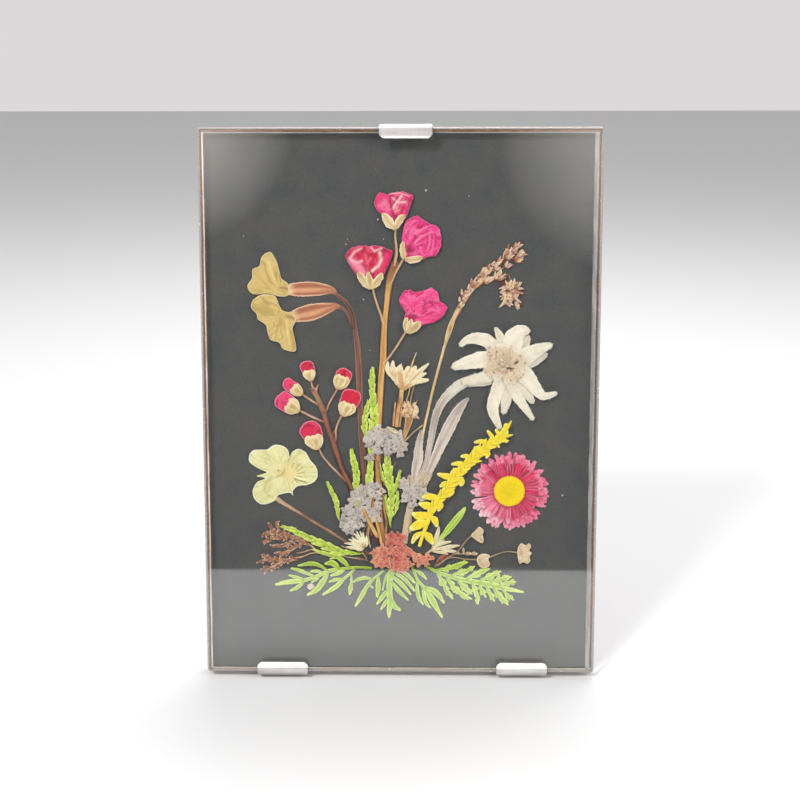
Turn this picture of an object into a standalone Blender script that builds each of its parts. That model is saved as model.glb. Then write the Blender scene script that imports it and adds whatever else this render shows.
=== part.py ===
"""Pressed flower frame: a glass clip frame with a bouquet of dried flowers on a dark card.

The frame leans back on a hinged strut. +Z is up, the glass faces -Y, and the origin is on the table, in
the middle of the footprint. Lengths below are millimetres. A place on the panel is (x, y): x to the right
of the glass's middle, y up from its bottom edge.
"""
import math
from typing import NamedTuple

import bmesh
import bpy
from mathutils import Vector

MM = 0.001
COLLECTION = "pressed_flower_frame"

# The panel, from the glass front backwards.
PANE_W, PANE_H = 130.0, 180.0
GLASS_T = 2.0
CAVITY = 2.0
CARD_T = 0.4
BOARD_T = 3.0
JOIN_GAP = 0.15
ARRIS = 0.7
CARD_LEFT, CARD_RIGHT, CARD_LOW, CARD_HIGH = -63.6, 62.9, 0.6, 178.4
CARD_FRONT = -(GLASS_T + CAVITY)
BOARD_FRONT = CARD_FRONT - CARD_T - JOIN_GAP
BOARD_BACK = BOARD_FRONT - BOARD_T
LEAN = math.radians(10.0)

# The pressed plants lie in slots between card and glass, slot 0 on the card.
PLANT_T = 0.2
SLOT_PITCH = 0.35

# Outlines are given as they look on the glass from this far in front of this point. The plants lie a few
# millimetres behind the glass, so each outline is spread from that point by its depth.
EYE_X, EYE_Y, EYE_FAR = 4.4, 140.6, 390.0

# Two outline points nearer than this are merged, and one that stands out less than this is left out.
MERGE = 0.12
FLATNESS = 0.05

# The spring clips.
CLIP_W = 17.0
CLIP_T = 0.5
CLIP_CLEAR = 0.3
CLIP_LIP_H = 3.6
CLIP_BEND_H = 1.9
CLIP_CHAMFER = 1.3
CLIP_BACK_H = 11.0
CLIP_X_TOP = 1.7
CLIP_X_BOTTOM = 40.0

# The strut and its hinge, behind the board.
STRUT_OPEN = math.radians(20.0)
HINGE_Y = 116.0
AXIS_BEHIND = 2.05
PIN_R = 0.75
PIN_HEAD_R, PIN_HEAD_T = 1.3, 0.5
PIN_END_PLAY = 0.3
BORE_R = 0.95
BORE_REACH = 20.0
KNUCKLE_R = 1.75
LEAF_T = 0.8
KNUCKLE_MID = 8.0
KNUCKLE_OUT = 15.0
KNUCKLE_GAP = 0.3
PLATE_TOP = 12.0
LEAF_LOW = -16.0
HEEL = 4.51
LEG_T = 2.4
LEG_TOP = -2.2
LEG_W_TOP, LEG_W_FOOT = 24.0, 42.0
RIVET_R, RIVET_H, RIVET_SINK = 2.0, 0.7, 0.4
PLATE_RIVET_X, PLATE_RIVET_Y = 9.5, 7.5
LEAF_RIVET_X, LEAF_RIVET_Y = 6.0, -10.0
ROUND_SIDES = 12


# ---------------------------------------------------------------- shapes in the flat

class Shoot(NamedTuple):
    """A stem or leaf in the flat: (x, y, width) from root to tip, and what grows from its two sides."""
    path: list
    left: tuple = ()
    right: tuple = ()
    scales: float = 0.0
    smooth: int = 2


def smooth_curve(points, steps, closed=False):
    """Catmull-Rom curve through the points, with the given steps to each stretch."""
    count = len(points)
    if count < 3 or steps < 2:
        return [tuple(p) for p in points]
    curve = []
    for i in range(count if closed else count - 1):
        p1, p2 = points[i], points[(i + 1) % count]
        p0 = points[i - 1] if closed or i else p1
        p3 = points[(i + 2) % count] if closed or i + 2 < count else p2
        for k in range(steps):
            t = k / steps
            curve.append(tuple(
                0.5 * (2 * b + (c - a) * t + (2 * a - 5 * b + 4 * c - d) * t * t
                       + (3 * b - a - 3 * c + d) * t ** 3)
                for a, b, c, d in zip(p0, p1, p2, p3)))
    if not closed:
        curve.append(tuple(points[-1]))
    return curve


def stations(path):
    """Distance along the path at each of its points."""
    along = [0.0]
    for a, b in zip(path, path[1:]):
        along.append(along[-1] + math.dist(a[:2], b[:2]))
    return along


def at_distance(path, along, s):
    """Point, unit direction and width at distance s along the path."""
    i = 0
    while i < len(path) - 2 and along[i + 1] < s:
        i += 1
    span = max(along[i + 1] - along[i], 1e-9)
    t = min(max((s - along[i]) / span, 0.0), 1.0)
    a, b = path[i], path[i + 1]
    x, y, w = (p + (q - p) * t for p, q in zip(a, b))
    return (x, y), ((b[0] - a[0]) / span, (b[1] - a[1]) / span), w


def plain_edge(path, side):
    """One edge of the shoot, root to tip: half the width to one side of each point."""
    edge = []
    for i, (x, y, w) in enumerate(path):
        a, b = path[max(i - 1, 0)], path[min(i + 1, len(path) - 1)]
        length = math.dist(a[:2], b[:2])
        nx, ny = -(b[1] - a[1]) / length, (b[0] - a[0]) / length
        edge.append((x + side * nx * w / 2, y + side * ny * w / 2))
    return edge


def scaly_edge(path, side, pitch):
    """An edge of overlapping scale leaves: each bulges out, then steps back in behind its tip."""
    along = stations(path)
    start = 0.0 if side > 0 else 0.5 * pitch
    edge = []
    s = start
    while s < along[-1] - 0.4 * pitch:
        for step, reach in ((0.0, 0.62), (0.5, 1.0), (0.92, 0.95)):
            (x, y), (dx, dy), w = at_distance(path, along, s + step * pitch)
            edge.append((x - side * dy * w / 2 * reach, y + side * dx * w / 2 * reach))
        s += pitch
    return edge


def crossing(edge, a, b):
    """First place along the edge where the stretch from a to b crosses it: its distance and point."""
    along = stations(edge)
    for i, (c, d) in enumerate(zip(edge, edge[1:])):
        det = (b[0] - a[0]) * (d[1] - c[1]) - (b[1] - a[1]) * (d[0] - c[0])
        if abs(det) < 1e-12:
            continue
        t = ((c[0] - a[0]) * (d[1] - c[1]) - (c[1] - a[1]) * (d[0] - c[0])) / det
        u = ((c[0] - a[0]) * (b[1] - a[1]) - (c[1] - a[1]) * (b[0] - a[0])) / det
        if 0.0 <= t <= 1.0 and 0.0 <= u <= 1.0:
            place = (a[0] + (b[0] - a[0]) * t, a[1] + (b[1] - a[1]) * t)
            return along[i] + u * (along[i + 1] - along[i]), place
    return None


def leaves_edge(edge, line):
    """Where a line that starts behind the edge first crosses it: distance, and the line from there on."""
    for i, (a, b) in enumerate(zip(line, line[1:])):
        hit = crossing(edge, a, b)
        if hit:
            return hit[0], [hit[1]] + line[i + 1:]
    raise ValueError("a side shoot lies wholly behind its parent's edge")


def splice(edge, inside, outline):
    """The edge with a side shoot's outline put in between the two places where it crosses the edge."""
    enter, line = leaves_edge(edge, [inside] + outline)
    leave, line = leaves_edge(edge, [inside] + line[::-1])
    along = stations(edge)
    before = [p for p, s in zip(edge, along) if s < enter - MERGE]
    after = [p for p, s in zip(edge, along) if s > leave + MERGE]
    return before + line[::-1] + after


def nearest_on(path, point):
    """The place on the path nearest to the point."""
    best, where = math.inf, None
    for a, b in zip(path, path[1:]):
        dx, dy = b[0] - a[0], b[1] - a[1]
        t = ((point[0] - a[0]) * dx + (point[1] - a[1]) * dy) / max(dx * dx + dy * dy, 1e-9)
        t = min(max(t, 0.0), 1.0)
        place = (a[0] + dx * t, a[1] + dy * t)
        gap = math.dist(point[:2], place)
        if gap < best:
            best, where = gap, place
    return where


def behind_glass(outline, depth):
    """The outline as large as it really is, where it is seen that deep behind the glass front."""
    spread = 1.0 + depth / EYE_FAR
    return [(EYE_X + (x - EYE_X) * spread, EYE_Y + (y - EYE_Y) * spread) for x, y in outline]


def thinned(outline):
    """The closed outline without the points that lie within a hair of the line past them."""
    points = list(outline)
    i = 0
    while i < len(points) and len(points) > 3:
        a, p, b = points[i - 1], points[i], points[(i + 1) % len(points)]
        span = max(math.dist(a, b), 1e-9)
        off = abs((b[0] - a[0]) * (p[1] - a[1]) - (b[1] - a[1]) * (p[0] - a[0])) / span
        if off < FLATNESS:
            points.pop(i)
        i += 1
    return points


def shoot_outline(shoot):
    """Closed outline of a shoot and its side shoots: up its left edge, round the tip, down its right."""
    path = smooth_curve(shoot.path, shoot.smooth)
    if shoot.scales:
        left, right = (scaly_edge(path, side, shoot.scales) for side in (1, -1))
    else:
        left, right = plain_edge(path, 1), plain_edge(path, -1)
    right.reverse()
    for child in shoot.left:
        left = splice(left, nearest_on(path, child.path[0]), shoot_outline(child))
    for child in shoot.right:
        right = splice(right, nearest_on(path, child.path[0]), shoot_outline(child))
    return left + right


def leaflet(*path):
    """A plain side shoot with straight stretches."""
    return Shoot(list(path), smooth=1)


def petals(points, steps=2):
    """Smooth closed outline of petals."""
    return smooth_curve(points, steps, closed=True)


def scalloped(notches, bulge=0.22):
    """Outline of round lobes: an arc stands out between each two notches that follow, clockwise."""
    outline = []
    for (ax, ay), (bx, by) in zip(notches, notches[1:] + notches[:1]):
        dx, dy = bx - ax, by - ay
        outline.append((ax, ay))
        for t, h in ((0.3, 0.9), (0.7, 0.9)):
            outline.append((ax + dx * t - dy * bulge * h, ay + dy * t + dx * bulge * h))
    return outline


def rayed(centre, tips, notch):
    """Pointed rays round a centre: between two tips the outline steps in to the given share."""
    outline = []
    for (ax, ay), (bx, by) in zip(tips, tips[1:] + tips[:1]):
        outline.append((ax, ay))
        outline.append((centre[0] + ((ax + bx) / 2 - centre[0]) * notch,
                        centre[1] + ((ay + by) / 2 - centre[1]) * notch))
    return outline


def daisy_outline(centre, radius, rays):
    """Blunt rays round a disc: each has a flat tip, and its length wavers round the flower."""
    outline = []
    step = math.tau / rays
    for i in range(rays):
        reach = radius * (1.0 - 0.035 * (1 + math.sin(2.4 * i)))
        for turn, share in ((-0.3, 0.99), (0.3, 0.99), (0.5, 0.80)):
            angle = -(i + turn) * step
            outline.append((centre[0] + reach * share * math.cos(angle),
                            centre[1] + reach * share * math.sin(angle)))
    return outline


# ---------------------------------------------------------------- making objects

def make_material(name, colour, roughness, metallic=0.0, alpha=1.0):
    """A Principled material."""
    mat = bpy.data.materials.new(name)
    mat.use_nodes = True
    shader = mat.node_tree.nodes["Principled BSDF"]
    shader.inputs["Base Color"].default_value = (*colour, 1.0)
    shader.inputs["Roughness"].default_value = roughness
    shader.inputs["Metallic"].default_value = metallic
    shader.inputs["Alpha"].default_value = alpha
    return mat


def add_object(name, data, mat, parent=None, guide=False):
    """Puts a new object in the part's collection, or a cutter in its own."""
    obj = bpy.data.objects.new(name, data)
    home = "cutters" if guide else COLLECTION
    bpy.data.collections[home].objects.link(obj)
    obj.parent = parent
    if mat is not None:
        obj.data.materials.append(mat)
    if guide:
        obj.hide_render = True
        obj.display_type = "WIRE"
    return obj


def block(name, low, high, mat, parent, bevel=0.0):
    """A box between two corners, its edges bevelled if a width is given."""
    mesh = bpy.data.meshes.new(name)
    bm = bmesh.new()
    bmesh.ops.create_cube(bm, size=1.0)
    size = [b - a for a, b in zip(low, high)]
    middle = [(a + b) / 2 for a, b in zip(low, high)]
    for vert in bm.verts:
        vert.co = Vector([(c * s + m) * MM for c, s, m in zip(vert.co, size, middle)])
    bm.to_mesh(mesh)
    bm.free()
    obj = add_object(name, mesh, mat, parent)
    if bevel:
        mod = obj.modifiers.new("arris", "BEVEL")
        mod.width = bevel * MM
        mod.segments = 1
    return obj


def flat_curve(name, outline, thickness):
    """Curve data for a flat sheet with the given outline, centred on z = 0."""
    data = bpy.data.curves.new(name, "CURVE")
    data.dimensions = "2D"
    data.fill_mode = "BOTH"
    data.extrude = thickness / 2 * MM
    data.render_resolution_u = 0
    spline = data.splines.new("POLY")
    spline.points.add(len(outline) - 1)
    for point, (x, y) in zip(spline.points, outline):
        point.co = (x * MM, y * MM, 0.0, 1.0)
    spline.use_cyclic_u = True
    return data


def sheet(name, outline, low, thickness, mat, parent):
    """A flat sheet whose back lies at the given height above its parent's plane."""
    obj = add_object(name, flat_curve(name, thinned(outline), thickness), mat, parent)
    obj.location.z = (low + thickness / 2) * MM
    return obj


def curve_to_mesh(obj):
    """The same object as a welded mesh, ready for Boolean modifiers."""
    bpy.context.view_layer.update()
    evaluated = obj.evaluated_get(bpy.context.evaluated_depsgraph_get())
    mesh = bpy.data.meshes.new_from_object(evaluated)
    bm = bmesh.new()
    bm.from_mesh(mesh)
    bmesh.ops.remove_doubles(bm, verts=bm.verts, dist=0.00001)
    bmesh.ops.recalc_face_normals(bm, faces=bm.faces)
    bm.to_mesh(mesh)
    bm.free()
    name, parent, local = obj.name, obj.parent, obj.matrix_local.copy()
    mat = obj.data.materials[0] if obj.data.materials else None
    bpy.data.objects.remove(obj)
    solid = add_object(name, mesh, None, parent)
    if mat is not None and not mesh.materials:
        mesh.materials.append(mat)
    solid.matrix_local = local
    return solid


def cylinder(name, radius, length, parent):
    """A guide cylinder about its local Z axis, centred on its origin."""
    mesh = bpy.data.meshes.new(name)
    bm = bmesh.new()
    bmesh.ops.create_cone(bm, cap_ends=True, segments=ROUND_SIDES, radius1=radius * MM,
                          radius2=radius * MM, depth=length * MM)
    bm.to_mesh(mesh)
    bm.free()
    return add_object(name, mesh, None, parent, guide=True)


def barrel(name, radius, x0, x1, parent):
    """A guide cylinder along the hinge's axis from x0 to x1."""
    obj = cylinder(name, radius, x1 - x0, parent)
    obj.rotation_euler.y = math.pi / 2
    obj.location.x = (x0 + x1) / 2 * MM
    return obj


def rivet(name, place, plate_low, parent):
    """A guide cylinder for a rivet head that stands out behind a plate."""
    obj = cylinder(name, RIVET_R, RIVET_H + RIVET_SINK, parent)
    obj.location = (place[0] * MM, place[1] * MM, (plate_low + (RIVET_SINK - RIVET_H) / 2) * MM)
    return obj


def turned(name, profile, sides, mat, parent):
    """A solid of revolution about its local Z axis; the profile is (radius, height), top to bottom."""
    mesh = bpy.data.meshes.new(name)
    mesh.from_pydata([(r * MM, 0.0, z * MM) for r, z in profile],
                     [(i, i + 1) for i in range(len(profile) - 1)], [])
    obj = add_object(name, mesh, mat, parent)
    turn = obj.modifiers.new("turned", "SCREW")
    turn.steps = turn.render_steps = sides
    turn.use_merge_vertices = True
    turn.merge_threshold = 0.00001
    return obj


def combine(obj, guide, operation):
    """Adds an exact Boolean with a guide object."""
    mod = obj.modifiers.new(operation.lower(), "BOOLEAN")
    mod.operation = operation
    mod.solver = "EXACT"
    mod.object = guide


def world_corners(objects):
    """Lowest and highest world corner of the evaluated objects."""
    bpy.context.view_layer.update()
    graph = bpy.context.evaluated_depsgraph_get()
    points = []
    for obj in objects:
        evaluated = obj.evaluated_get(graph)
        mesh = evaluated.to_mesh()
        points += [evaluated.matrix_world @ v.co for v in mesh.vertices]
        evaluated.to_mesh_clear()
    low = [min(p[i] for p in points) for i in range(3)]
    high = [max(p[i] for p in points) for i in range(3)]
    return low, high


# ---------------------------------------------------------------- the frame

def clip_section():
    """The clip's inner side as (y, z, half width): front lip tip, under the edge, up the back.

    y is the distance in from the panel's edge and z the distance out from the glass front.
    """
    half = CLIP_W / 2
    back = BOARD_BACK - CLIP_CLEAR
    stand_off = 0.8
    under = -CLIP_CLEAR
    return [
        (CLIP_LIP_H, CLIP_CLEAR, half - CLIP_CHAMFER),
        (CLIP_LIP_H - CLIP_CHAMFER, 0.62, half),
        (CLIP_BEND_H, stand_off, half),
        (0.5, stand_off, half),
        (0.0, stand_off - 0.1, half - 0.15),
        (under, stand_off - 0.6, half - 0.5),
        (under, back - 0.2, half - 0.5),
        (under + 0.3, back - 0.7, half - 0.2),
        (1.2, back - 0.9, half),
        (5.0, back - 0.45, half),
        (CLIP_BACK_H - 3.0, back, half),
        (CLIP_BACK_H - 2.0, back - 0.1, half - 0.4),
        (CLIP_BACK_H, back - 0.9, half - 1.6),
    ]


def make_clip(name, x, at_top, mat, panel):
    """A bent strip of spring steel that grips the panel's edge."""
    rows = clip_section()
    verts = []
    for y, z, half in rows:
        place = PANE_H - y if at_top else y
        verts += [((x - half) * MM, place * MM, z * MM), ((x + half) * MM, place * MM, z * MM)]
    faces = [(2 * i, 2 * i + 1, 2 * i + 3, 2 * i + 2) for i in range(len(rows) - 1)]
    if not at_top:
        faces = [face[::-1] for face in faces]
    mesh = bpy.data.meshes.new(name)
    mesh.from_pydata(verts, [], faces)
    clip = add_object(name, mesh, mat, panel)
    wall = clip.modifiers.new("sheet", "SOLIDIFY")
    wall.thickness = CLIP_T * MM
    wall.offset = 1.0
    wall.use_even_offset = True
    return clip


def make_panel_sheets(panel):
    """Glass, card and hardboard, front to back."""
    half = PANE_W / 2
    glass = make_material("glass", (0.80, 0.88, 0.86), 0.02, alpha=0.25)
    card = make_material("dark_card", (0.085, 0.082, 0.078), 0.9)
    board = make_material("hardboard", (0.30, 0.18, 0.10), 0.75)
    block("glass_pane", (-half, 0.0, -GLASS_T), (half, PANE_H, 0.0), glass, panel, bevel=ARRIS)
    block("backing_card", (CARD_LEFT, CARD_LOW, CARD_FRONT - CARD_T), (CARD_RIGHT, CARD_HIGH, CARD_FRONT),
          card, panel)
    block("back_board", (-half, 0.0, BOARD_BACK), (half, PANE_H, BOARD_FRONT), board, panel, bevel=0.3)


def make_strut(panel, ground):
    """The leg, its hinge and the pin, on the hinge's axis and opened to the leg's stop."""
    steel = make_material("hinge_steel", (0.55, 0.55, 0.56), 0.35, metallic=1.0)
    board = make_material("leg_hardboard", (0.28, 0.17, 0.10), 0.75)
    axis_z = BOARD_BACK - AXIS_BEHIND

    fixed = bpy.data.objects.new("hinge_axis_fixed", None)
    moving = bpy.data.objects.new("hinge_axis_moving", None)
    for empty in (fixed, moving):
        bpy.data.collections[COLLECTION].objects.link(empty)
        empty.parent = panel
        empty.location = (0.0, HINGE_Y * MM, axis_z * MM)
    moving.rotation_euler.x = STRUT_OPEN

    inner = KNUCKLE_MID + KNUCKLE_GAP
    notch = KNUCKLE_R + 0.35
    plate_low = AXIS_BEHIND - KNUCKLE_GAP - LEAF_T
    plate = sheet("hinge_plate", [
        (-KNUCKLE_OUT, 0.0), (-inner, 0.0), (-inner, notch), (inner, notch), (inner, 0.0),
        (KNUCKLE_OUT, 0.0), (KNUCKLE_OUT, PLATE_TOP - 3.0), (KNUCKLE_OUT - 3.0, PLATE_TOP),
        (3.0 - KNUCKLE_OUT, PLATE_TOP), (-KNUCKLE_OUT, PLATE_TOP - 3.0)], plate_low, LEAF_T, steel, fixed)
    plate = curve_to_mesh(plate)
    for side in (-1, 1):
        ends = sorted((side * inner, side * KNUCKLE_OUT))
        combine(plate, barrel(f"plate_knuckle{side:+d}", KNUCKLE_R, *ends, fixed), "UNION")
        combine(plate, rivet(f"plate_rivet{side:+d}", (side * PLATE_RIVET_X, PLATE_RIVET_Y), plate_low, fixed),
                "UNION")
    combine(plate, barrel("plate_bore", BORE_R, -BORE_REACH, BORE_REACH, fixed), "DIFFERENCE")

    leaf_low = -KNUCKLE_R
    leaf = sheet("hinge_leaf", [
        (-KNUCKLE_MID, HEEL), (-KNUCKLE_MID, LEG_TOP), (-11.0, LEG_TOP - 1.0), (-11.0, LEAF_LOW + 3.0),
        (-8.0, LEAF_LOW), (8.0, LEAF_LOW), (11.0, LEAF_LOW + 3.0), (11.0, LEG_TOP - 1.0),
        (KNUCKLE_MID, LEG_TOP), (KNUCKLE_MID, HEEL)], leaf_low, LEAF_T, steel, moving)
    leaf = curve_to_mesh(leaf)
    combine(leaf, barrel("leaf_knuckle", KNUCKLE_R, -KNUCKLE_MID, KNUCKLE_MID, moving), "UNION")
    for side in (-1, 1):
        combine(leaf, rivet(f"leaf_rivet{side:+d}", (side * LEAF_RIVET_X, LEAF_RIVET_Y), leaf_low, moving),
                "UNION")
    combine(leaf, barrel("leaf_bore", BORE_R, -BORE_REACH, BORE_REACH, moving), "DIFFERENCE")

    reach = KNUCKLE_OUT + PIN_END_PLAY
    end = reach + PIN_HEAD_T
    pin = turned("hinge_pin", [(0.0, end), (PIN_HEAD_R, end), (PIN_HEAD_R, reach), (PIN_R, reach),
                               (PIN_R, -reach), (PIN_HEAD_R, -reach), (PIN_HEAD_R, -end), (0.0, -end)],
                 ROUND_SIDES, steel, fixed)
    pin.rotation_euler.y = math.pi / 2

    leg_back = leaf_low + LEAF_T + KNUCKLE_GAP
    leg = block("strut_leg", (-0.5, 0.0, leg_back), (0.5, 1.0, leg_back + LEG_T), board, moving)
    bpy.context.view_layer.update()
    to_world = moving.matrix_world
    up = (to_world.to_3x3() @ Vector((0.0, 1.0, 0.0))).z
    for vert in leg.data.vertices:
        at_foot = vert.co.y < 0.5 * MM
        width = LEG_W_FOOT if at_foot else LEG_W_TOP
        vert.co.x *= width
        vert.co.y = LEG_TOP * MM
        if at_foot:
            vert.co.y += (ground - (to_world @ vert.co).z) / up
    soften = leg.modifiers.new("corners", "BEVEL")
    soften.width = 0.3 * MM
    soften.segments = 1
    soften.limit_method = "ANGLE"
    soften.angle_limit = math.radians(100.0)


def make_frame(panel):
    """Everything but the plants."""
    make_panel_sheets(panel)
    steel = make_material("clip_steel", (0.80, 0.79, 0.77), 0.22, metallic=1.0)
    make_clip("clip_top", CLIP_X_TOP, True, steel, panel)
    clips = [make_clip("clip_bottom_left", -CLIP_X_BOTTOM + 0.5, False, steel, panel),
             make_clip("clip_bottom_right", CLIP_X_BOTTOM + 0.7, False, steel, panel)]
    ground = world_corners(clips)[0][2]
    make_strut(panel, ground)


# ---------------------------------------------------------------- the plants

def cowslip():
    """Forked stem, two calyxes that widen along their stalks, and two ochre corollas seen from the side."""
    stem = Shoot(
        [(-7.6, 44, 1.3), (-9.5, 52, 1.6), (-11.2, 62, 1.7), (-12.4, 75, 1.9), (-13.1, 88, 2.0),
         (-13.5, 100, 2.1), (-13.9, 109, 2.0), (-14.5, 114, 1.6), (-15.0, 118.5, 1.1), (-15.9, 121.5, 1.1),
         (-17.6, 124.2, 1.3), (-19.8, 126.1, 1.2), (-21.8, 127.7, 1.7), (-24.2, 128.4, 3.3),
         (-29, 128.5, 4.7), (-33.5, 128.4, 4.4), (-37.2, 128.2, 3.2)],
        left=(Shoot([(-15.7, 116.2, 0.9), (-16.7, 119.4, 1.0), (-18.0, 121.8, 1.1), (-20.3, 122.9, 1.4),
                     (-23, 122.5, 3.2), (-28, 121.2, 5.2), (-32, 120.3, 4.8), (-35.6, 119.3, 3.2)]),))
    upper = [(-36.4, 130.2), (-38.4, 131.9), (-39.2, 135), (-40.1, 137.8), (-41.9, 140.4), (-44.3, 139.4),
             (-45.2, 137.8), (-45.6, 135.9), (-47.8, 134.9), (-48.1, 132.0), (-49.5, 129.4),
             (-47.7, 126.9), (-42.8, 127.0), (-40.0, 126.3), (-36.4, 126.4)]
    lower = [(-35.2, 120.7), (-38.0, 121.4), (-39.4, 123.6), (-40.6, 126.2), (-44.2, 126.8),
             (-47.4, 125.4), (-48.5, 122.6), (-46.9, 120.7), (-46.1, 118.5), (-43.8, 117.0),
             (-43.2, 114.6), (-42.1, 112.0), (-39.4, 111.0), (-38.2, 109.0), (-34.1, 108.4),
             (-34.5, 113.0), (-35.0, 116.0), (-34.0, 118.2)]
    return [("cowslip_stem", shoot_outline(stem), 0, 1, "brown_stem"),
            ("cowslip_flower_upper", petals(upper), 1, 1, "ochre_petal"),
            ("cowslip_flower_lower", petals(lower), 2, 1, "ochre_petal")]


def pink_spray():
    """Thick golden stem with four rosettes, each on its pale calyx."""
    stem = Shoot(
        [(-4.6, 42, 1.4), (-5.9, 48, 1.6), (-6.8, 56, 1.8), (-7.2, 66, 1.9), (-7.4, 76, 1.9),
         (-7.0, 86, 2.0), (-6.6, 93, 2.1), (-6.2, 100, 2.1), (-5.6, 106, 2.3), (-5.4, 112, 2.1),
         (-5.1, 118, 1.9), (-4.5, 123, 1.8), (-3.8, 129, 2.1), (-2.9, 133, 2.5), (-1.6, 137, 2.7),
         (-1.2, 140.5, 1.2), (-1.6, 145, 0.8), (-1.5, 149, 0.8)],
        left=(leaflet((-6.1, 119.4, 1.0), (-7.0, 122, 0.9), (-8.2, 125.8, 0.8), (-9.1, 129.4, 0.8)),),
        right=(leaflet((-4.2, 105.8, 0.9), (-2.6, 107.9, 0.8), (-0.8, 110.5, 0.8), (1.7, 114.6, 0.8)),
               leaflet((-0.3, 136.4, 1.2), (0.6, 138.2, 1.0), (2.0, 139.6, 0.8))))
    top = [(-6.7, 159.3), (-3.9, 158.8), (-0.8, 159.8), (2.0, 159.4), (4.2, 158.0), (3.2, 155.2),
           (2.1, 152.2), (0.6, 149.9), (-1.5, 147.8), (-4.0, 149.4), (-5.9, 152.2), (-7.6, 153.8),
           (-8.3, 156.2)]
    right = [(1.4, 149.5), (2.9, 151.1), (5.0, 151.9), (7.2, 150.9), (9.4, 149.6), (11.8, 148.8),
             (13.1, 146.4), (12.9, 142.2), (11.6, 139.4), (8.4, 138.7), (6.2, 137.7), (3.6, 137.2),
             (1.2, 138.3), (0.2, 141.4), (0.6, 145.2)]
    left = [(-17.7, 138.9), (-16.8, 141.0), (-13.4, 142.6), (-10.0, 142.2), (-6.9, 142.4), (-4.6, 141.5),
            (-2.5, 140.4), (-3.2, 137.8), (-4.8, 134.6), (-6.6, 131.0), (-8.7, 128.8), (-10.8, 129.0),
            (-13.2, 131.8), (-15.4, 134.8)]
    low = [(0.2, 126.6), (1.9, 128.5), (4.7, 127.9), (7.8, 128.2), (9.9, 129.0), (12.0, 127.4),
           (12.9, 124.9), (15.2, 122.8), (13.6, 119.6), (10.6, 117.6), (7.0, 116.9), (5.0, 114.9),
           (3.1, 114.1), (1.3, 115.2), (1.3, 119.4), (1.9, 122.2), (-0.2, 124.2)]
    flowers = (("pink_flower_top", top, 2), ("pink_flower_right", right, 2), ("pink_flower_left", left, 2),
               ("pink_flower_low", low, 2))
    return ([("pink_spray_stem", shoot_outline(stem), 1, 1, "golden_stem")]
            + [(name, petals(points), slot, 2, "pink_petal") for name, points, slot in flowers])


def bud_spray():
    """Forked brown stem with six closed buds, each half in its pale calyx."""
    stem = Shoot(
        [(-9.4, 47, 1.3), (-11.2, 51.5, 1.5), (-13.8, 57, 1.8), (-16.2, 63, 2.0), (-17.8, 66.5, 2.2),
         (-19.6, 70.5, 2.2), (-21.1, 75, 2.1), (-22.3, 79, 2.1), (-23.7, 83, 2.1), (-24.8, 87, 2.0),
         (-25.7, 89.8, 2.0), (-27.1, 93, 1.6), (-28.5, 96.6, 1.0), (-29.2, 99.4, 0.8)],
        left=(leaflet((-18.7, 66.0, 0.9), (-22.8, 70.4, 0.8), (-25.6, 73.8, 0.8), (-26.9, 76.4, 0.8)),
              leaflet((-26.1, 85.4, 1.0), (-30.2, 87.4, 0.9), (-33.4, 89.0, 0.8)),
              leaflet((-28.0, 91.4, 0.9), (-29.6, 92.5, 0.8), (-32.2, 94.2, 0.7))),
        right=(leaflet((-21.2, 79.6, 0.9), (-21.2, 82, 0.8), (-20.5, 84.6, 0.8), (-19.1, 87.4, 0.8)),
               leaflet((-24.1, 89.3, 0.8), (-23.2, 91.4, 0.7), (-20.6, 96.0, 0.7))))
    buds = {
        "bud_top": [(-30.0, 105.2), (-28.6, 104.6), (-27.8, 102.2), (-28.0, 99.8), (-29.4, 98.3),
                    (-31.2, 99.8), (-32.4, 101.9), (-32.9, 103.6), (-31.8, 104.9)],
        "bud_left_upper": [(-38.1, 98.8), (-36.7, 99.8), (-34.6, 98.5), (-32.7, 97.0), (-31.8, 94.6),
                           (-32.9, 93.4), (-35.2, 94.0), (-37.2, 95.4), (-38.5, 97.0)],
        "bud_left_lower": [(-41.2, 90.8), (-40.8, 92.9), (-38.2, 95.2), (-35.4, 93.7), (-33.4, 91.2),
                           (-32.7, 88.8), (-34.2, 87.8), (-37.6, 88.1), (-39.8, 89.4)],
        "bud_right_upper": [(-19.2, 103.0), (-17.3, 102.6), (-15.6, 100.9), (-16.2, 98.9), (-18.0, 96.4),
                            (-20.3, 95.5), (-21.7, 97.2), (-21.5, 100.4), (-20.4, 102.3)],
        "bud_right_lower": [(-18.2, 95.9), (-15.8, 95.9), (-13.4, 94.9), (-12.8, 92.8), (-14.1, 89.9),
                            (-16.4, 87.7), (-18.8, 86.7), (-20.1, 88.4), (-20.1, 91.4), (-19.3, 94.2)],
        "bud_low": [(-30.0, 85.4), (-27.9, 85.2), (-26.2, 83.6), (-25.4, 80.6), (-25.7, 77.2),
                    (-27.6, 75.6), (-30.0, 77.2), (-32.2, 79.8), (-33.2, 82.2), (-31.8, 84.4)],
    }
    return ([("bud_spray_stem", shoot_outline(stem), 1, 1, "brown_stem")]
            + [(name, petals(points), 2, 2, "crimson_bud") for name, points in buds.items()])


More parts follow.
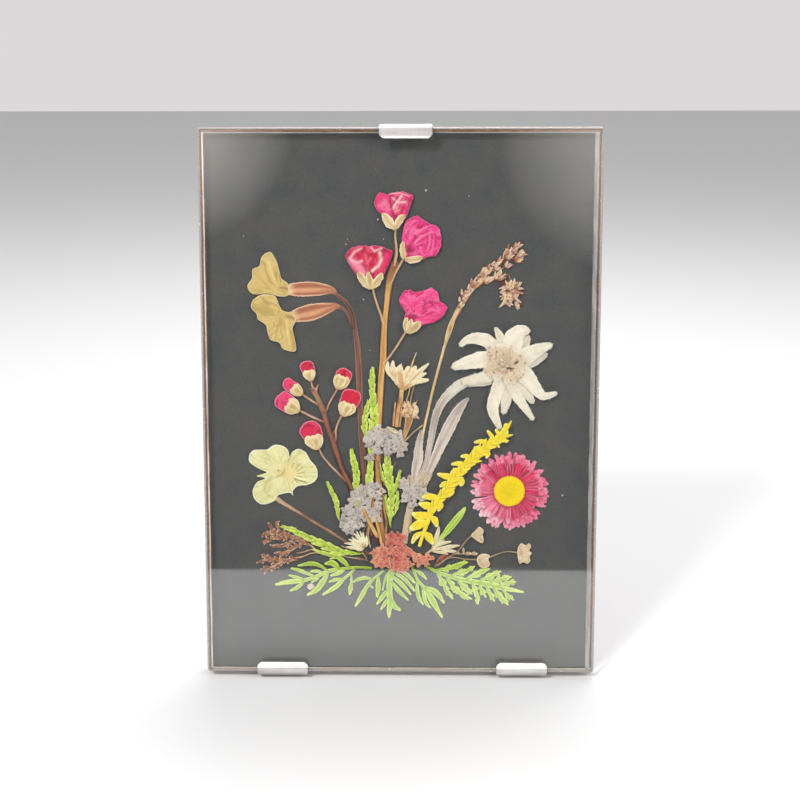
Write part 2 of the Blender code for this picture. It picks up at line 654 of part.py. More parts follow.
def primrose():
    """Pale flower of five broad lobes, and its thin stem."""
    stem = Shoot([(-9.8, 40.7, 1.1), (-13, 42.3, 1.3), (-17.8, 44.8, 1.4), (-24, 48.7, 1.4),
                  (-32, 53.7, 1.3), (-39.0, 58.0, 1.4), (-41.6, 59.8, 1.2)])
    flower = [(-44, 75.9), (-42.4, 77.0), (-40.4, 77.5), (-37.8, 76.6), (-36.6, 74.6), (-36.4, 73.1),
              (-35.8, 74.8), (-33.6, 76.1), (-31.2, 75.0), (-29.6, 72.4), (-27.7, 70.0), (-27.3, 67.0),
              (-28.6, 64.9), (-31.5, 63.9), (-34.0, 63.6), (-35.5, 61.9), (-35.4, 60.4), (-36.6, 61.3),
              (-40.2, 60.6), (-41.3, 59.0), (-43.6, 57.8), (-46.2, 57.5), (-48.4, 59.5), (-48.7, 62.6),
              (-47.0, 65.2), (-44.7, 66.3), (-47.5, 67.0), (-44.2, 68.1), (-46.9, 69.6), (-49.7, 71.6),
              (-49.9, 73.8), (-48.2, 75.7)]
    return [("primrose_stem", shoot_outline(stem), 0, 1, "brown_stem"),
            ("primrose_flower", petals(flower), 1, 1, "pale_petal")]


def brown_grass():
    """Two dry feathery tufts on thin stalks."""
    upper = Shoot(
        [(-11, 38.6, 0.5), (-15.6, 39.4, 0.5), (-20.5, 40.2, 0.5), (-25.5, 41.3, 0.5), (-28.2, 42.2, 0.6),
         (-29.6, 43.5, 0.7), (-31.4, 44.5, 0.9), (-34, 45.4, 1.3), (-37, 46.7, 2.0), (-40, 47.9, 2.0),
         (-42.2, 48.7, 1.4), (-43.6, 50.2, 0.8)],
        left=(leaflet((-32.4, 44.3, 0.7), (-35.6, 42.6, 1.6), (-38.4, 41.2, 1.5), (-41, 40.4, 0.6)),
              leaflet((-35.2, 45.0, 0.9), (-37.4, 44.2, 1.3), (-39.2, 43.3, 1.2), (-42.5, 43.1, 0.7)),
              leaflet((-38.2, 46.2, 1.1), (-41, 46.2, 1.2), (-44, 45.4, 1.0), (-45.7, 44.8, 0.6)),
              leaflet((-40.8, 47.8, 0.9), (-43.2, 47.5, 1.0), (-45.1, 47.5, 0.7))),
        right=(leaflet((-40.4, 48.8, 0.8), (-41.2, 50.4, 0.8)),), smooth=1)
    lower = Shoot(
        [(-26, 40.9, 0.5), (-28.5, 41.1, 0.5), (-30.4, 40.7, 0.6), (-32.5, 39.8, 0.7), (-36, 39.1, 0.9),
         (-38.5, 38.7, 1.2), (-41, 38.6, 1.8), (-43.4, 39.2, 1.6), (-44.9, 40.2, 0.8)],
        left=(leaflet((-39.4, 38.0, 1.1), (-41.8, 36.7, 1.6), (-45.0, 35.3, 0.9)),
              leaflet((-42.6, 38.7, 0.8), (-46.2, 38.5, 0.7))), smooth=1)
    return [("brown_spray_upper", shoot_outline(upper), 0, 1, "brown_grass"),
            ("brown_spray_lower", shoot_outline(lower), 1, 1, "brown_grass")]


def green_sprigs():
    """Sprigs of small overlapping scale leaves."""
    tall = Shoot(
        [(-10.4, 60, 1.4), (-10.4, 64, 2.6), (-10.0, 68, 2.4), (-9.8, 73, 1.6), (-9.5, 79, 2.0),
         (-8.8, 84, 2.9), (-8.6, 88, 2.8), (-8.8, 92, 2.3), (-9.2, 96, 1.9), (-9.2, 100, 1.9),
         (-9.0, 103.2, 0.8)],
        left=(Shoot([(-10.7, 79.2, 1.2), (-11.5, 82.4, 1.9), (-11.6, 86, 1.9), (-11.0, 89.4, 1.6),
                     (-10.3, 92.4, 0.6)], scales=3.2),), scales=3.2)
    side = Shoot([(-13.4, 54, 1.1), (-14.2, 60, 1.6), (-14.6, 64.5, 2.2), (-14.4, 67.5, 2.2),
                  (-14.9, 70, 2.2), (-15.5, 72.5, 2.1), (-16.2, 76.2, 0.9)], scales=2.6)
    small = Shoot([(-19.6, 51.6, 0.8), (-20.6, 54, 1.1), (-20.9, 56.5, 1.7), (-21.3, 58.8, 2.2),
                   (-22.4, 61.2, 1.7), (-23.4, 63.4, 1.3), (-24.2, 65.2, 0.5)], scales=2.6)
    centre = Shoot(
        [(-3.2, 49.8, 0.9), (-3.3, 54, 1.3), (-2.9, 58, 2.1), (-2.9, 62, 2.3), (-3.6, 66, 2.5),
         (-4.2, 70, 3.0), (-4.3, 74.0, 1.4)],
        left=(leaflet((-4.1, 54.6, 0.8), (-4.7, 57.4, 1.2), (-5.0, 60.4, 0.6)),
              leaflet((-4.6, 64.4, 0.8), (-6.2, 67.4, 1.1), (-7.0, 71.0, 0.6))),
        right=(leaflet((-1.6, 62.6, 0.9), (-0.8, 65.6, 1.2), (0.0, 68.6, 0.6)),), scales=3.0)
    low = Shoot(
        [(-12.5, 40.9, 0.8), (-16.5, 41.1, 1.4), (-19.5, 41.3, 2.4), (-22.3, 42.3, 3.4),
         (-25.5, 43.8, 3.3), (-29, 45.5, 2.5), (-32.5, 47.1, 2.1), (-35.8, 48.8, 1.9), (-39.6, 50.1, 0.8)],
        left=(leaflet((-20.6, 40.4, 0.9), (-24.6, 40.7, 1.2), (-28.6, 42.0, 0.6)),), scales=3.3)
    sprigs = (("green_sprig_tall", tall), ("green_sprig_side", side), ("green_sprig_small", small),
              ("green_sprig_centre", centre), ("green_sprig_low", low))
    return [(name, shoot_outline(shoot), 2, 1, "lime_leaf") for name, shoot in sprigs]


def feathery_leaves():
    """Finely divided lime leaves along the foot of the bouquet: a midrib with narrow lobes."""
    left = Shoot(
        [(-9.5, 36.0, 0.8), (-14.5, 36.2, 0.9), (-19, 35.7, 1.0), (-23.5, 35.0, 1.4), (-27.5, 33.2, 1.2),
         (-31, 32.0, 1.2), (-34, 31.4, 1.6), (-38, 31.0, 1.6), (-41.6, 30.2, 0.8)],
        left=(Shoot([(-15.4, 35.4, 0.8), (-16.9, 33.9, 0.9), (-18.8, 32.3, 1.0), (-20.8, 30.2, 1.6),
                     (-23.2, 28.4, 1.5), (-25.9, 26.8, 0.7)],
                    left=(leaflet((-16.3, 33.6, 0.7), (-16.4, 31, 0.9), (-16.6, 29, 1.6), (-16.9, 26.9, 0.7)),),
                    right=(leaflet((-19.6, 32.2, 0.8), (-21.6, 31.9, 1.2), (-23.7, 31.2, 0.6)),), smooth=1),
              leaflet((-19.0, 34.9, 0.8), (-21, 34.0, 1.3), (-23.2, 33.3, 0.6)),
              leaflet((-24.2, 34.0, 1.0), (-25.6, 31.6, 1.9), (-27.8, 28.6, 1.8), (-31, 26.7, 0.8)),
              leaflet((-27.5, 32.3, 0.7), (-29.6, 31.0, 0.7)),
              leaflet((-32.7, 30.7, 1.0), (-34.3, 29.3, 1.4), (-36.7, 28.1, 0.7))),
        right=(leaflet((-17.4, 36.6, 0.9), (-19.2, 38.5, 1.7), (-21.2, 39.5, 1.0), (-23.4, 39.0, 0.6)),
               leaflet((-20.9, 36.2, 1.4), (-22.5, 37.6, 2.0), (-25.0, 37.4, 0.8)),
               leaflet((-24.8, 35.4, 0.8), (-27.0, 36.8, 1.2), (-29.8, 37.4, 1.5), (-34, 36.7, 0.6)),
               leaflet((-26.4, 34.5, 0.8), (-28.0, 34.9, 1.1), (-29.9, 34.7, 0.6)),
               leaflet((-29.2, 33.3, 0.8), (-31.5, 34.2, 1.1), (-33.8, 35.2, 1.2), (-36.4, 35.8, 0.6)),
               leaflet((-32.8, 32.2, 0.8), (-35, 32.8, 1.1), (-37.1, 33.4, 0.6))), smooth=1)
    middle_left = Shoot(
        [(-5.5, 35.2, 0.8), (-7.8, 33.2, 0.8), (-9.6, 31.6, 1.0), (-11.4, 29.2, 1.3), (-12.8, 26.6, 1.6),
         (-15, 22.9, 0.8)],
        left=(leaflet((-7.4, 32.7, 0.9), (-7.4, 29.5, 1.8), (-7.7, 26.1, 0.7)),
              leaflet((-10.2, 30.0, 0.7), (-9.2, 29.3, 0.7))),
        right=(leaflet((-9.6, 32.3, 0.7), (-12.6, 32.5, 1.3), (-16.1, 31.1, 0.6)),), smooth=1)
    middle = Shoot(
        [(-2.8, 37, 1.2), (-3.2, 34, 2.0), (-3.6, 30.5, 2.0), (-3.6, 27.5, 1.9), (-3.3, 24.6, 1.9),
         (-3.7, 21.8, 1.8), (-3.75, 19.1, 0.8)],
        left=(leaflet((-1.6, 36.2, 0.8), (2.4, 33.6, 1.4), (4.8, 31.0, 0.7)),
              leaflet((-2.0, 34.6, 1.0), (1.6, 32.0, 1.4), (4.8, 28.2, 0.6)),
              leaflet((-2.3, 32.9, 1.0), (0.7, 30.2, 1.5), (3.5, 27.0, 0.6)),
              leaflet((-2.5, 30.8, 1.0), (-0.5, 28.1, 1.5), (2.6, 25.1, 0.6)),
              leaflet((-2.4, 24.2, 1.3), (-1.7, 22.6, 1.6), (-0.1, 21.6, 1.0))),
        right=(leaflet((-4.3, 34.0, 0.7), (-5.2, 31.5, 0.8), (-5.9, 28.4, 0.5)),
               leaflet((-4.5, 28.2, 0.9), (-5.8, 26.3, 1.6), (-7.8, 23.6, 0.7)),
               leaflet((-4.3, 25.2, 0.9), (-5.2, 23.7, 1.3), (-6.5, 21.8, 0.7))), smooth=1)
    middle_right = Shoot(
        [(3.6, 37, 0.8), (4.6, 34.8, 0.9), (5.7, 32, 0.9), (7.2, 30.2, 1.0), (8.7, 28.4, 1.5),
         (10.4, 25.5, 2.2), (12, 22.6, 1.6), (14, 19.1, 0.7)],
        left=(leaflet((5.6, 35.0, 0.7), (7.0, 34.0, 1.2), (8.7, 32.3, 0.6)),
              leaflet((9.2, 29.2, 1.2), (12.2, 27.4, 1.9), (14.6, 24.2, 0.8))),
        right=(leaflet((5.6, 31.0, 0.8), (5.7, 28, 1.3), (6.3, 25.6, 1.3), (7.7, 23.5, 0.5)),
               leaflet((7.6, 28.8, 0.8), (8.0, 26.2, 1.3), (8.8, 23.8, 1.2), (10.1, 22.4, 0.5))), smooth=1)
    right = Shoot(
        [(8.8, 36.5, 0.9), (13.5, 34.2, 1.3), (18, 32.8, 1.5), (23, 31.6, 1.7), (28, 30.8, 1.9),
         (32, 29.9, 2.0), (36, 28.9, 1.6), (41, 27.9, 0.7)],
        left=(leaflet((12.6, 35.4, 1.0), (16.8, 36.0, 1.2), (19.6, 37.1, 1.5), (22.4, 38.1, 0.6)),
              leaflet((17.8, 33.8, 0.9), (21.5, 34.8, 1.5), (24.6, 36.6, 0.7)),
              leaflet((22.9, 32.8, 1.1), (25.7, 34.0, 1.6), (29.7, 35.9, 0.6)),
              leaflet((27.2, 32.1, 1.0), (30.3, 33.3, 1.2), (33.4, 35.0, 0.6)),
              leaflet((30.6, 31.3, 0.9), (33.8, 32.4, 1.2), (36.9, 33.1, 0.6)),
              leaflet((33.4, 30.4, 0.8), (36, 31.1, 1.0), (38.4, 31.4, 0.6))),
        right=(leaflet((12.8, 33.5, 1.1), (14.6, 30.4, 1.2), (15.6, 28, 1.4), (17.5, 25.6, 0.7)),
               leaflet((15.8, 32.4, 1.1), (18, 29.4, 1.4), (20.6, 27, 1.3), (23.8, 25.5, 0.6)),
               leaflet((19.4, 31.6, 0.9), (21.6, 29.2, 1.3), (23.9, 27.2, 0.6)),
               leaflet((24.0, 30.8, 0.9), (25.4, 27.6, 1.3), (25.8, 23.9, 1.0)),
               leaflet((26.6, 30.0, 0.9), (27.6, 27.8, 1.1), (28.6, 26.2, 0.6)),
               leaflet((28.8, 29.8, 1.0), (30.0, 27.2, 1.3), (31.4, 24.8, 0.7)),
               leaflet((31.4, 29.0, 1.1), (33.2, 26.2, 1.4), (36, 23.6, 0.7)),
               leaflet((34.4, 28.4, 0.8), (36, 26.7, 1.0), (37.8, 25.2, 0.6))), smooth=1)
    leaves = (("feather_leaf_left", left, 1), ("feather_leaf_middle_left", middle_left, 0),
              ("feather_leaf_middle", middle, 1), ("feather_leaf_middle_right", middle_right, 0),
              ("feather_leaf_right", right, 1))
    return [(name, shoot_outline(shoot), slot, 1, "lime_leaf") for name, shoot, slot in leaves]


def silver_clusters():
    """Flattened heads of small grey florets with round lobes."""
    top = [(-12.9, 79.4), (-11.8, 81.0), (-10.2, 82.6), (-8, 83.3), (-6.6, 84.6), (-4.6, 84.3),
           (-2.4, 83.4), (-0.3, 83.1), (0.4, 81.2), (0.6, 78.8), (2.1, 77.3), (2.8, 74.6), (1.5, 72.3),
           (-0.4, 73.2), (-2.6, 74.3), (-5.2, 74.4), (-8.0, 72.7), (-10.2, 71.9), (-12.9, 72.6),
           (-11.6, 75.4), (-12.3, 77.4)]
    left = [(-19.3, 59.2), (-18.2, 60.7), (-16.6, 62.4), (-14.0, 63.4), (-11.5, 64.4), (-8.6, 65.2),
            (-5.8, 64.0), (-4.8, 61.8), (-6.2, 60), (-6.1, 56.8), (-6.6, 53.8), (-8.5, 51.4), (-11, 50.7),
            (-13, 49.6), (-14.4, 47.8), (-16.4, 47.2), (-18.2, 48.8), (-20.4, 48.6), (-21.7, 50.2),
            (-20.1, 52.2), (-20.3, 54.4), (-19.6, 56.6), (-18.1, 57.6)]
    right = [(-1.1, 60.0), (-0.9, 62.4), (-0.6, 65.0), (0.4, 67.4), (2.4, 66.8), (4.6, 65.4), (7.4, 65.0),
             (8.6, 62.8), (8.1, 60.2), (6.6, 58.4), (5.0, 56.9), (2.4, 56.6), (1.2, 58.0)]
    clusters = (("silver_cluster_top", top), ("silver_cluster_left", left), ("silver_cluster_right", right))
    return [(name, scalloped(notches, 0.18), 3, 1, "silver_floret") for name, notches in clusters]


def straw_flowers():
    """Dry straw-coloured star, tuft and bracts, and a cream star lying on its side."""
    star = [(-2.6, 83.5), (-2.1, 88), (-1.6, 91.3), (-1.0, 89.6), (-0.5, 93.2), (-0.4, 96), (-1.8, 98.9),
            (-3.7, 100.9), (-4.7, 102.8), (-4.5, 104.7), (-3.6, 104.2), (-2.4, 105.3), (-1.6, 104.3),
            (-0.4, 103.1), (0.4, 103.8), (2.4, 103.4), (3.1, 103.1), (4.7, 107.8), (5.4, 107.9),
            (4.0, 103.4), (5.3, 103.3), (6.0, 102.2), (7.6, 103.2), (9.2, 104.6), (9.3, 103.6),
            (8.3, 101.6), (8.8, 101.0), (8.0, 100.0), (9.3, 99.4), (9.1, 98.4), (7.5, 98.1), (5.4, 97.4),
            (3.6, 98.2), (2.2, 97.3), (1.4, 95.6), (0.9, 94), (0.6, 90), (0.2, 83.5)]
    tuft = [(0.2, 91.0), (1.0, 91.9), (1.9, 92.2), (4.2, 97.2), (4.6, 97.0), (2.7, 91.9), (3.6, 90.6),
            (4.6, 90.7), (5.3, 92.5), (5.7, 92.3), (5.6, 90.6), (6.2, 89.2), (5.6, 87.8), (4.4, 87.1),
            (3.9, 85.2), (2.6, 81.6), (1.2, 78.9), (0.2, 80.4), (0.3, 84), (0.7, 87)]
    bracts = Shoot(
        [(8.4, 40.8, 0.6), (10.6, 42.1, 0.9), (13.5, 42.7, 1.1), (16.5, 43.3, 1.4), (19.6, 43.7, 0.6)],
        left=(leaflet((10.7, 42.8, 0.7), (12.2, 47.2, 1.5), (12.8, 50.0, 0.7)),
              leaflet((12.4, 43.5, 0.7), (14.4, 44.5, 1.1), (16.8, 45.0, 0.6))),
        right=(leaflet((14.0, 42.0, 0.7), (17, 41.8, 1.1), (19.4, 41.3, 0.6)),), smooth=1)
    cream = rayed((-12.0, 43.2), [(-18.6, 44.4), (-17.2, 45.7), (-16.1, 46.6), (-15.4, 47.7),
                                  (-14.5, 48.5), (-13.4, 48.5), (-12.3, 48.1), (-11.2, 47.0),
                                  (-10.6, 44.8), (-10.6, 42.6), (-13.4, 41.8), (-16.8, 42.8)], 0.74)
    return [("straw_star", star, 2, 1, "straw"),
            ("straw_tuft", tuft, 1, 1, "straw"),
            ("straw_bracts", shoot_outline(bracts), 2, 1, "straw"),
            ("cream_star", cream, 4, 1, "straw")]


def beige_sprays():
    """Thin stalks that end in small flared beige flowers, one of them with two round buds."""
    upper = Shoot(
        [(11.5, 36.6, 0.5), (14.5, 38.5, 0.5), (17.6, 40.7, 0.5), (19.3, 42.0, 0.5), (20.4, 43.4, 0.5),
         (22.2, 45.8, 0.5), (23.6, 47.2, 0.8), (25.2, 47.3, 3.4), (26.9, 47.0, 5.2), (27.6, 46.9, 4.0)],
        right=(leaflet((18.4, 40.9, 0.5), (21.8, 40.9, 0.5), (22.6, 40.9, 1.3), (23.4, 40.8, 0.6),
                       (24.4, 40.8, 1.4), (25.3, 40.8, 0.8)),), smooth=1)
    right = Shoot(
        [(13.8, 38.5, 0.5), (17.5, 39.7, 0.5), (21.2, 39.1, 0.5), (25.2, 38.7, 0.7), (26.0, 38.6, 2.8),
         (27.6, 38.5, 4.4), (28.9, 39.0, 3.2), (29.6, 39.8, 0.8), (32.5, 40.9, 0.5), (35.6, 41.6, 0.5),
         (38.4, 41.3, 0.6), (39.2, 41.2, 4.6), (40.8, 41.1, 6.8), (42.4, 41.1, 5.6), (43.3, 41.1, 2.6)],
        smooth=1)
    return [("beige_spray", shoot_outline(upper), 3, 1, "beige"),
            ("beige_spray_right", shoot_outline(right), 2, 1, "beige")]


def wood_rush():
    """Long thin stem with a sheath, two knots of dry spikelets, and a tuft that hangs apart."""
    stem = Shoot(
        [(3.0, 48, 0.9), (4.4, 60, 0.9), (6.2, 72, 0.9), (7.6, 82, 0.9), (8.9, 88, 0.9), (10.2, 94, 0.9),
         (11.7, 100, 0.9), (13.3, 106, 0.9), (14.9, 112, 0.95), (16.5, 117, 1.1), (17.7, 120.4, 1.3),
         (19.3, 123.6, 1.9), (21.4, 127.2, 2.2), (23.2, 129.8, 2.4), (25.2, 132.0, 2.6),
         (27.4, 134.2, 2.3), (30, 136.2, 2.0), (32.5, 138.0, 2.0), (34.6, 139.7, 2.6), (36.5, 141.2, 2.2),
         (39.0, 143.4, 1.0)],
        left=(leaflet((34.4, 140.9, 1.0), (35.0, 143.4, 1.0)),),
        right=(leaflet((25.6, 130.4, 1.5), (28.4, 131.2, 2.1), (31.4, 132.0, 2.5), (33.4, 133.2, 2.0),
                       (35.0, 133.2, 1.0)),
               leaflet((29.6, 134.4, 1.5), (32, 134.9, 1.5), (34.6, 136.0, 1.1), (36.9, 136.4, 0.6)),
               leaflet((35.0, 138.9, 1.3), (37.2, 138.0, 1.5), (39.3, 137.0, 0.9)),
               leaflet((36.8, 140.2, 1.0), (39.2, 139.8, 1.1), (41.4, 139.6, 0.5))), smooth=1)
    tuft = rayed((35.7, 126.9), [(32.9, 130.4), (34.4, 131.2), (36.6, 131.4), (39.4, 130.5), (39.3, 128.2),
                                 (39.5, 126.0), (38.8, 124.4), (38.2, 122.6), (35.6, 123.0),
                                 (33.7, 122.3), (32.4, 124.8), (32.0, 127.4)], 0.86)
    return [("rush_stem", shoot_outline(stem), 0, 1, "rush"),
            ("rush_tuft_low", tuft, 1, 1, "rush")]


def edelweiss():
    """Star of woolly bracts with its knot of beige heads, on a grey stem with two long leaves."""
    bracts = [(24.4, 109.0), (22.4, 109.7), (20.3, 109.6), (19.4, 110.8), (21.0, 113.0), (24.8, 113.9),
              (27.8, 113.1), (30.3, 111.6), (30.3, 115.4), (31.4, 115.8), (33.5, 114.2), (34.3, 115.6),
              (36.6, 116.3), (40.4, 115.8), (42.1, 114.3), (41.4, 112.6), (39.2, 111.9), (39.2, 109.8),
              (42.6, 109.4), (48.3, 110.7), (49.3, 109.8), (48.2, 107.5), (44.0, 103.7), (42.3, 101.8),
              (43.4, 98.9), (46.4, 95.4), (49.4, 95.1), (51.1, 94.9), (50.4, 93.2), (46.4, 91.9),
              (44.3, 92.9), (43.4, 91.2), (41.0, 92.9), (42.4, 89.8), (44.0, 86.6), (43.0, 85.7),
              (40.0, 88.4), (37.3, 92.6), (36.0, 90.4), (33.7, 87.6), (32.7, 88.6), (33.2, 92.2),
              (33.3, 94.4), (32.2, 91.0), (32.2, 86.8), (32.8, 83.4), (31.6, 82.8), (29.4, 86.6),
              (28.4, 90.0), (29.0, 93.4), (29.8, 96.6), (26.4, 97.2), (22.6, 97.2), (19.0, 99.5),
              (17.4, 102.0), (17.7, 104.3), (20.6, 106.6), (24.6, 108.3)]
    heads = [(28.2, 109.8), (31, 111.4), (35, 111.0), (38.4, 109.4), (40.6, 107), (41.2, 103.6),
             (40.8, 100.4), (38.6, 98.2), (36, 97.0), (33, 98.4), (29.5, 99.3), (27.2, 100.6),
             (26.6, 103.2), (28.0, 106.4)]
    stem = Shoot(
        [(1.2, 44.5, 2.4), (2.0, 50, 2.4), (3.0, 55.5, 2.4), (4.8, 61, 4.2), (6.4, 65.5, 6.4),
         (7.4, 68.2, 4.4), (8.6, 71.6, 1.9), (9.4, 76, 2.0), (10.4, 81, 2.2), (11.3, 86, 2.4),
         (13.0, 90.5, 2.7), (16, 94.4, 3.2), (19.5, 97.4, 3.6), (24, 99.4, 3.4)],
        left=(Shoot([(5.0, 69.2, 2.4), (5.8, 73, 3.2), (6.1, 77, 2.6), (6.5, 80, 1.7), (6.9, 82.3, 0.8)],
                    smooth=1),),
        right=(Shoot([(9.7, 69.0, 2.0), (11.1, 72.4, 2.8), (13.3, 77.5, 3.5), (15.6, 82.5, 4.0),
                      (18.3, 87.7, 3.4), (20.6, 91.2, 2.2), (22.2, 92.9, 0.8)], smooth=1),), smooth=1)
    return [("edelweiss_stem", shoot_outline(stem), 1, 1, "woolly_stem"),
            ("edelweiss_bracts", petals(bracts, 1), 2, 2, "woolly_bract"),
            ("edelweiss_centre", scalloped(heads, 0.14), 4, 1, "beige")]


def yellow_sprig():
    """Bright yellow sprig with a pair of blunt lobes at each step of its stem."""
    sprig = Shoot(
        [(6.3, 43.4, 0.8), (7.4, 47, 0.9), (8.9, 51.3, 1.1), (10.3, 55, 1.4), (12.3, 58.6, 2.1),
         (15, 62, 2.2), (17.5, 65.6, 2.2), (20, 68.9, 2.4), (23, 71.9, 2.4), (26, 74.9, 2.2),
         (29, 77.4, 1.9), (32, 79.2, 2.3), (34.2, 81.4, 1.8), (34.7, 84.5, 0.9)],
        left=(leaflet((7.1, 48.0, 0.7), (5.2, 46.8, 1.5), (3.9, 44.5, 0.7)),
              leaflet((8.2, 51.4, 1.4), (5.8, 50.6, 2.4), (3.4, 49.2, 1.2)),
              leaflet((9.2, 54.0, 1.4), (6.6, 53.6, 2.4), (4.0, 54.5, 0.9)),
              leaflet((10.4, 57.0, 1.4), (8.6, 57.2, 2.0), (6.2, 57.9, 0.7)),
              leaflet((11.8, 59.8, 1.4), (9.6, 60.2, 1.8), (7.2, 60.1, 0.6)),
              leaflet((15.6, 64.6, 1.2), (14.4, 64.4, 1.4), (13.1, 63.6, 0.6)),
              leaflet((16.8, 66.8, 1.3), (14.8, 67.1, 1.6), (12.4, 67.8, 0.7)),
              leaflet((18.8, 69.2, 1.0), (17.8, 69.0, 1.1), (16.7, 68.2, 0.5)),
              leaflet((20.4, 71.2, 1.1), (18.9, 71.3, 1.3), (16.9, 71.1, 0.6)),
              leaflet((22.6, 73.4, 1.2), (21.4, 73.8, 1.2), (20.0, 73.7, 0.6)),
              leaflet((26.0, 76.6, 1.1), (24.8, 76.2, 1.1), (23.6, 75.2, 0.5)),
              leaflet((28.2, 78.3, 1.1), (26.4, 78.7, 1.2), (24.4, 78.4, 0.6)),
              leaflet((30.4, 79.8, 0.8), (29.7, 80.9, 1.1), (28.6, 82.3, 0.6)),
              leaflet((32.4, 81.0, 1.0), (31.9, 81.8, 1.0), (31.3, 82.7, 0.6))),
        right=(leaflet((8.3, 47.8, 1.0), (9.4, 46.6, 2.1), (10.9, 44.3, 0.9)),
               leaflet((10.3, 53.2, 1.0), (11.4, 52.3, 1.8), (12.2, 50.2, 0.8)),
               leaflet((12.8, 57.8, 1.4), (13.4, 57.2, 1.5), (12.6, 55.5, 0.7)),
               leaflet((16.4, 62.4, 1.3), (17.0, 61.8, 1.4), (15.9, 60.2, 0.7)),
               leaflet((18.8, 65.9, 1.4), (20.2, 65.4, 1.7), (20.0, 63.9, 0.8)),
               leaflet((27.6, 74.9, 1.3), (28.8, 74.7, 1.4), (28.3, 73.2, 0.6)),
               leaflet((31.6, 77.9, 0.9), (32.5, 76.8, 0.5)),
               leaflet((33.9, 79.4, 1.2), (35.0, 78.6, 0.8))), smooth=1)
    return [("yellow_sprig", shoot_outline(sprig), 4, 1, "yellow_leaf")]


def low_flowers():
    """The coral red flowers and the loose golden stem at the foot, and the one long green leaf."""
    coral = [(-4.4, 46.2), (-4.2, 48.0), (-2.6, 49.2), (-0.4, 48.8), (0.8, 47.2), (0.8, 45.4), (1.6, 43.8),
             (3.6, 43.2), (5.2, 42.2), (6.4, 41.0), (9.0, 40.6), (10.8, 39.2), (10.4, 37.4), (8, 37.0),
             (5, 37.0), (3.8, 35.7), (1.8, 34.6), (-0.8, 34.9), (-2.8, 35.8), (-5.4, 36.5), (-8.4, 36.7),
             (-10.0, 38.0), (-9.8, 40.2), (-8.0, 42.0), (-5.8, 43.4), (-4.2, 44.6)]
    golden = Shoot([(-7.4, 46.4, 1.4), (-9.2, 49.5, 1.5), (-10.9, 53, 1.4), (-12.3, 56, 1.1)])
    leaf = Shoot([(10.9, 43.2, 1.0), (12.6, 45.2, 1.4), (14.6, 47.4, 1.7), (16.3, 49.6, 2.3),
                  (18.2, 52, 2.4), (19.9, 54.2, 2.1), (21.4, 56.4, 1.0)])
    return [("coral_flowers", scalloped(coral, 0.2), 4, 1, "coral_petal"),
            ("golden_stem", shoot_outline(golden), 4, 1, "golden_stem"),
            ("narrow_leaf", shoot_outline(leaf), 1, 1, "lime_leaf")]


def make_daisy(panel, mats):
    """Pink daisy with no stem: a thin disc of rays and a low yellow dome turned about its middle."""
    radius, rays, rays_t = 13.2, 42, 0.45
    low = CARD_FRONT + JOIN_GAP
    [centre] = behind_glass([(36.0, 62.0)], -low)
    sheet("daisy_rays", daisy_outline(centre, radius, rays), low, rays_t, mats["daisy_ray"], panel)
    disc_r, disc_h = 5.2, 0.7
    dome = [(disc_r * math.cos(a), disc_h * (0.25 + 0.75 * math.sin(a)))
            for a in (math.radians(degrees) for degrees in (90, 50, 25, 0))]
    disc = turned("daisy_centre", dome + [(disc_r, 0.0), (0.0, 0.0)], 20, mats["daisy_disc"], panel)
    disc.location = (centre[0] * MM, centre[1] * MM, (low + rays_t + JOIN_GAP) * MM)


def plant_materials():
    """One material for each kind of petal, leaf and stem."""
    looks = {
        "brown_stem": ((0.22, 0.09, 0.05), 0.6), "ochre_petal": ((0.72, 0.48, 0.12), 0.6),
        "golden_stem": ((0.55, 0.28, 0.06), 0.5), "pink_petal": ((0.80, 0.06, 0.20), 0.6),
        "crimson_bud": ((0.62, 0.02, 0.06), 0.6), "pale_petal": ((0.80, 0.75, 0.42), 0.6),
        "brown_grass": ((0.36, 0.18, 0.10), 0.7), "lime_leaf": ((0.50, 0.60, 0.10), 0.6),
        "silver_floret": ((0.48, 0.45, 0.43), 0.9), "straw": ((0.78, 0.62, 0.36), 0.6),
        "beige": ((0.68, 0.52, 0.36), 0.7), "rush": ((0.48, 0.26, 0.13), 0.7),
        "woolly_stem": ((0.55, 0.46, 0.40), 0.9), "woolly_bract": ((0.85, 0.80, 0.68), 0.95),
        "yellow_leaf": ((0.90, 0.70, 0.03), 0.6), "daisy_ray": ((0.75, 0.10, 0.22), 0.6),
        "daisy_disc": ((0.95, 0.72, 0.0), 0.8), "coral_petal": ((0.58, 0.16, 0.10), 0.7),
    }
    return {name: make_material(name, colour, rough) for name, (colour, rough) in looks.items()}


def make_plants(panel):
    """Each plant piece as a thin sheet in its slot between card and glass."""
    mats = plant_materials()
    pieces = (cowslip() + pink_spray() + bud_spray() + primrose() + brown_grass() + green_sprigs()
              + feathery_leaves() + silver_clusters() + straw_flowers() + beige_sprays() + wood_rush()
              + edelweiss() + yellow_sprig() + low_flowers())
    for name, outline, slot, layers, mat in pieces:
        low = CARD_FRONT + JOIN_GAP + slot * SLOT_PITCH
        thickness = PLANT_T + (layers - 1) * SLOT_PITCH
        sheet(name, behind_glass(outline, -low - thickness), low, thickness, mats[mat], panel)
    make_daisy(panel, mats)


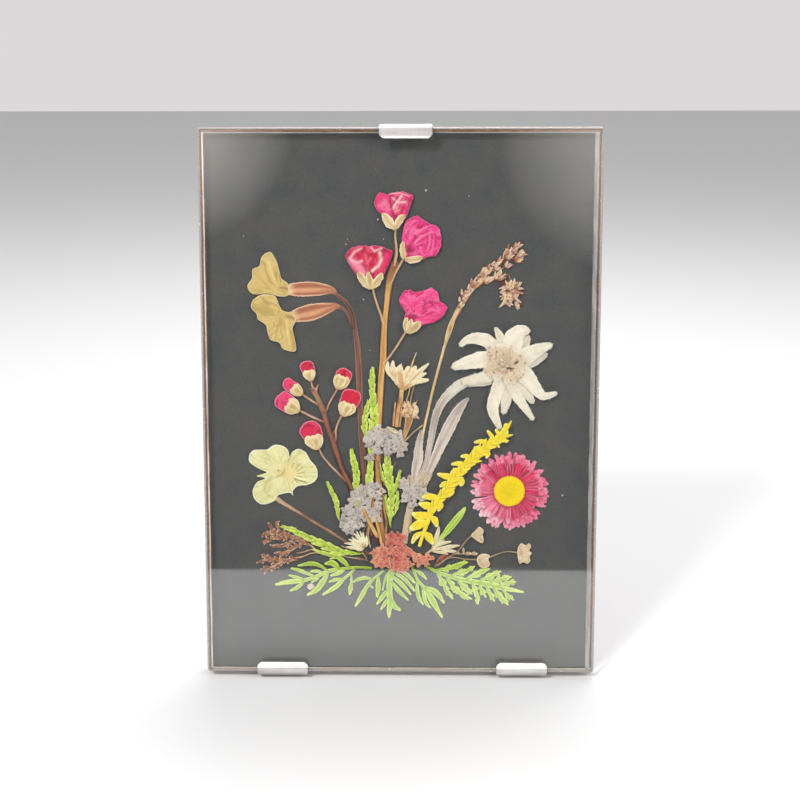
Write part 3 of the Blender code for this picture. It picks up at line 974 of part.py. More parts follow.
def main():
    """Clears the scene, builds the frame and its plants, and stands them on the table at the origin."""
    for obj in list(bpy.data.objects):
        bpy.data.objects.remove(obj)
    for name in (COLLECTION, "cutters"):
        bpy.context.scene.collection.children.link(bpy.data.collections.new(name))
    panel = bpy.data.objects.new("panel", None)
    bpy.data.collections[COLLECTION].objects.link(panel)
    panel.rotation_euler.x = math.pi / 2 - LEAN
    make_frame(panel)
    make_plants(panel)
    solids = [o for o in bpy.data.collections[COLLECTION].objects if o.type in {"MESH", "CURVE"}]
    low, high = world_corners(solids)
    panel.location = (-(low[0] + high[0]) / 2, -(low[1] + high[1]) / 2, -low[2])


main()
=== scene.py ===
"""Pressed flower frame: a glass clip frame with a bouquet of dried flowers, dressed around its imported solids.

A place on the panel is (x, y, z) in millimetres: x to the right of the glass's middle, y up from its bottom
edge, z out of the glass front, so that what lies behind the glass has a negative z. Panel.world turns such
places into metres in the frame's own axes, where +Z is up and the glass faces -Y.
"""
from __future__ import annotations

import logging
import math
import sys
from collections.abc import Iterator, Sequence
from dataclasses import dataclass, field
from enum import Enum

import bpy
import numpy as np
from mathutils import Matrix, Vector

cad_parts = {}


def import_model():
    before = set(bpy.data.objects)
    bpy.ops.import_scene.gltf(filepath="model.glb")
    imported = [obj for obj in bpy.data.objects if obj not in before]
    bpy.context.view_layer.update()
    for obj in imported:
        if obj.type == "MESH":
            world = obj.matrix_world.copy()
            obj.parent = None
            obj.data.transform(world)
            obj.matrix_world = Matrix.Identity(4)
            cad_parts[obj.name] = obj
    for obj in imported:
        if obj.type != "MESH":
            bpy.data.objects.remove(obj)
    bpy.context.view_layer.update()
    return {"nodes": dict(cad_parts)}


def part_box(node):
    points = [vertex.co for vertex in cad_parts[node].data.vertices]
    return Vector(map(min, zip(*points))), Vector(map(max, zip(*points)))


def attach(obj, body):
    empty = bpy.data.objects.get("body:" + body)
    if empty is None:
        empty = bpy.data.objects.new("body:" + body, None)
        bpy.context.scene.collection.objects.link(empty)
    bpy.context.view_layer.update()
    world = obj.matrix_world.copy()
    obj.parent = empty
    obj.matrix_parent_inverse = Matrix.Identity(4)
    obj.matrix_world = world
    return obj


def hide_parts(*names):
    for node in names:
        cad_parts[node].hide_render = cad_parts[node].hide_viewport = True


log = logging.getLogger("pressed_flower_frame")

MM = 0.001
LEAN = math.radians(10.0)
SIN, COS = math.sin(LEAN), math.cos(LEAN)
PANE_W, PANE_H, GLASS_T = 130.0, 180.0, 2.0
CARD_FRONT, CARD_T = -4.0, 0.4
CARD_LOW = 0.6
JOIN_GAP, SLOT_PITCH, GLASS_GAP = 0.15, 0.35, 0.03
LIGHT_GAIN = 1.12
ROOT_ROUND = 0.3
SPAN_STEPS = 12
# The eye that the outlines are drawn for: its place over the panel, and how far in front of it.
EYE, EYE_FAR = np.array([4.4, 140.6]), 390.0
# Rows of a triangular lattice lie this share of its step apart.
LATTICE_ROW = 0.866
GOLDEN_ANGLE = math.radians(137.508)
THINNEST, RIM_T = 0.06, 0.04

Array = np.ndarray
Path2D = Sequence[tuple[float, ...]]
Spot = tuple[float, float]
Place = tuple[float, float, float]
# A surface colour in linear light as an array, or a display colour from 0 to 255 as three numbers.
Tint = Array | Place
Finish = bpy.types.Material
Socket = bpy.types.NodeSocket
Nodes = dict[str, bpy.types.Object]


class Slot(Enum):
    """The record's material slots of the pieces that are made here."""

    GLASS = "glass"
    CARD = "dark_card"
    CLIP_STEEL = "clip_steel"
    BROWN_STEM = "brown_stem"
    GOLDEN_STEM = "golden_stem"
    OCHRE_PETAL = "ochre_petal"
    PINK_PETAL = "pink_petal"
    CRIMSON_BUD = "crimson_bud"
    PALE_PETAL = "pale_petal"
    BROWN_GRASS = "brown_grass"
    LIME_LEAF = "lime_leaf"
    SILVER_FLORET = "silver_floret"
    STRAW = "straw"
    BEIGE = "beige"
    RUSH = "rush"
    WOOLLY_STEM = "woolly_stem"
    WOOLLY_BRACT = "woolly_bract"
    YELLOW_LEAF = "yellow_leaf"
    DAISY_RAY = "daisy_ray"
    DAISY_DISC = "daisy_disc"
    CORAL_PETAL = "coral_petal"


# -------- colour and noise in numpy

def tone(colour: Tint) -> Array:
    """A colour as it looks under the studio light.

    Args:
        colour: The display colour, or a surface colour, which is kept.

    Returns:
        The surface colour: the display curve undone, over the light's gain.
    """
    if isinstance(colour, np.ndarray):
        return colour
    shown = np.array(colour) / 255.0
    linear = np.where(shown <= 0.04045, shown / 12.92, ((shown + 0.055) / 1.055) ** 2.4)
    return linear / LIGHT_GAIN


def blend(first: Tint, second: Tint, share: Array | float) -> Array:
    """first + (second - first) * share, with the share held between 0 and 1."""
    first, second = tone(first), tone(second)
    return first + (second - first) * np.clip(share, 0.0, 1.0)[..., None]


def step(low: float, high: float, value: Array) -> Array:
    """Smooth rise from 0 at low to 1 at high: 3t^2 - 2t^3 of the share t of the way."""
    t = np.clip((value - low) / (high - low), 0.0, 1.0)
    return t * t * (3.0 - 2.0 * t)


def mottle(x: Array, y: Array, seed: float) -> Array:
    """Value noise from 0 to 1: numbers hashed on the unit lattice, eased between its corners.

    Args:
        x: Places.
        y: Places.
        seed: Sets one pattern apart from another.

    Returns:
        The noise at each place.
    """
    left, low = np.floor(x), np.floor(y)
    fx, fy = x - left, y - low
    fx, fy = fx * fx * (3 - 2 * fx), fy * fy * (3 - 2 * fy)

    def at(i: Array, j: Array) -> Array:
        """The number at a lattice corner: the fraction of a large sine."""
        return np.mod(np.abs(np.sin(i * 127.1 + j * 311.7 + seed * 74.7) * 43758.5453), 1.0)

    under = at(left, low) * (1 - fx) + at(left + 1, low) * fx
    over = at(left, low + 1) * (1 - fx) + at(left + 1, low + 1) * fx
    return under * (1 - fy) + over * fy


def crumple(x: Array, y: Array, seed: float) -> Array:
    """Three octaves of value noise, each half as wide and half as strong, from 0 to 1."""
    return (4 * mottle(x, y, seed) + 2 * mottle(2.1 * x, 2.1 * y, seed + 3)
        + mottle(4.3 * x, 4.3 * y, seed + 7)) / 7


# -------- surfaces in numpy

@dataclass(frozen=True)
class Where:
    """Places on a surface: u of the way along it, v across or round it, (x, y) on the panel, off its rim."""

    u: Array
    v: Array
    x: Array
    y: Array
    off: Array

    def streaks(self, across: float, along: float, seed: float) -> Array:
        """Noise drawn out along the surface."""
        return mottle(self.v * across + 9.1 * seed, self.u * along, seed)

    def patches(self, size: float, seed: float) -> Array:
        """Uneven noise whose patches are about that many millimetres wide."""
        return crumple(self.x / size, self.y / size, seed)


@dataclass
class Skin:
    """Closed surfaces ready for a mesh: points, faces and a tint at each point."""

    points: Array
    faces: list[Array]
    tints: Array

    @staticmethod
    def of(skins: Sequence[Skin]) -> Skin:
        """One skin of several: their points in a row, and each one's faces raised by the points before.

        Args:
            skins: The skins to join.

        Returns:
            The joined skin.
        """
        starts = np.cumsum([0] + [len(s.points) for s in skins])
        faces = [face + start for s, start in zip(skins, starts) for face in s.faces]
        return Skin(np.vstack([s.points for s in skins]), faces, np.vstack([s.tints for s in skins]))

    def copies(self, places: Array, turns: Array, sizes: Array, tints: Array, shares: float = 1.0) -> Skin:
        """The skin repeated: each copy turned about z, scaled, moved to its place and tinted.

        Args:
            places: (n, 3) where the copies' origins go.
            turns: (n,) angles in radians.
            sizes: (n,) scales.
            tints: (n, 3) colours that the skin's own tints are multiplied by.
            shares: How much of the scale the height takes.

        Returns:
            All copies as one skin.
        """
        cos, sin = np.cos(turns)[:, None], np.sin(turns)[:, None]
        x, y, z = self.points.T
        size = sizes[:, None]
        moved = np.stack([places[:, :1] + (x * cos - y * sin) * size, places[:, 1:2] + (x * sin + y * cos)
            * size, places[:, 2:3] + z * (1 + (size - 1) * shares)], axis=-1)
        offsets = np.arange(len(places)) * len(self.points)
        faces = [(face[None] + offsets[:, None, None]).reshape(-1, face.shape[1]) for face in self.faces]
        return Skin(moved.reshape(-1, 3), faces, (self.tints[None] * tints[:, None]).reshape(-1, 3))


def flow(points: Path2D | Array, pitch: float, closed: bool = False) -> Array:
    """Catmull-Rom curve through the points, read off at even steps.

    Args:
        points: Places with any further numbers that are to be carried along, such as a width.
        pitch: The length of a step.
        closed: Whether the curve comes back to its first point, which isn't repeated.

    Returns:
        (n, k) places along the curve.
    """
    p = np.asarray(points, float)
    if closed:
        knots, spans = np.vstack([p[-1:], p, p[:2]]), len(p)
    else:
        knots, spans = np.vstack([2 * p[:1] - p[1:2], p, 2 * p[-1:] - p[-2:-1]]), len(p) - 1
    a, b, c, d = (knots[i:i + spans, None, :] for i in range(4))
    t = np.linspace(0.0, 1.0, SPAN_STEPS, endpoint=False)[None, :, None]
    curve = 0.5 * (2 * b + (c - a) * t + (2 * a - 5 * b + 4 * c - d) * t * t + (3 * b - a - 3 * c + d)
        * t ** 3)
    curve = np.vstack([curve.reshape(-1, p.shape[1]), p[:1] if closed else p[-1:]])
    along = np.concatenate([[0.0], np.cumsum(np.linalg.norm(np.diff(curve[:, :2], axis=0), axis=1))])
    count = max(int(along[-1] / pitch), 4) + 1
    at = np.linspace(0.0, along[-1], count, endpoint=not closed)
    return np.column_stack([np.interp(at, along, column) for column in curve.T])


def headings(line: Array) -> Array:
    """Unit steps along a line of places."""
    ahead = np.gradient(line[:, :2], axis=0)
    return ahead / np.maximum(np.linalg.norm(ahead, axis=1, keepdims=True), 1e-9)


def blade(x: float, y: float, *steps: Place) -> Path2D:
    """A path from (x, y) whose points stand at a turn in radians and a reach, each with a width."""
    return [(x + reach * math.cos(turn), y + reach * math.sin(turn), wide) for turn, reach, wide in steps]


def span(start: Spot, end: Spot, wide: float, middle: float, rise: float = 0.0) -> Path2D:
    """A path from start to end through the middle, raised there, with its widths at the ends and there."""
    return [(*start, wide), ((start[0] + end[0]) / 2, (start[1] + end[1]) / 2 + rise, middle), (*end, wide)]


def tube_faces(rings: int, around: int) -> list[Array]:
    """Faces of rings joined in a row and closed by a pole at each end, which are the last two points.

    Args:
        rings: How many rings.
        around: Points on each ring.

    Returns:
        The quads between the rings, and the triangles at the poles.
    """
    i, j = np.meshgrid(np.arange(rings - 1), np.arange(around), indexing="ij")
    k = (j + 1) % around
    quads = np.stack([i * around + j, (i + 1) * around + j, (i + 1) * around + k, i * around + k], -1)
    j = np.arange(around)
    k = (j + 1) % around
    root, tip = rings * around, rings * around + 1
    last = (rings - 1) * around
    caps = np.vstack([np.stack([np.full(around, root), j, k], -1),
        np.stack([np.full(around, tip), last + k, last + j], -1)])
    return [quads.reshape(-1, 4), caps]


def ribbon(path: Path2D | Array, low: float, thick: float, look: Tissue, *, pitch: float = 0.3,
        across: int = 7, crown: float = 0.75, tip: float = 0.9, ragged: float = 0.0,
        twist: float = 0.0) -> Skin:
    """A stem, leaf, ray or bract as a flattened tube along a path.

    Point (u, v) lies v half widths to the left of the path's point u. Its height above the flat back is the
    thickness times 1 - crown + crown * sqrt(1 - v^2), plus the look's relief, plus v times the twist.

    Args:
        path: (x, y, width) from root to tip, which the curve passes through.
        low: Height of the flat back.
        thick: Thickness at the midrib.
        look: Gives the tints and the relief.
        pitch: Step along the path.
        across: Points from one edge to the other.
        crown: Share of the thickness that is gone at the edges.
        tip: How far the tip is rounded out, in half widths.
        ragged: Share by which the two edges waver in and out.
        twist: How much higher the left edge lies than the middle.

    Returns:
        The closed skin.
    """
    line = flow(path, pitch)
    xy, half = line[:, :2], np.maximum(line[:, 2], THINNEST) / 2
    ahead = headings(line)
    side = np.column_stack((-ahead[:, 1], ahead[:, 0]))
    v = np.sin(np.linspace(-np.pi / 2, np.pi / 2, across))
    waver = 1 + ragged * (2
        * mottle(*np.meshgrid(np.sign(v) * 3 + xy[0, 0], np.arange(len(xy)) * pitch * 1.7), 5.0) - 1)
    place = xy[:, None] + side[:, None] * (half[:, None] * waver * v)[..., None]
    u = np.broadcast_to(np.linspace(0.0, 1.0, len(xy))[:, None], place.shape[:2])
    vv = np.broadcast_to(v, u.shape)
    where = Where(u, vv, place[..., 0], place[..., 1], half[:, None] * (1 - np.abs(vv)))
    height = thick * (1 - crown + crown * np.sqrt(1 - vv * vv)) + twist * vv + look.relief(where) * (1
        - vv ** 8)
    top = np.dstack([place, low + np.maximum(height, 0.03)])
    belly = np.column_stack([xy, np.full(len(xy), low) - abs(twist) * 0.2])[:, None]
    ends = np.array([[*(xy[0] - ahead[0] * half[0] * ROOT_ROUND), low + thick * 0.4],
        [*(xy[-1] + ahead[-1] * half[-1] * tip), low + thick * 0.4]])
    tints = look.paint(where)
    middle = tints[:, across // 2]
    # The flat back, and the sides down to it, take the middle's tint at 0.8: painted shade.
    tints = np.concatenate([tints, middle[:, None] * 0.8], axis=1)
    points = np.vstack([np.concatenate([top, belly], axis=1).reshape(-1, 3), ends])
    return Skin(points, tube_faces(len(xy), across + 1),
        np.vstack([tints.reshape(-1, 3), middle[0], middle[-1]]))


def fan(heart: Spot, outline: Array, low: float, thick: float, look: Petal, *, pitch: float = 0.28,
        rings: int, rim: float = 0.3, ragged: float = 0.0) -> Skin:
    """A petal sheet spread out from a heart: point (u, v) lies the share u of the way out, at the angle v.

    The front rises from the rim as a quarter circle and carries the look's relief, and the back is flat.

    Args:
        heart: Where the spokes start, inside the outline.
        outline: Closed outline, which the smooth curve passes through.
        low: Height of the flat back.
        thick: Thickness inside the rim.
        look: Gives the tints and the relief.
        pitch: Step along the outline.
        rings: Steps from the heart to the rim.
        rim: How far in from the outline the edge is rounded.
        ragged: How far the outline wavers in and out.

    Returns:
        The closed skin.
    """
    edge = flow(outline, pitch, closed=True)[:, :2]
    if np.sum(edge[:, 0] * np.roll(edge[:, 1], -1) - np.roll(edge[:, 0], -1) * edge[:, 1]) > 0:
        edge = edge[::-1]
    core = np.array(heart)
    spokes = edge - core
    reach = np.maximum(np.linalg.norm(spokes, axis=1), 1e-6)
    waver = ragged * (2 * crumple(edge[:, 0] * 0.9, edge[:, 1] * 0.9, 3.0) - 1)
    spokes = spokes * (1 + waver / reach)[:, None]
    out = (1 - (1 - np.linspace(1 / rings, 1.0, rings)) ** 1.25)[:, None]
    place = core + spokes[None] * out[..., None]
    u = np.broadcast_to(out, place.shape[:2])
    v = np.broadcast_to(np.arctan2(spokes[:, 1], spokes[:, 0]), u.shape)
    where = Where(u, v, place[..., 0], place[..., 1], (1 - u) * reach)
    bulge = np.sqrt(1 - (1 - np.clip(where.off / rim, 0, 1)) ** 2)
    height = np.maximum(thick - RIM_T + look.relief(where), 0.02)
    top = np.dstack([place, low + RIM_T + height * bulge])
    tints = look.paint(where)
    points = np.vstack([top.reshape(-1, 3), [[*heart, top[0, :, 2].mean()], [*heart, low]]])
    colours = np.vstack([tints.reshape(-1, 3), tints[0].mean(axis=0), tints[-1].mean(axis=0)])
    return Skin(points, [face[:, ::-1] for face in tube_faces(rings, len(edge))], colours)


@dataclass(frozen=True)
class Stroke:
    """A soft line painted on a sheet, such as a crease, a ridge or a spot, which may also raise it."""

    colour: Tint
    width: float
    line: tuple[Spot, ...]
    strength: float
    lift: float = 0.0

    def nearness(self, x: Array, y: Array) -> Array:
        """exp(-(d / width)^2), where d is the distance to the nearest stretch of the line.

        Args:
            x: Places on the panel.
            y: Places on the panel.

        Returns:
            From 0 far off to 1 on the line.
        """
        line = np.array(self.line if len(self.line) > 1 else self.line * 2)
        far = np.full(x.shape, 1e9)
        for (ax, ay), (bx, by) in zip(line, line[1:]):
            dx, dy = bx - ax, by - ay
            share = np.clip(((x - ax) * dx + (y - ay) * dy) / max(dx * dx + dy * dy, 1e-9), 0, 1)
            far = np.minimum(far, (x - ax - dx * share) ** 2 + (y - ay - dy * share) ** 2)
        return np.exp(-far / self.width ** 2)


def draw(tints: Tint, x: Array, y: Array, strokes: Sequence[Stroke]) -> Tint:
    """The tints with the strokes laid over them in their order.

    Args:
        tints: What they are laid on.
        x: Places on the panel.
        y: Places on the panel.
        strokes: The first is laid first.

    Returns:
        The new tints.
    """
    for stroke in strokes:
        tints = blend(tints, stroke.colour, stroke.nearness(x, y) * stroke.strength)
    return tints


def lifted(x: Array, y: Array, strokes: Sequence[Stroke]) -> Array:
    """The sum of what the strokes raise at each place."""
    return sum((stroke.nearness(x, y) * stroke.lift for stroke in strokes), np.zeros(x.shape))


@dataclass(frozen=True)
class Tissue:
    """A stem, leaf or ray: fine streaks along it, other tones at its edges, vein, root and tip, and ribs.

    The base goes to the streak colour by noise that is drawn out along the piece, then to the edge colour
    where |v| passes edge_from, to the vein colour along the middle, to the root colour before root_to and to
    the tip colour past tip_from.
    """

    base: Tint
    streak: Tint
    edge: Tint | None = None
    root: Tint | None = None
    tip: Tint | None = None
    vein: Tint | None = None
    streaks: float = 3.0
    along: float = 4.0
    edge_from: float = 0.6
    root_to: float = 0.35
    tip_from: float = 0.7
    seed: float = 0.0
    ribs: float = 0.0
    groove: float = 0.0
    crinkle: float = 0.05

    def paint(self, w: Where) -> Tint:
        """Tints at the places, with uneven patches about a millimetre wide laid over them.

        Args:
            w: The places on the surface.

        Returns:
            Their tints.
        """
        tints = blend(self.base, self.streak, step(0.3, 0.75, w.streaks(self.streaks, self.along, self.seed)))
        shares = ((self.edge, step(self.edge_from, 1.0, np.abs(w.v))),
            (self.vein, 0.7 * np.exp(-(w.v / 0.16) ** 2)), (self.root, 1 - step(0.0, self.root_to, w.u)),
            (self.tip, step(self.tip_from, 1.0, w.u)))
        for colour, share in shares:
            if colour is not None:
                tints = blend(tints, colour, share)
        return tints * (0.88 + 0.24 * w.patches(1.1, self.seed))[..., None]

    def relief(self, w: Where) -> Array:
        """Ribs along it, a groove down its middle and a fine crinkle."""
        return (self.ribs * np.cos(w.v * 10.0) - self.groove * np.exp(-(w.v / 0.18) ** 2) + self.crinkle
            * (2 * w.patches(1.2, self.seed + 1) - 1))


@dataclass(frozen=True)
class Petal:
    """A spread petal: creases that run out from its heart and waver, painted darker as shade, crests painted
    lighter as highlight, a rim and marks.

    The folds are noise over the spoke's angle, bent by wide patches. Where it passes one half a thin crease
    runs, and a crest lies beside it where the noise is near 0.64.
    """

    base: Tint
    fold: Tint
    light: Tint
    rim: Tint
    folds: float
    waver: float
    crest: float
    depth: float
    crinkle: float
    rim_in: float
    rim_out: float
    seed: float
    heart: Tint | None = None
    heart_to: float = 0.3
    marks: tuple[Stroke, ...] = ()

    def folded(self, w: Where) -> tuple[Array, Array]:
        """How near each place lies to a crease, and how near to a crest.

        Args:
            w: The places on the surface.

        Returns:
            Both shares, from 0 to 1.
        """
        bent = self.waver * (w.patches(3.4, self.seed) + w.u)
        noise = mottle(w.v * self.folds + bent, w.u * 1.5 + 0.6 * bent, self.seed)
        return 1 - step(0.02, 0.12, np.abs(noise - 0.5)), 1 - step(0.02, 0.17, np.abs(noise - 0.64))

    def paint(self, w: Where) -> Tint:
        """Tints at the places.

        Args:
            w: The places on the surface.

        Returns:
            Their tints.
        """
        valley, crest = self.folded(w)
        # The fold colour along the creases is painted shade, and in the wide patches the petal's own uneven
        # tone; the light colour along the crests is painted highlight.
        tints = blend(self.base, self.fold,
            0.75 * valley + 0.55 * step(0.42, 0.75, w.patches(2.9, self.seed + 2)))
        tints = blend(tints, self.light, self.crest * crest)
        if self.heart is not None:
            tints = blend(tints, self.heart, 1 - step(0.0, self.heart_to, w.u))
        tints = draw(tints, w.x, w.y, self.marks)
        return blend(tints, self.rim, 0.9 * (1 - step(self.rim_in, self.rim_out, w.off)))

    def relief(self, w: Where) -> Array:
        """The folds and a fine crinkle, which fade to the rim, and what the marks raise."""
        valley, crest = self.folded(w)
        return ((self.depth * (0.6 * crest - valley) + self.crinkle * (2 * w.patches(1.7, self.seed + 4) - 1))
            * step(0.0, 0.7, w.off) + lifted(w.x, w.y, self.marks))


@dataclass(frozen=True)
class Bead:
    """A small smooth floret: one tone in its middle, another outside it and a third along its rim."""

    inner: Tint
    outer: Tint
    rim: Tint
    lobes: int = 0

    def paint(self, w: Where) -> Tint:
        """Tints at the places; the middle's edge swells with the lobes."""
        reach = w.u + 0.1 * np.sin(self.lobes * w.v) + 0.16 * (w.patches(0.8, 0.0) - 0.5)
        return blend(blend(self.inner, self.outer, step(0.2, 0.7, reach)), self.rim,
            0.8 * step(0.8, 1.0, w.u))

    def relief(self, w: Where) -> Array:
        """No relief: nought at every place."""
        return np.zeros(w.u.shape)


@dataclass(frozen=True)
class Shoot:
    """A stem or leaf as (x, y, width) from root to tip, and the shoots or paths that grow from its sides."""

    path: Path2D
    left: tuple[Shoot | Path2D, ...] = ()
    right: tuple[Shoot | Path2D, ...] = ()
    scales: float = 0.0

    def all(self, level: int = 0) -> Iterator[tuple[int, Shoot]]:
        """This shoot and all on it, each begun on its parent's middle, with its count of forks below.

        Args:
            level: How many forks lie below this shoot.

        Returns:
            Each level with its shoot, this one first.
        """
        yield level, self
        for side in (*self.left, *self.right):
            shoot = side if isinstance(side, Shoot) else Shoot(side)
            yield from shoot.grown_from(self.path).all(level + 1)

    def grown_from(self, parent: Path2D) -> Shoot:
        """The shoot with a first place on its parent, a little nearer to the root than its own.

        Args:
            parent: The path that it grows from.

        Returns:
            The longer shoot, or this one where it starts on the parent already.
        """
        line = flow(parent, 0.2)
        gaps = np.hypot(line[:, 0] - self.path[0][0], line[:, 1] - self.path[0][1])
        nearest = int(gaps.argmin())
        if gaps[nearest] < 0.3:
            return self
        foot = line[max(nearest - int(gaps[nearest] * 0.7 / 0.2), 0)]
        start = (float(foot[0]), float(foot[1]), self.path[0][2] * 0.8)
        return Shoot([start, *self.path], self.left, self.right, self.scales)


def low_of(slot: int) -> float:
    """Height of the back of what lies in that slot, slot 0 being on the card."""
    return CARD_FRONT + JOIN_GAP + slot * SLOT_PITCH


def within(outline: Array, x: Array, y: Array) -> Array:
    """Whether each place lies inside the outline: a line to its right crosses it an odd number of times.

    Args:
        outline: (n, 2) corners.
        x: Places.
        y: Places.

    Returns:
        True for each place inside.
    """
    ax, ay = outline[:, 0], outline[:, 1]
    bx, by = np.roll(ax, -1), np.roll(ay, -1)
    py, px = y[:, None], x[:, None]
    crosses = (ay > py) != (by > py)
    at = ax + (py - ay) * (bx - ax) / np.where(by == ay, 1e-9, by - ay)
    return np.sum(crosses & (px < at), axis=1) % 2 == 1


def sown(outline: Array, pitch: float, seed: int, *, inset: float) -> Array:
    """Places strewn evenly inside an outline: a triangular lattice, each moved by up to a third of a step.

    Args:
        outline: Closed outline.
        pitch: Step of the lattice.
        seed: Of the moves.
        inset: Places nearer to the outline than this are left out.

    Returns:
        (n, 2) places.
    """
    low, high = outline.min(axis=0), outline.max(axis=0)
    i, j = np.meshgrid(np.arange(low[0], high[0] + pitch, pitch),
        np.arange(low[1], high[1] + pitch, pitch * LATTICE_ROW))
    i = i + (np.arange(i.shape[0]) % 2)[:, None] * pitch / 2
    places = np.column_stack([i.ravel(), j.ravel()])
    places = places + np.random.default_rng(seed).uniform(-pitch / 3, pitch / 3, places.shape)
    keep = within(outline, places[:, 0], places[:, 1])
    edge = flow(outline, 0.5, closed=True)
    near = np.linalg.norm(places[:, None] - edge[None, :, :2], axis=-1).min(axis=1)
    return places[keep & (near > inset)]


# -------- finishes

class Bench:
    """A material's node tree while it is being made."""

    def __init__(self, name: str) -> None:
        """Starts a material that holds one Principled shader and its output.

        Args:
            name: The material's name.
        """
        self.material = bpy.data.materials.new(name)
        self.material.use_nodes = True
        self.tree = self.material.node_tree
        self.shader = self.tree.nodes["Principled BSDF"]

    def add(self, kind: str, sockets: dict | None = None, **settings: object) -> bpy.types.Node:
        """A new node with its settings, whose named inputs are given values or linked to output sockets.

        Args:
            kind: The node's type.
            sockets: Inputs by name or number.
            **settings: The node's own properties.

        Returns:
            The node.
        """
        node = self.tree.nodes.new(kind)
        for key, value in settings.items():
            setattr(node, key, value)
        for key, value in (sockets or {}).items():
            self.feed(node.inputs[key], value)
        return node

    def feed(self, socket: Socket, value: object) -> None:
        """Links an output to the socket, or sets the socket's own value.

        Args:
            socket: The input.
            value: An output socket or a plain value.
        """
        if isinstance(value, Socket):
            self.tree.links.new(value, socket)
        else:
            socket.default_value = value

    def place(self, turn: Place = (0.0, 0.0, 0.0), scale: Place = (1.0, 1.0, 1.0)) -> Socket:
        """Object coordinates, turned and scaled by a Mapping node."""
        coords = self.add("ShaderNodeTexCoord").outputs["Object"]
        return self.add("ShaderNodeMapping",
            {"Vector": coords, "Rotation": turn, "Scale": scale}).outputs["Vector"]

    def noise(self, at: Socket, size_mm: float, detail: float = 3.0, rough: float = 0.55) -> Socket:
        """Fractal noise whose blotches are about that many millimetres wide."""
        return self.add("ShaderNodeTexNoise", {"Vector": at, "Scale": 1.0 / (size_mm * MM), "Detail": detail,
            "Roughness": rough}).outputs["Fac"]

    def spread(self, value: Socket, low: float, high: float, to_low: float, to_high: float) -> Socket:
        """The value mapped from one range to another and held inside it.

        Args:
            value: The output to map.
            low: Start of its range.
            high: End of its range.
            to_low: What the start becomes.
            to_high: What the end becomes.

        Returns:
            The mapped output.
        """
        return self.add("ShaderNodeMapRange", {"Value": value, "From Min": low, "From Max": high,
            "To Min": to_low, "To Max": to_high}).outputs["Result"]

    def mix(self, first: object, second: object, share: object, blend_type: str = "MIX") -> Socket:
        """Two colours mixed by a share.

        Args:
            first: Colour or output at share 0.
            second: Colour or output at share 1.
            share: Number or output.
            blend_type: How the second is laid over the first.

        Returns:
            The mixed colour.
        """
        node = self.add("ShaderNodeMix", data_type="RGBA", blend_type=blend_type)
        colours = [s for s in node.inputs if s.type == "RGBA"]
        self.feed(node.inputs["Factor"], share)
        for socket, value in zip(colours, (first, second)):
            self.feed(socket, value)
        return next(s for s in node.outputs if s.type == "RGBA")

    def bump(self, height: Socket, depth_mm: float, strength: float) -> None:
        """Bends the shader's normal by a height, whose full range is that many millimetres."""
        node = self.add("ShaderNodeBump", {"Height": height, "Distance": depth_mm * MM, "Strength": strength})
        self.feed(self.shader.inputs["Normal"], node.outputs["Normal"])

    def set(self, **values: float) -> None:
        """Sets the shader's own sockets, by their names with _ for a space."""
        for key, value in values.items():
            self.feed(self.shader.inputs[key.replace("_", " ")], value)


@dataclass(frozen=True)
class Pressed:
    """Dried plant tissue: the piece's own tint, darkened by fine grain, with a crinkled bump.

    The colour is the tint times a grain from fractal noise on Object coordinates. Roughness follows the same
    noise, and a finer one makes the bump.
    """

    name: str
    roughness: float = 0.62
    grain_mm: float = 0.35
    depth: float = 0.14
    bump_mm: float = 0.03
    sheen: float = 0.0

    def material(self) -> Finish:
        """The tissue's finish.

        Returns:
            The node material.
        """
        bench = Bench(self.name)
        at = bench.place()
        tint = bench.add("ShaderNodeVertexColor", layer_name="tint").outputs["Color"]
        grain = bench.noise(at, self.grain_mm, 4.0, 0.6)
        shade = bench.spread(grain, 0.3, 0.7, 1.0 - self.depth, 1.0 + self.depth * 0.6)
        bench.set(Base_Color=bench.mix(tint, shade, 1.0, "MULTIPLY"), Roughness=bench.spread(grain, 0.3, 0.7,
            self.roughness - 0.08, self.roughness + 0.08), Specular_IOR_Level=0.3, Sheen_Weight=self.sheen,
            Sheen_Roughness=0.5)
        bench.bump(bench.noise(at, self.grain_mm * 0.6, 3.0), self.bump_mm, 0.7)
        return bench.material


PRESSED = {
    Slot.BROWN_STEM: Pressed("brown_stalk", 0.5),
    Slot.GOLDEN_STEM: Pressed("golden_stalk", 0.45, depth=0.12),
    Slot.OCHRE_PETAL: Pressed("ochre_corolla", 0.6, depth=0.07),
    Slot.PINK_PETAL: Pressed("pink_rosette", 0.55, depth=0.1, bump_mm=0.05),
    Slot.CRIMSON_BUD: Pressed("crimson_bud_petals", 0.5, depth=0.1, bump_mm=0.05),
    Slot.PALE_PETAL: Pressed("primrose_petal", 0.6, depth=0.05),
    Slot.BROWN_GRASS: Pressed("brown_husk", 0.65, depth=0.18),
    Slot.LIME_LEAF: Pressed("lime_leaf_tissue", 0.5, depth=0.08),
    Slot.SILVER_FLORET: Pressed("silver_grey_floret", 0.6, 0.3, 0.12),
    Slot.STRAW: Pressed("straw_bract", 0.6, depth=0.1),
    Slot.BEIGE: Pressed("beige_floret", 0.7, 0.3, 0.1),
    Slot.RUSH: Pressed("rush_husk", 0.6, 0.3, 0.14),
    Slot.WOOLLY_STEM: Pressed("woolly_felt", 0.85, 0.25, 0.1, 0.06, 0.3),
    Slot.WOOLLY_BRACT: Pressed("woolly_bract_felt", 0.85, 0.25, 0.08, 0.06, 0.3),
    Slot.YELLOW_LEAF: Pressed("yellow_scale_leaf", 0.55, depth=0.06),
    Slot.DAISY_RAY: Pressed("daisy_ray_petal", 0.55, depth=0.08),
    Slot.DAISY_DISC: Pressed("daisy_floret", 0.65, 0.25, 0.06),
    Slot.CORAL_PETAL: Pressed("coral_petal_mass", 0.6, 0.25, 0.12),
    Slot.CARD: Pressed("pale_dust", 0.9),
}


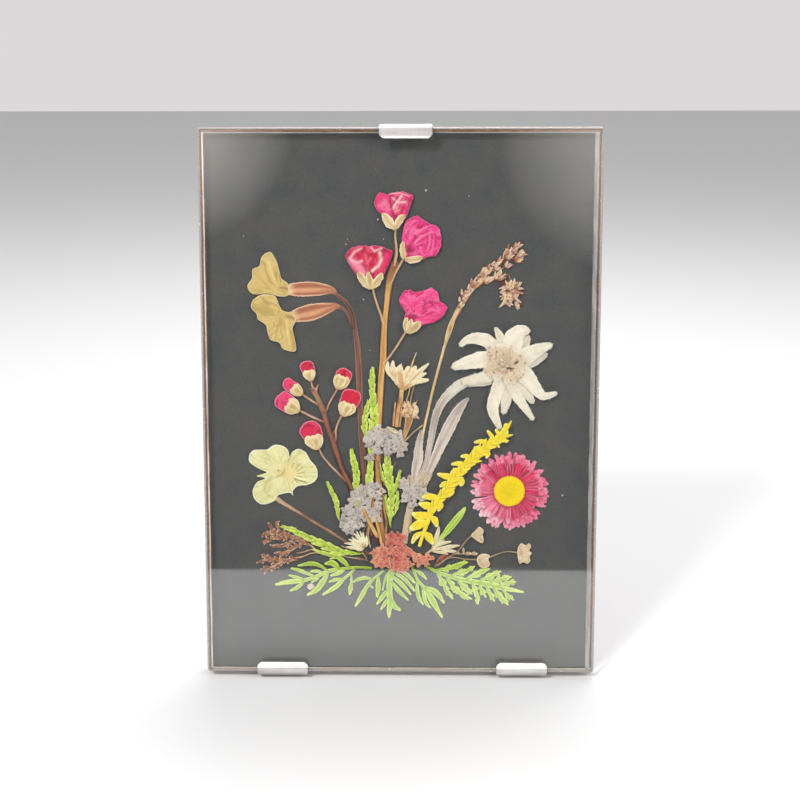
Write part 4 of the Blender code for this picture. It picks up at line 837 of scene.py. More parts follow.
@dataclass(frozen=True)
class CardPaper:
    """Charcoal art paper: near black fibres matted together, a trace of pale dust in the tooth."""

    name: str = "charcoal_card_paper"

    def material(self) -> Finish:
        """Two noises make the tooth and the uneven dye; the sparsest peaks of a third are pale fibres.

        Returns:
            The node material.
        """
        bench = Bench(self.name)
        at = bench.place()
        tooth = bench.noise(at, 0.45, 5.0, 0.7)
        dye = bench.noise(at, 9.0, 3.0)
        warm, cool = (0.078, 0.074, 0.069, 1.0), (0.063, 0.065, 0.065, 1.0)
        base = bench.mix(cool, warm, bench.spread(dye, 0.35, 0.65, 0.0, 1.0))
        shade = bench.spread(tooth, 0.25, 0.75, 0.72, 1.34)
        colour = bench.mix(base, shade, 1.0, "MULTIPLY")
        streaked = bench.place(scale=(1.0, 0.25, 0.25))
        fibre = bench.spread(bench.noise(streaked, 0.3, 2.0), 0.70, 0.80, 0.0, 0.35)
        bench.set(Base_Color=bench.mix(colour, (0.22, 0.21, 0.19, 1.0), fibre),
            Roughness=bench.spread(tooth, 0.3, 0.7, 0.82, 0.97), Specular_IOR_Level=0.2)
        bench.bump(tooth, 0.06, 0.8)
        return bench.material


@dataclass(frozen=True)
class Hardboard:
    """Pressed wood fibre board: brown with long dark and pale fibres and a slight sheen."""

    name: str = "pressed_hardboard"

    def material(self) -> Finish:
        """Fibres are noise drawn out along two slants and multiplied; flecks are a coarser noise's peaks.

        Returns:
            The node material.
        """
        bench = Bench(self.name)
        slants = [bench.noise(bench.place((0.0, turn, 0.0), (0.16, 1.0, 1.0)), 0.5, 4.0, 0.65)
            for turn in (0.5, -0.9)]
        cross = bench.add("ShaderNodeMath", operation="MULTIPLY")
        for socket, slant in zip(cross.inputs, slants):
            bench.feed(socket, slant)
        matted = bench.spread(cross.outputs["Value"], 0.14, 0.36, 0.0, 1.0)
        wide = bench.noise(bench.place(), 14.0, 3.0)
        tan = bench.mix((0.11, 0.052, 0.026, 1.0), (0.27, 0.16, 0.09, 1.0), matted)
        tan = bench.mix(tan, bench.spread(wide, 0.3, 0.7, 0.82, 1.12), 1.0, "MULTIPLY")
        fleck = bench.spread(bench.noise(bench.place(scale=(0.5, 1.0, 1.0)), 0.9, 2.0), 0.68, 0.76, 0.0, 0.75)
        bench.set(Base_Color=bench.mix(tan, (0.07, 0.035, 0.018, 1.0), fleck),
            Roughness=bench.spread(matted, 0.0, 1.0, 0.62, 0.45))
        bench.bump(cross.outputs["Value"], 0.08, 0.6)
        return bench.material


@dataclass(frozen=True)
class Steel:
    """Bright spring steel or dull plated steel: fine rolling lines, faint smudges and small scratches."""

    name: str
    colour: Place
    roughness: float
    metallic: float = 1.0
    tinted: bool = False

    def material(self) -> Finish:
        """Rolling lines and bands are noise drawn out along x; smudges are wide noise that dulls the shine.

        A tinted steel is multiplied by its piece's own tint, which carries painted highlights on the bends and
        the lip.

        Returns:
            The node material.
        """
        bench = Bench(self.name)
        lines = bench.noise(bench.place(scale=(0.03, 1.0, 1.0)), 0.12, 3.0, 0.6)
        smudge = bench.noise(bench.place(), 3.5, 4.0, 0.6)
        scratch = bench.spread(bench.noise(bench.place((0.0, 0.6, 0.3), (0.05, 1.0, 1.0)), 0.25, 1.0), 0.70,
            0.74, 0.0, 0.5)
        full = (*self.colour, 1.0)
        dull = tuple(c * 0.8 for c in self.colour) + (1.0,)
        colour = bench.mix(full, dull, bench.spread(smudge, 0.4, 0.75, 0.0, 1.0))
        band = bench.noise(bench.place(scale=(0.02, 1.0, 1.0)), 0.7, 2.0)
        colour = bench.mix(colour, bench.spread(band, 0.35, 0.65, 0.82, 1.12), 1.0, "MULTIPLY")
        # Painted highlight: the piece's tint keeps its bends bright and dims the rest of the steel.
        if self.tinted:
            tint = bench.add("ShaderNodeAttribute", attribute_name="tint").outputs["Color"]
            colour = bench.mix(colour, tint, 1.0, "MULTIPLY")
        worn = tuple(c * 0.7 for c in self.colour) + (1.0,)
        bench.set(Base_Color=bench.mix(colour, worn, scratch), Roughness=bench.spread(smudge, 0.3, 0.75,
            self.roughness, self.roughness + 0.18), Metallic=self.metallic)
        bench.bump(lines, 0.01, 0.5)
        return bench.material


@dataclass(frozen=True)
class ClearGlass:
    """Picture glass: light goes straight through, and the skin mirrors more the flatter it is seen."""

    name: str = "picture_glass"
    head_on: float = 0.088

    def material(self) -> Finish:
        """A transparent shader and a mirror skin; wipe marks dull the skin.

        The skin's share is r + (1 - r) * f^5, where f goes from 0 head on to 1 along the glass.

        Returns:
            The node material.
        """
        bench = Bench(self.name)
        at = bench.place((0.4, 0.0, 0.0), (0.3, 1.0, 1.0))
        wiped = bench.noise(at, 22.0, 4.0, 0.6)
        bench.set(Base_Color=(1.0, 1.0, 1.0, 1.0), Metallic=1.0,
            Roughness=bench.spread(wiped, 0.4, 0.7, 0.0, 0.06))
        clear = bench.add("ShaderNodeBsdfTransparent", {"Color": (0.985, 0.993, 0.99, 1.0)})
        facing = bench.add("ShaderNodeLayerWeight", {"Blend": 0.5}).outputs["Facing"]
        steep = bench.add("ShaderNodeMath", {0: facing, 1: 5.0}, operation="POWER").outputs["Value"]
        share = bench.spread(steep, 0.0, 1.0, self.head_on, 1.0)
        mixed = bench.add("ShaderNodeMixShader",
            {0: share, 1: clear.outputs["BSDF"], 2: bench.shader.outputs["BSDF"]})
        bench.feed(bench.tree.nodes["Material Output"].inputs["Surface"], mixed.outputs["Shader"])
        return bench.material


@dataclass(frozen=True)
class GroundEdge:
    """The glass's rubbed arris: warm grey, frosted, with tiny bright chips."""

    name: str = "rubbed_glass_edge"

    def material(self) -> Finish:
        """Fine noise makes the frost; the peaks of a sharper one are chips.

        Returns:
            The node material.
        """
        bench = Bench(self.name)
        frost = bench.noise(bench.place(), 0.25, 4.0, 0.7)
        chips = bench.spread(bench.noise(bench.place(), 0.8, 2.0), 0.68, 0.74, 0.0, 1.0)
        base = bench.mix((0.20, 0.18, 0.17, 1.0), (0.42, 0.37, 0.34, 1.0),
            bench.spread(frost, 0.3, 0.7, 0.0, 1.0))
        bench.set(Base_Color=bench.mix(base, (0.92, 0.90, 0.88, 1.0), chips),
            Roughness=bench.spread(frost, 0.3, 0.7, 0.18, 0.4), Specular_IOR_Level=0.8)
        bench.bump(frost, 0.05, 0.7)
        return bench.material


# -------- the panel and its press

@dataclass
class Panel:
    """The leaning panel: turns its millimetres into metres, and puts finished skins into the scene."""

    foot_y: float
    foot_z: float
    nodes: Nodes
    finishes: dict[Slot, Finish] = field(default_factory=dict)
    made: int = 0

    @classmethod
    def standing(cls, nodes: Nodes) -> Panel:
        """The panel as it stands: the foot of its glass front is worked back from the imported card's box.

        Args:
            nodes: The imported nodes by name.

        Returns:
            The panel.
        """
        low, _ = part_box("backing_card")
        return cls(low.y / MM - SIN * CARD_LOW + COS * CARD_FRONT,
            low.z / MM - COS * CARD_LOW + SIN * (CARD_T - CARD_FRONT), nodes)

    def finish(self, slot: Slot) -> Finish:
        """The pressed tissue of a slot, made the first time it is asked for.

        Args:
            slot: The record's material slot.

        Returns:
            Its finish.
        """
        if slot not in self.finishes:
            self.finishes[slot] = PRESSED[slot].material()
        return self.finishes[slot]

    def world(self, points: Array) -> Array:
        """Metres from panel millimetres: y runs up the lean and z out of it."""
        x, y, z = points.T
        return np.column_stack([x, self.foot_y + SIN * y - COS * z, self.foot_z + COS * y + SIN * z]) * MM

    def local(self, points: Array) -> Array:
        """Panel millimetres from metres.

        Args:
            points: (n, 3) places in metres.

        Returns:
            (n, 3) places on the panel.
        """
        x, y, z = (points / MM).T
        y, z = y - self.foot_y, z - self.foot_z
        return np.column_stack([x, SIN * y + COS * z, SIN * z - COS * y])

    def outline(self, node: str) -> Array:
        """Outline of a packed sheet as it is seen on the glass: the edge of its front face, put in order.

        Args:
            node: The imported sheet's name.

        Returns:
            (n, 2) corners in order, spread to the glass.
        """
        mesh = self.nodes[node].data
        co = np.empty(len(mesh.vertices) * 3)
        mesh.vertices.foreach_get("co", co)
        points = self.local(co.reshape(-1, 3))
        depth = points[:, 2].max()
        keys = {}
        names = [keys.setdefault((round(x, 2), round(y, 2), round(z, 2)), len(keys)) for x, y, z in points]
        where = {name: points[i, :2] for i, name in reversed(list(enumerate(names)))}
        front = {name for i, name in enumerate(names) if points[i, 2] > depth - 0.02}
        follows, inner = {}, set()
        for face in mesh.polygons:
            ring = [names[i] for i in face.vertices]
            if front.issuperset(ring):
                for a, b in zip(ring, ring[1:] + ring[:1]):
                    inner.add((a, b))
        for a, b in inner:
            if (b, a) not in inner:
                follows[a] = b
        start = here = next(iter(follows))
        loop = [where[start]]
        while follows[here] != start:
            here = follows[here]
            loop.append(where[here])
        return EYE + (np.array(loop) - EYE) / (1.0 - depth / EYE_FAR)

    def add(self, name: str, skin: Skin, materials: Sequence[Finish], slot: Slot, nodes: Sequence[str] = (),
            spread: bool = False, places: Array | None = None) -> bpy.types.Object:
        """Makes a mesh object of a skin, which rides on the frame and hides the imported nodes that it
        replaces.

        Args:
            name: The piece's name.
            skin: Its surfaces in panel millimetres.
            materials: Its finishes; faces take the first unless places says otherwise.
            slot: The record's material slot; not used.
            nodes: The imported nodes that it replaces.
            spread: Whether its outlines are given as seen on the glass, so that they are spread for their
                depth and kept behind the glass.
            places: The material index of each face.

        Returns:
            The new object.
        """
        points = skin.points.copy()
        if spread:
            share = 1.0 - points[:, 2:] / EYE_FAR
            points[:, :2] = EYE + (points[:, :2] - EYE) * share
            points[:, 2] = np.minimum(points[:, 2], -GLASS_T - GLASS_GAP)
        mesh = bpy.data.meshes.new(name)
        mesh.vertices.add(len(points))
        mesh.vertices.foreach_set("co", self.world(points).astype(np.float32).ravel())
        sizes = np.concatenate([np.full(len(f), f.shape[1]) for f in skin.faces])
        corners = np.concatenate([f.ravel() for f in skin.faces]).astype(np.int32)
        mesh.loops.add(len(corners))
        mesh.loops.foreach_set("vertex_index", corners)
        mesh.polygons.add(len(sizes))
        mesh.polygons.foreach_set("loop_start", (np.cumsum(sizes) - sizes).astype(np.int32))
        mesh.polygons.foreach_set("use_smooth", np.ones(len(sizes), bool))
        for finish in materials:
            mesh.materials.append(finish)
        if places is not None:
            mesh.polygons.foreach_set("material_index", places.astype(np.int32))
        layer = mesh.color_attributes.new("tint", "FLOAT_COLOR", "POINT")
        layer.data.foreach_set("color",
            np.column_stack([np.clip(skin.tints, 0, 1), np.ones(len(points))]).astype(np.float32).ravel())
        mesh.update(calc_edges=True)
        mesh.validate()
        obj = bpy.data.objects.new(name, mesh)
        bpy.context.scene.collection.objects.link(obj)
        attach(obj, "frame")
        if nodes:
            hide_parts(*nodes)
        self.made += 1
        log.info("%s: %d faces", name, len(sizes))
        return obj

    def press(self, name: str, skins: Sequence[Skin], slot: Slot, nodes: Sequence[str] = ()) -> None:
        """Puts dried skins in the scene as one piece, spread for their depth."""
        self.add(name, Skin.of(skins), [self.finish(slot)], slot, nodes, spread=True)


# -------- the frame

@dataclass
class GlassFront:
    """The pane: two polished faces and an arris rubbed all round."""

    panel: Panel
    corner: float = 1.0

    def build(self) -> None:
        """Carries the edge profile round the pane's rounded rectangle and closes it with two flat faces.

        The profile goes from the front face over the front arris, down the edge and over the back arris. Each
        of its points moves the rectangle's outline in by its first number and back by its second.
        """
        inset = np.array([0.7, 0.45, 0.2, 0.05, 0.0, 0.0, 0.05, 0.2, 0.45, 0.7])
        depth = np.array([0.0, 0.06, 0.2, 0.45, 0.7, 1.3, 1.55, 1.8, 1.94, 2.0])
        corners = [(PANE_W / 2, PANE_H, 0.0), (-PANE_W / 2, PANE_H, 90.0), (-PANE_W / 2, 0.0, 180.0),
            (PANE_W / 2, 0.0, 270.0)]
        angles = np.radians(np.concatenate([start + np.linspace(0, 90, 6) for _, _, start in corners]))
        ends = np.repeat(np.array([(x, y) for x, y, _ in corners]), 6, axis=0)
        outward = np.column_stack([np.cos(angles), np.sin(angles)])
        centres = ends - np.sign(ends - (0.0, PANE_H / 2)) * self.corner
        rows = centres[None] + outward[None] * (self.corner - inset)[:, None, None]
        rings = np.dstack([rows, np.broadcast_to(-depth[:, None], rows.shape[:2])])
        count = rings.shape[1]
        middle = [[0.0, PANE_H / 2, 0.0], [0.0, PANE_H / 2, -GLASS_T]]
        quads, caps = tube_faces(len(rings), count)
        points = np.vstack([rings.reshape(-1, 3), middle])
        skin = Skin(points, [quads, caps], np.full(points.shape, 0.8))
        places = np.concatenate([np.ones(len(quads)), np.zeros(len(caps))])
        obj = self.panel.add("glass_front", skin, [ClearGlass().material(), GroundEdge().material()],
            Slot.GLASS, ["glass_pane"], places=places)
        obj.data.polygons.foreach_set("use_smooth", places.astype(bool))


@dataclass
class Backing:
    """The charcoal card and the hardboard behind it, which stay as packed, and the dust on the card."""

    panel: Panel
    nodes: Nodes
    fine: int = 260
    flecks: tuple[Place, ...] = ((-7.2, 150.8, 0.28), (8.2, 160.0, 0.34), (-12.0, 125.2, 0.26),
        (-17.5, 142.9, 0.2), (-5.4, 144.6, 0.2), (-9.9, 108.7, 0.16), (-17.0, 144.5, 0.16), (53.5, 60.8, 0.3),
        (22.0, 158.2, 0.18), (-50.5, 145.5, 0.16))

    def build(self) -> None:
        """Dresses the card and the board, and strews pale dust over the card."""
        for name, finish in (("backing_card", CardPaper()), ("back_board", Hardboard())):
            dress(self.nodes[name], finish.material())
        rng = np.random.default_rng(5)
        grain = ribbon([(-0.5, 0.0, 0.5), (0.0, 0.0, 1.0), (0.5, 0.0, 0.5)], 0.0, 0.25,
            Tissue(np.ones(3), np.ones(3), crinkle=0.0), pitch=0.5, across=5)
        fine = np.column_stack([rng.uniform(-61, 61, self.fine), rng.uniform(3, 176, self.fine)])
        places = np.vstack([np.array([f[:2] for f in self.flecks]), fine])
        sizes = np.concatenate([[f[2] for f in self.flecks], rng.uniform(0.05, 0.12, len(fine))]) * 2
        places = np.column_stack([places, np.full(len(places), CARD_FRONT - 0.02)])
        shade = np.concatenate([np.full(len(self.flecks), 0.75), rng.uniform(0.12, 0.3, len(fine))])
        skin = grain.copies(places, rng.uniform(0, 6.3, len(places)), sizes,
            shade[:, None] * tone((235, 225, 210)))
        self.panel.press("dust_on_card", [skin], Slot.CARD)
        self.cut_edges()

    def cut_edges(self) -> None:
        """The card's pale core, which shows along its four slanting cut edges, each side toned with painted
        light.
        """
        left, right, low, high = -63.3, 62.7, 1.05, 178.2
        # Each side's two tones are painted light: lit cream on the left and at the foot, a painted grey
        # reflection on the right, darker shaded grey along the top.
        sides = (((left, low), (left, high), 0.55, (236, 214, 200), (190, 160, 146)),
            ((right, low), (right, high), 1.5, (176, 170, 166), (150, 142, 138)), ((left, low), (right, low),
            1.2, (236, 226, 206), (204, 190, 170)),
            ((left, high), (right, high), 0.35, (170, 166, 160), (140, 136, 130)))
        strips = [ribbon(span(start, end, wide, wide), CARD_FRONT - 0.03, 0.08,
            Tissue(pale, dark, streaks=1.2, along=30.0, crinkle=0.02, seed=wide), pitch=1.0, across=5,
            crown=0.2, tip=0.1, ragged=0.12) for start, end, wide, pale, dark in sides]
        self.panel.press("card_cut_edges", strips, Slot.CARD)


def dress(node: bpy.types.Object, finish: Finish) -> None:
    """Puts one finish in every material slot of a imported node.

    Args:
        node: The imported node.
        finish: The finish.
    """
    for slot in node.material_slots:
        slot.material = finish
    if not node.material_slots:
        node.data.materials.append(finish)


@dataclass
class SpringClip:
    """A bent strip of bright spring steel that grips an edge of the panel."""

    panel: Panel
    node: str
    x: float
    at_top: bool
    width: float = 17.0
    thick: float = 0.5
    lip: float = 3.6
    back: float = 11.0
    board_back: float = -7.55
    rounding: float = 0.12

    def section(self) -> Array:
        """The strip's inner side as (y in from the edge, z, half width), front lip tip first.

        Returns:
            (n, 3) stations.
        """
        half, back = self.width / 2, self.board_back - 0.3
        return np.array([(self.lip, 0.3, half - 1.3), (self.lip - 0.35, 0.37, half - 0.75),
            (self.lip - 0.8, 0.47, half - 0.3), (self.lip - 1.3, 0.62, half), (1.9, 0.8, half),
            (1.2, 0.83, half), (0.6, 0.8, half), (0.15, 0.7, half), (-0.12, 0.45, half - 0.05),
            (-0.24, 0.1, half - 0.1), (-0.24, back, half - 0.1), (-0.2, back - 0.4, half - 0.1),
            (0.1, back - 0.7, half), (0.6, back - 0.85, half), (1.2, back - 0.9, half), (5.0, back - 0.45,
            half), (self.back - 3.0, back, half), (self.back - 2.2, back - 0.05, half - 0.2),
            (self.back - 1.0, back - 0.45, half - 0.8), (self.back, back - 0.9, half - 1.6)])

    def shine(self, y: Array, z: Array) -> Array:
        """How bright the steel is painted at each station: dim grey, with bands of painted highlight where it
        bends.

        The top clip's painted highlight lies on its lip's tip and on its bend; the others' lies on the lip's
        slope.

        Args:
            y: How far in from the edge each station lies.
            z: How far in front of the glass it lies.

        Returns:
            A brightness for each station.
        """
        front = z > 0
        if self.at_top:
            bright = np.maximum(step(2.7, 3.2, y), 1 - step(0.2, 0.6, y))
        else:
            bright = step(1.6, 2.0, y)
        return 0.55 + 0.45 * bright * front

    def build(self, finish: Finish) -> None:
        """Carries a flat ring with rounded sides along the section.

        At each station the ring's place across is the half width times its first number, less the rounding,
        and its place out of the inner side is the thickness times its second number.

        Args:
            finish: The spring steel.
        """
        rows = flow(self.section(), 0.25)
        y, z, half = rows.T[:3]
        ahead = headings(rows)
        out = np.column_stack((-ahead[:, 1], ahead[:, 0]))
        if out[0, 1] < 0:
            out = -out
        v = np.linspace(-1, 1, 9)
        across = np.concatenate([v, [1.0], v[::-1], [-1.0]])
        rounded = [1.0, *[0.0] * 7, 1.0, 0.0] * 2
        share = np.concatenate([np.ones(9), [0.5], np.zeros(9), [0.5]])
        px = self.x + half[:, None] * across - self.rounding * np.array(rounded) * np.sign(across)
        py = y[:, None] + out[:, :1] * share * self.thick
        pz = z[:, None] + out[:, 1:] * share * self.thick
        if self.at_top:
            py = PANE_H - py
        points = np.dstack([px, py, pz])
        count = len(across)
        ends = points[[0, -1]].mean(axis=1)
        quads, caps = tube_faces(len(rows), count)
        if self.at_top:
            quads, caps = quads[:, ::-1], caps[:, ::-1]
        # The painted highlight along the strip, carried as its tint.
        shine = self.shine(y, z)
        tints = np.concatenate([np.repeat(shine, count), shine[[0, -1]]])[:, None] * np.ones(3)
        skin = Skin(np.vstack([points.reshape(-1, 3), ends]), [quads, caps], tints)
        self.panel.add(self.node + "_spring", skin, [finish], Slot.CLIP_STEEL, [self.node])


@dataclass
class Strut:
    """The hardboard leg and its steel hinge, which stay as packed and get their finishes."""

    nodes: Nodes

    def build(self) -> None:
        """Dresses the leg as the board and the hinge in dull plated steel."""
        dress(self.nodes["strut_leg"], Hardboard("leg_hardboard").material())
        steel = Steel("plated_hinge_steel", (0.50, 0.49, 0.47), 0.34).material()
        for name in ("hinge_plate", "hinge_leaf", "hinge_pin"):
            dress(self.nodes[name], steel)


# -------- the pressed plants

# Painted shade sunk in the pink petals' clefts, and painted highlight raised along their ridges.
CLEFT_SHADE = (150, 0, 44)
RIDGE_HIGHLIGHT = (255, 132, 178)


@dataclass
class Plant:
    """What every pressed plant shares: the panel that it lies on, and how a piece of it is laid down."""

    panel: Panel

    def lay(self, node: str, skins: Sequence[Skin], slot: Slot) -> None:
        """Puts the skins in the scene as one piece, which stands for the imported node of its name."""
        self.panel.press(node + "_pressed", skins, slot, [node])

    @staticmethod
    def stems(shoot: Shoot, low: float, thick: float, looks: Sequence[Tissue], **shape: float) -> list[Skin]:
        """A ribbon for each shoot of a branching stem; its look goes by how many forks lie below it.

        Args:
            shoot: The stem with its forks.
            low: Height of its back.
            thick: Its thickness.
            looks: The main stem's look, then those of its forks.
            **shape: Further shape for ribbon().

        Returns:
            The ribbons.
        """
        return [ribbon(part.path, low, thick, looks[min(level, len(looks) - 1)], **shape) for level,
            part in shoot.all()]


@dataclass
class Cowslip(Plant):
    """Forked brown stem, two ribbed calyxes and two ochre corollas that flare from their tubes."""

    stem: Shoot = Shoot([(-7.6, 44, 1.3), (-9.5, 52, 1.6), (-11.2, 62, 1.7), (-12.4, 75, 1.9), (-13.1, 88, 2),
        (-13.5, 100, 2.1), (-13.9, 109, 2), (-14.5, 114, 1.6), (-15, 118.5, 1.1), (-15.9, 121.5, 1.1),
        (-17.6, 124.2, 1.3), (-19.8, 126.1, 1.2), (-21.8, 127.7, 1.4)], left=([(-15.7, 116.2, 0.9),
        (-16.7, 119.4, 1), (-18, 121.8, 1.1), (-20.3, 122.9, 1.3), (-21.4, 122.9, 1.4)],))
    calyxes: tuple[Path2D, ...] = (((-20.8, 127.4, 1.3), (-22.2, 128.1, 2.3), (-24.2, 128.4, 3.4),
        (-29, 128.5, 4.8), (-33.5, 128.4, 4.5), (-37.2, 128.2, 3)), ((-19.6, 122.9, 1.2), (-21.2, 122.9, 2.2),
        (-23, 122.5, 3.3), (-28, 121.2, 5.3), (-32, 120.3, 4.9), (-35.8, 119.3, 3.2)))

    def corolla(self, node: str, heart: Spot, slot: int, marks: tuple[Stroke, ...]) -> None:
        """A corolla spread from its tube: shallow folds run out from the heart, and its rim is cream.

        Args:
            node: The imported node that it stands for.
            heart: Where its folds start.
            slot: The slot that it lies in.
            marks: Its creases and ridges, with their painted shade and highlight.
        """
        look = Petal((218, 188, 118), (190, 158, 90), (236, 212, 146), (248, 230, 182), folds=3.0, waver=1.0,
            crest=0.2, depth=0.06, crinkle=0.05, rim_in=0.08, rim_out=0.42, marks=marks, seed=2.0 + slot)
        self.lay(node, [fan(heart, self.panel.outline(node), low_of(slot), 0.2, look, rings=34, ragged=0.12)],
            Slot.OCHRE_PETAL)

    def build(self) -> None:
        """Lays the stem and the calyxes first, then the corollas over the calyx mouths."""
        brown = Tissue((138, 92, 74), (96, 58, 48), (196, 150, 128), root=(96, 52, 42), root_to=0.5,
            edge_from=0.72, streaks=2.6, along=9.0, groove=0.06)
        skins = self.stems(self.stem, low_of(0), 0.3, [brown], ragged=0.1)
        ribs = Tissue((228, 164, 122), (176, 108, 76), (248, 206, 180), root=(190, 128, 96),
            tip=(250, 222, 178), streaks=4.2, along=1.4, edge_from=0.76, tip_from=0.78, seed=2.0, ribs=0.06)
        teeth = Tissue((246, 214, 168), (222, 168, 120), seed=5.0)
        for path in self.calyxes:
            skins.append(ribbon(path, low_of(0) + 0.05, 0.3, ribs, across=17, tip=0.2, ragged=0.05))
            (ax, ay, _), (bx, by, wide) = path[-2:]
            along = np.subtract((bx, by), (ax, ay)) / math.dist((ax, ay), (bx, by))
            for k in (-1, -0.3, 0.4, 1):
                foot = np.array([bx - along[1] * k * wide * 0.4, by + along[0] * k * wide * 0.4])
                ends = foot - along * 1.2, foot + along * (1.5 - 0.3 * abs(k))
                skins.append(
                    ribbon([(*ends[0], 1.1), (*foot, 1.0), (*ends[1], 0.3)], low_of(0) + 0.12, 0.26, teeth))
        self.lay("cowslip_stem", skins, Slot.BROWN_STEM)
        # Painted shade in the throat and along the pleats, and painted highlight along the ridges (glow).
        throat_shade, pleat_shade, glow = (170, 128, 76), (200, 160, 86), (252, 228, 156)
        self.corolla("cowslip_flower_upper", (-39.6, 128.3), 1,
            (Stroke(throat_shade, 0.4, ((-36.6, 128.6), (-38.8, 129)), 0.85, -0.06), Stroke(pleat_shade, 0.3,
            ((-42, 128.4), (-45, 131.4), (-47, 133.4)), 0.6, -0.06), Stroke(pleat_shade, 0.3,
            ((-41.4, 130), (-43.6, 134.6), (-44.4, 137.6)), 0.5, -0.05),
            Stroke(glow, 0.35, ((-39.8, 129.6), (-41.4, 133.4), (-42.6, 137.4)), 0.5, 0.06)))
        self.corolla("cowslip_flower_lower", (-38.6, 119.8), 2,
            (Stroke(throat_shade, 0.5, ((-34.6, 119.2), (-36.8, 119.8)), 0.8, -0.06), Stroke((186, 172, 100), 1.8,
            ((-44.6, 121.8),), 0.5), Stroke(pleat_shade, 0.3, ((-38.5, 118.5), (-40.2, 114.6), (-40.8, 111.8)),
            0.65, -0.06), Stroke(glow, 0.4, ((-37, 118.5), (-36.6, 114.6), (-36, 110.6)), 0.5, 0.06),
            Stroke(pleat_shade, 0.3, ((-40.5, 121.4), (-43.6, 122.4), (-46.8, 122.6)), 0.6, -0.05)))


@dataclass(frozen=True)
class Bloom:
    """One rosette: its heart on the calyx, the calyx's sepals, the marks on its petals and their shade."""

    node: str
    heart: Spot
    sepals: tuple[Path2D, ...]
    marks: tuple[Stroke, ...]
    shade: float
    seed: float


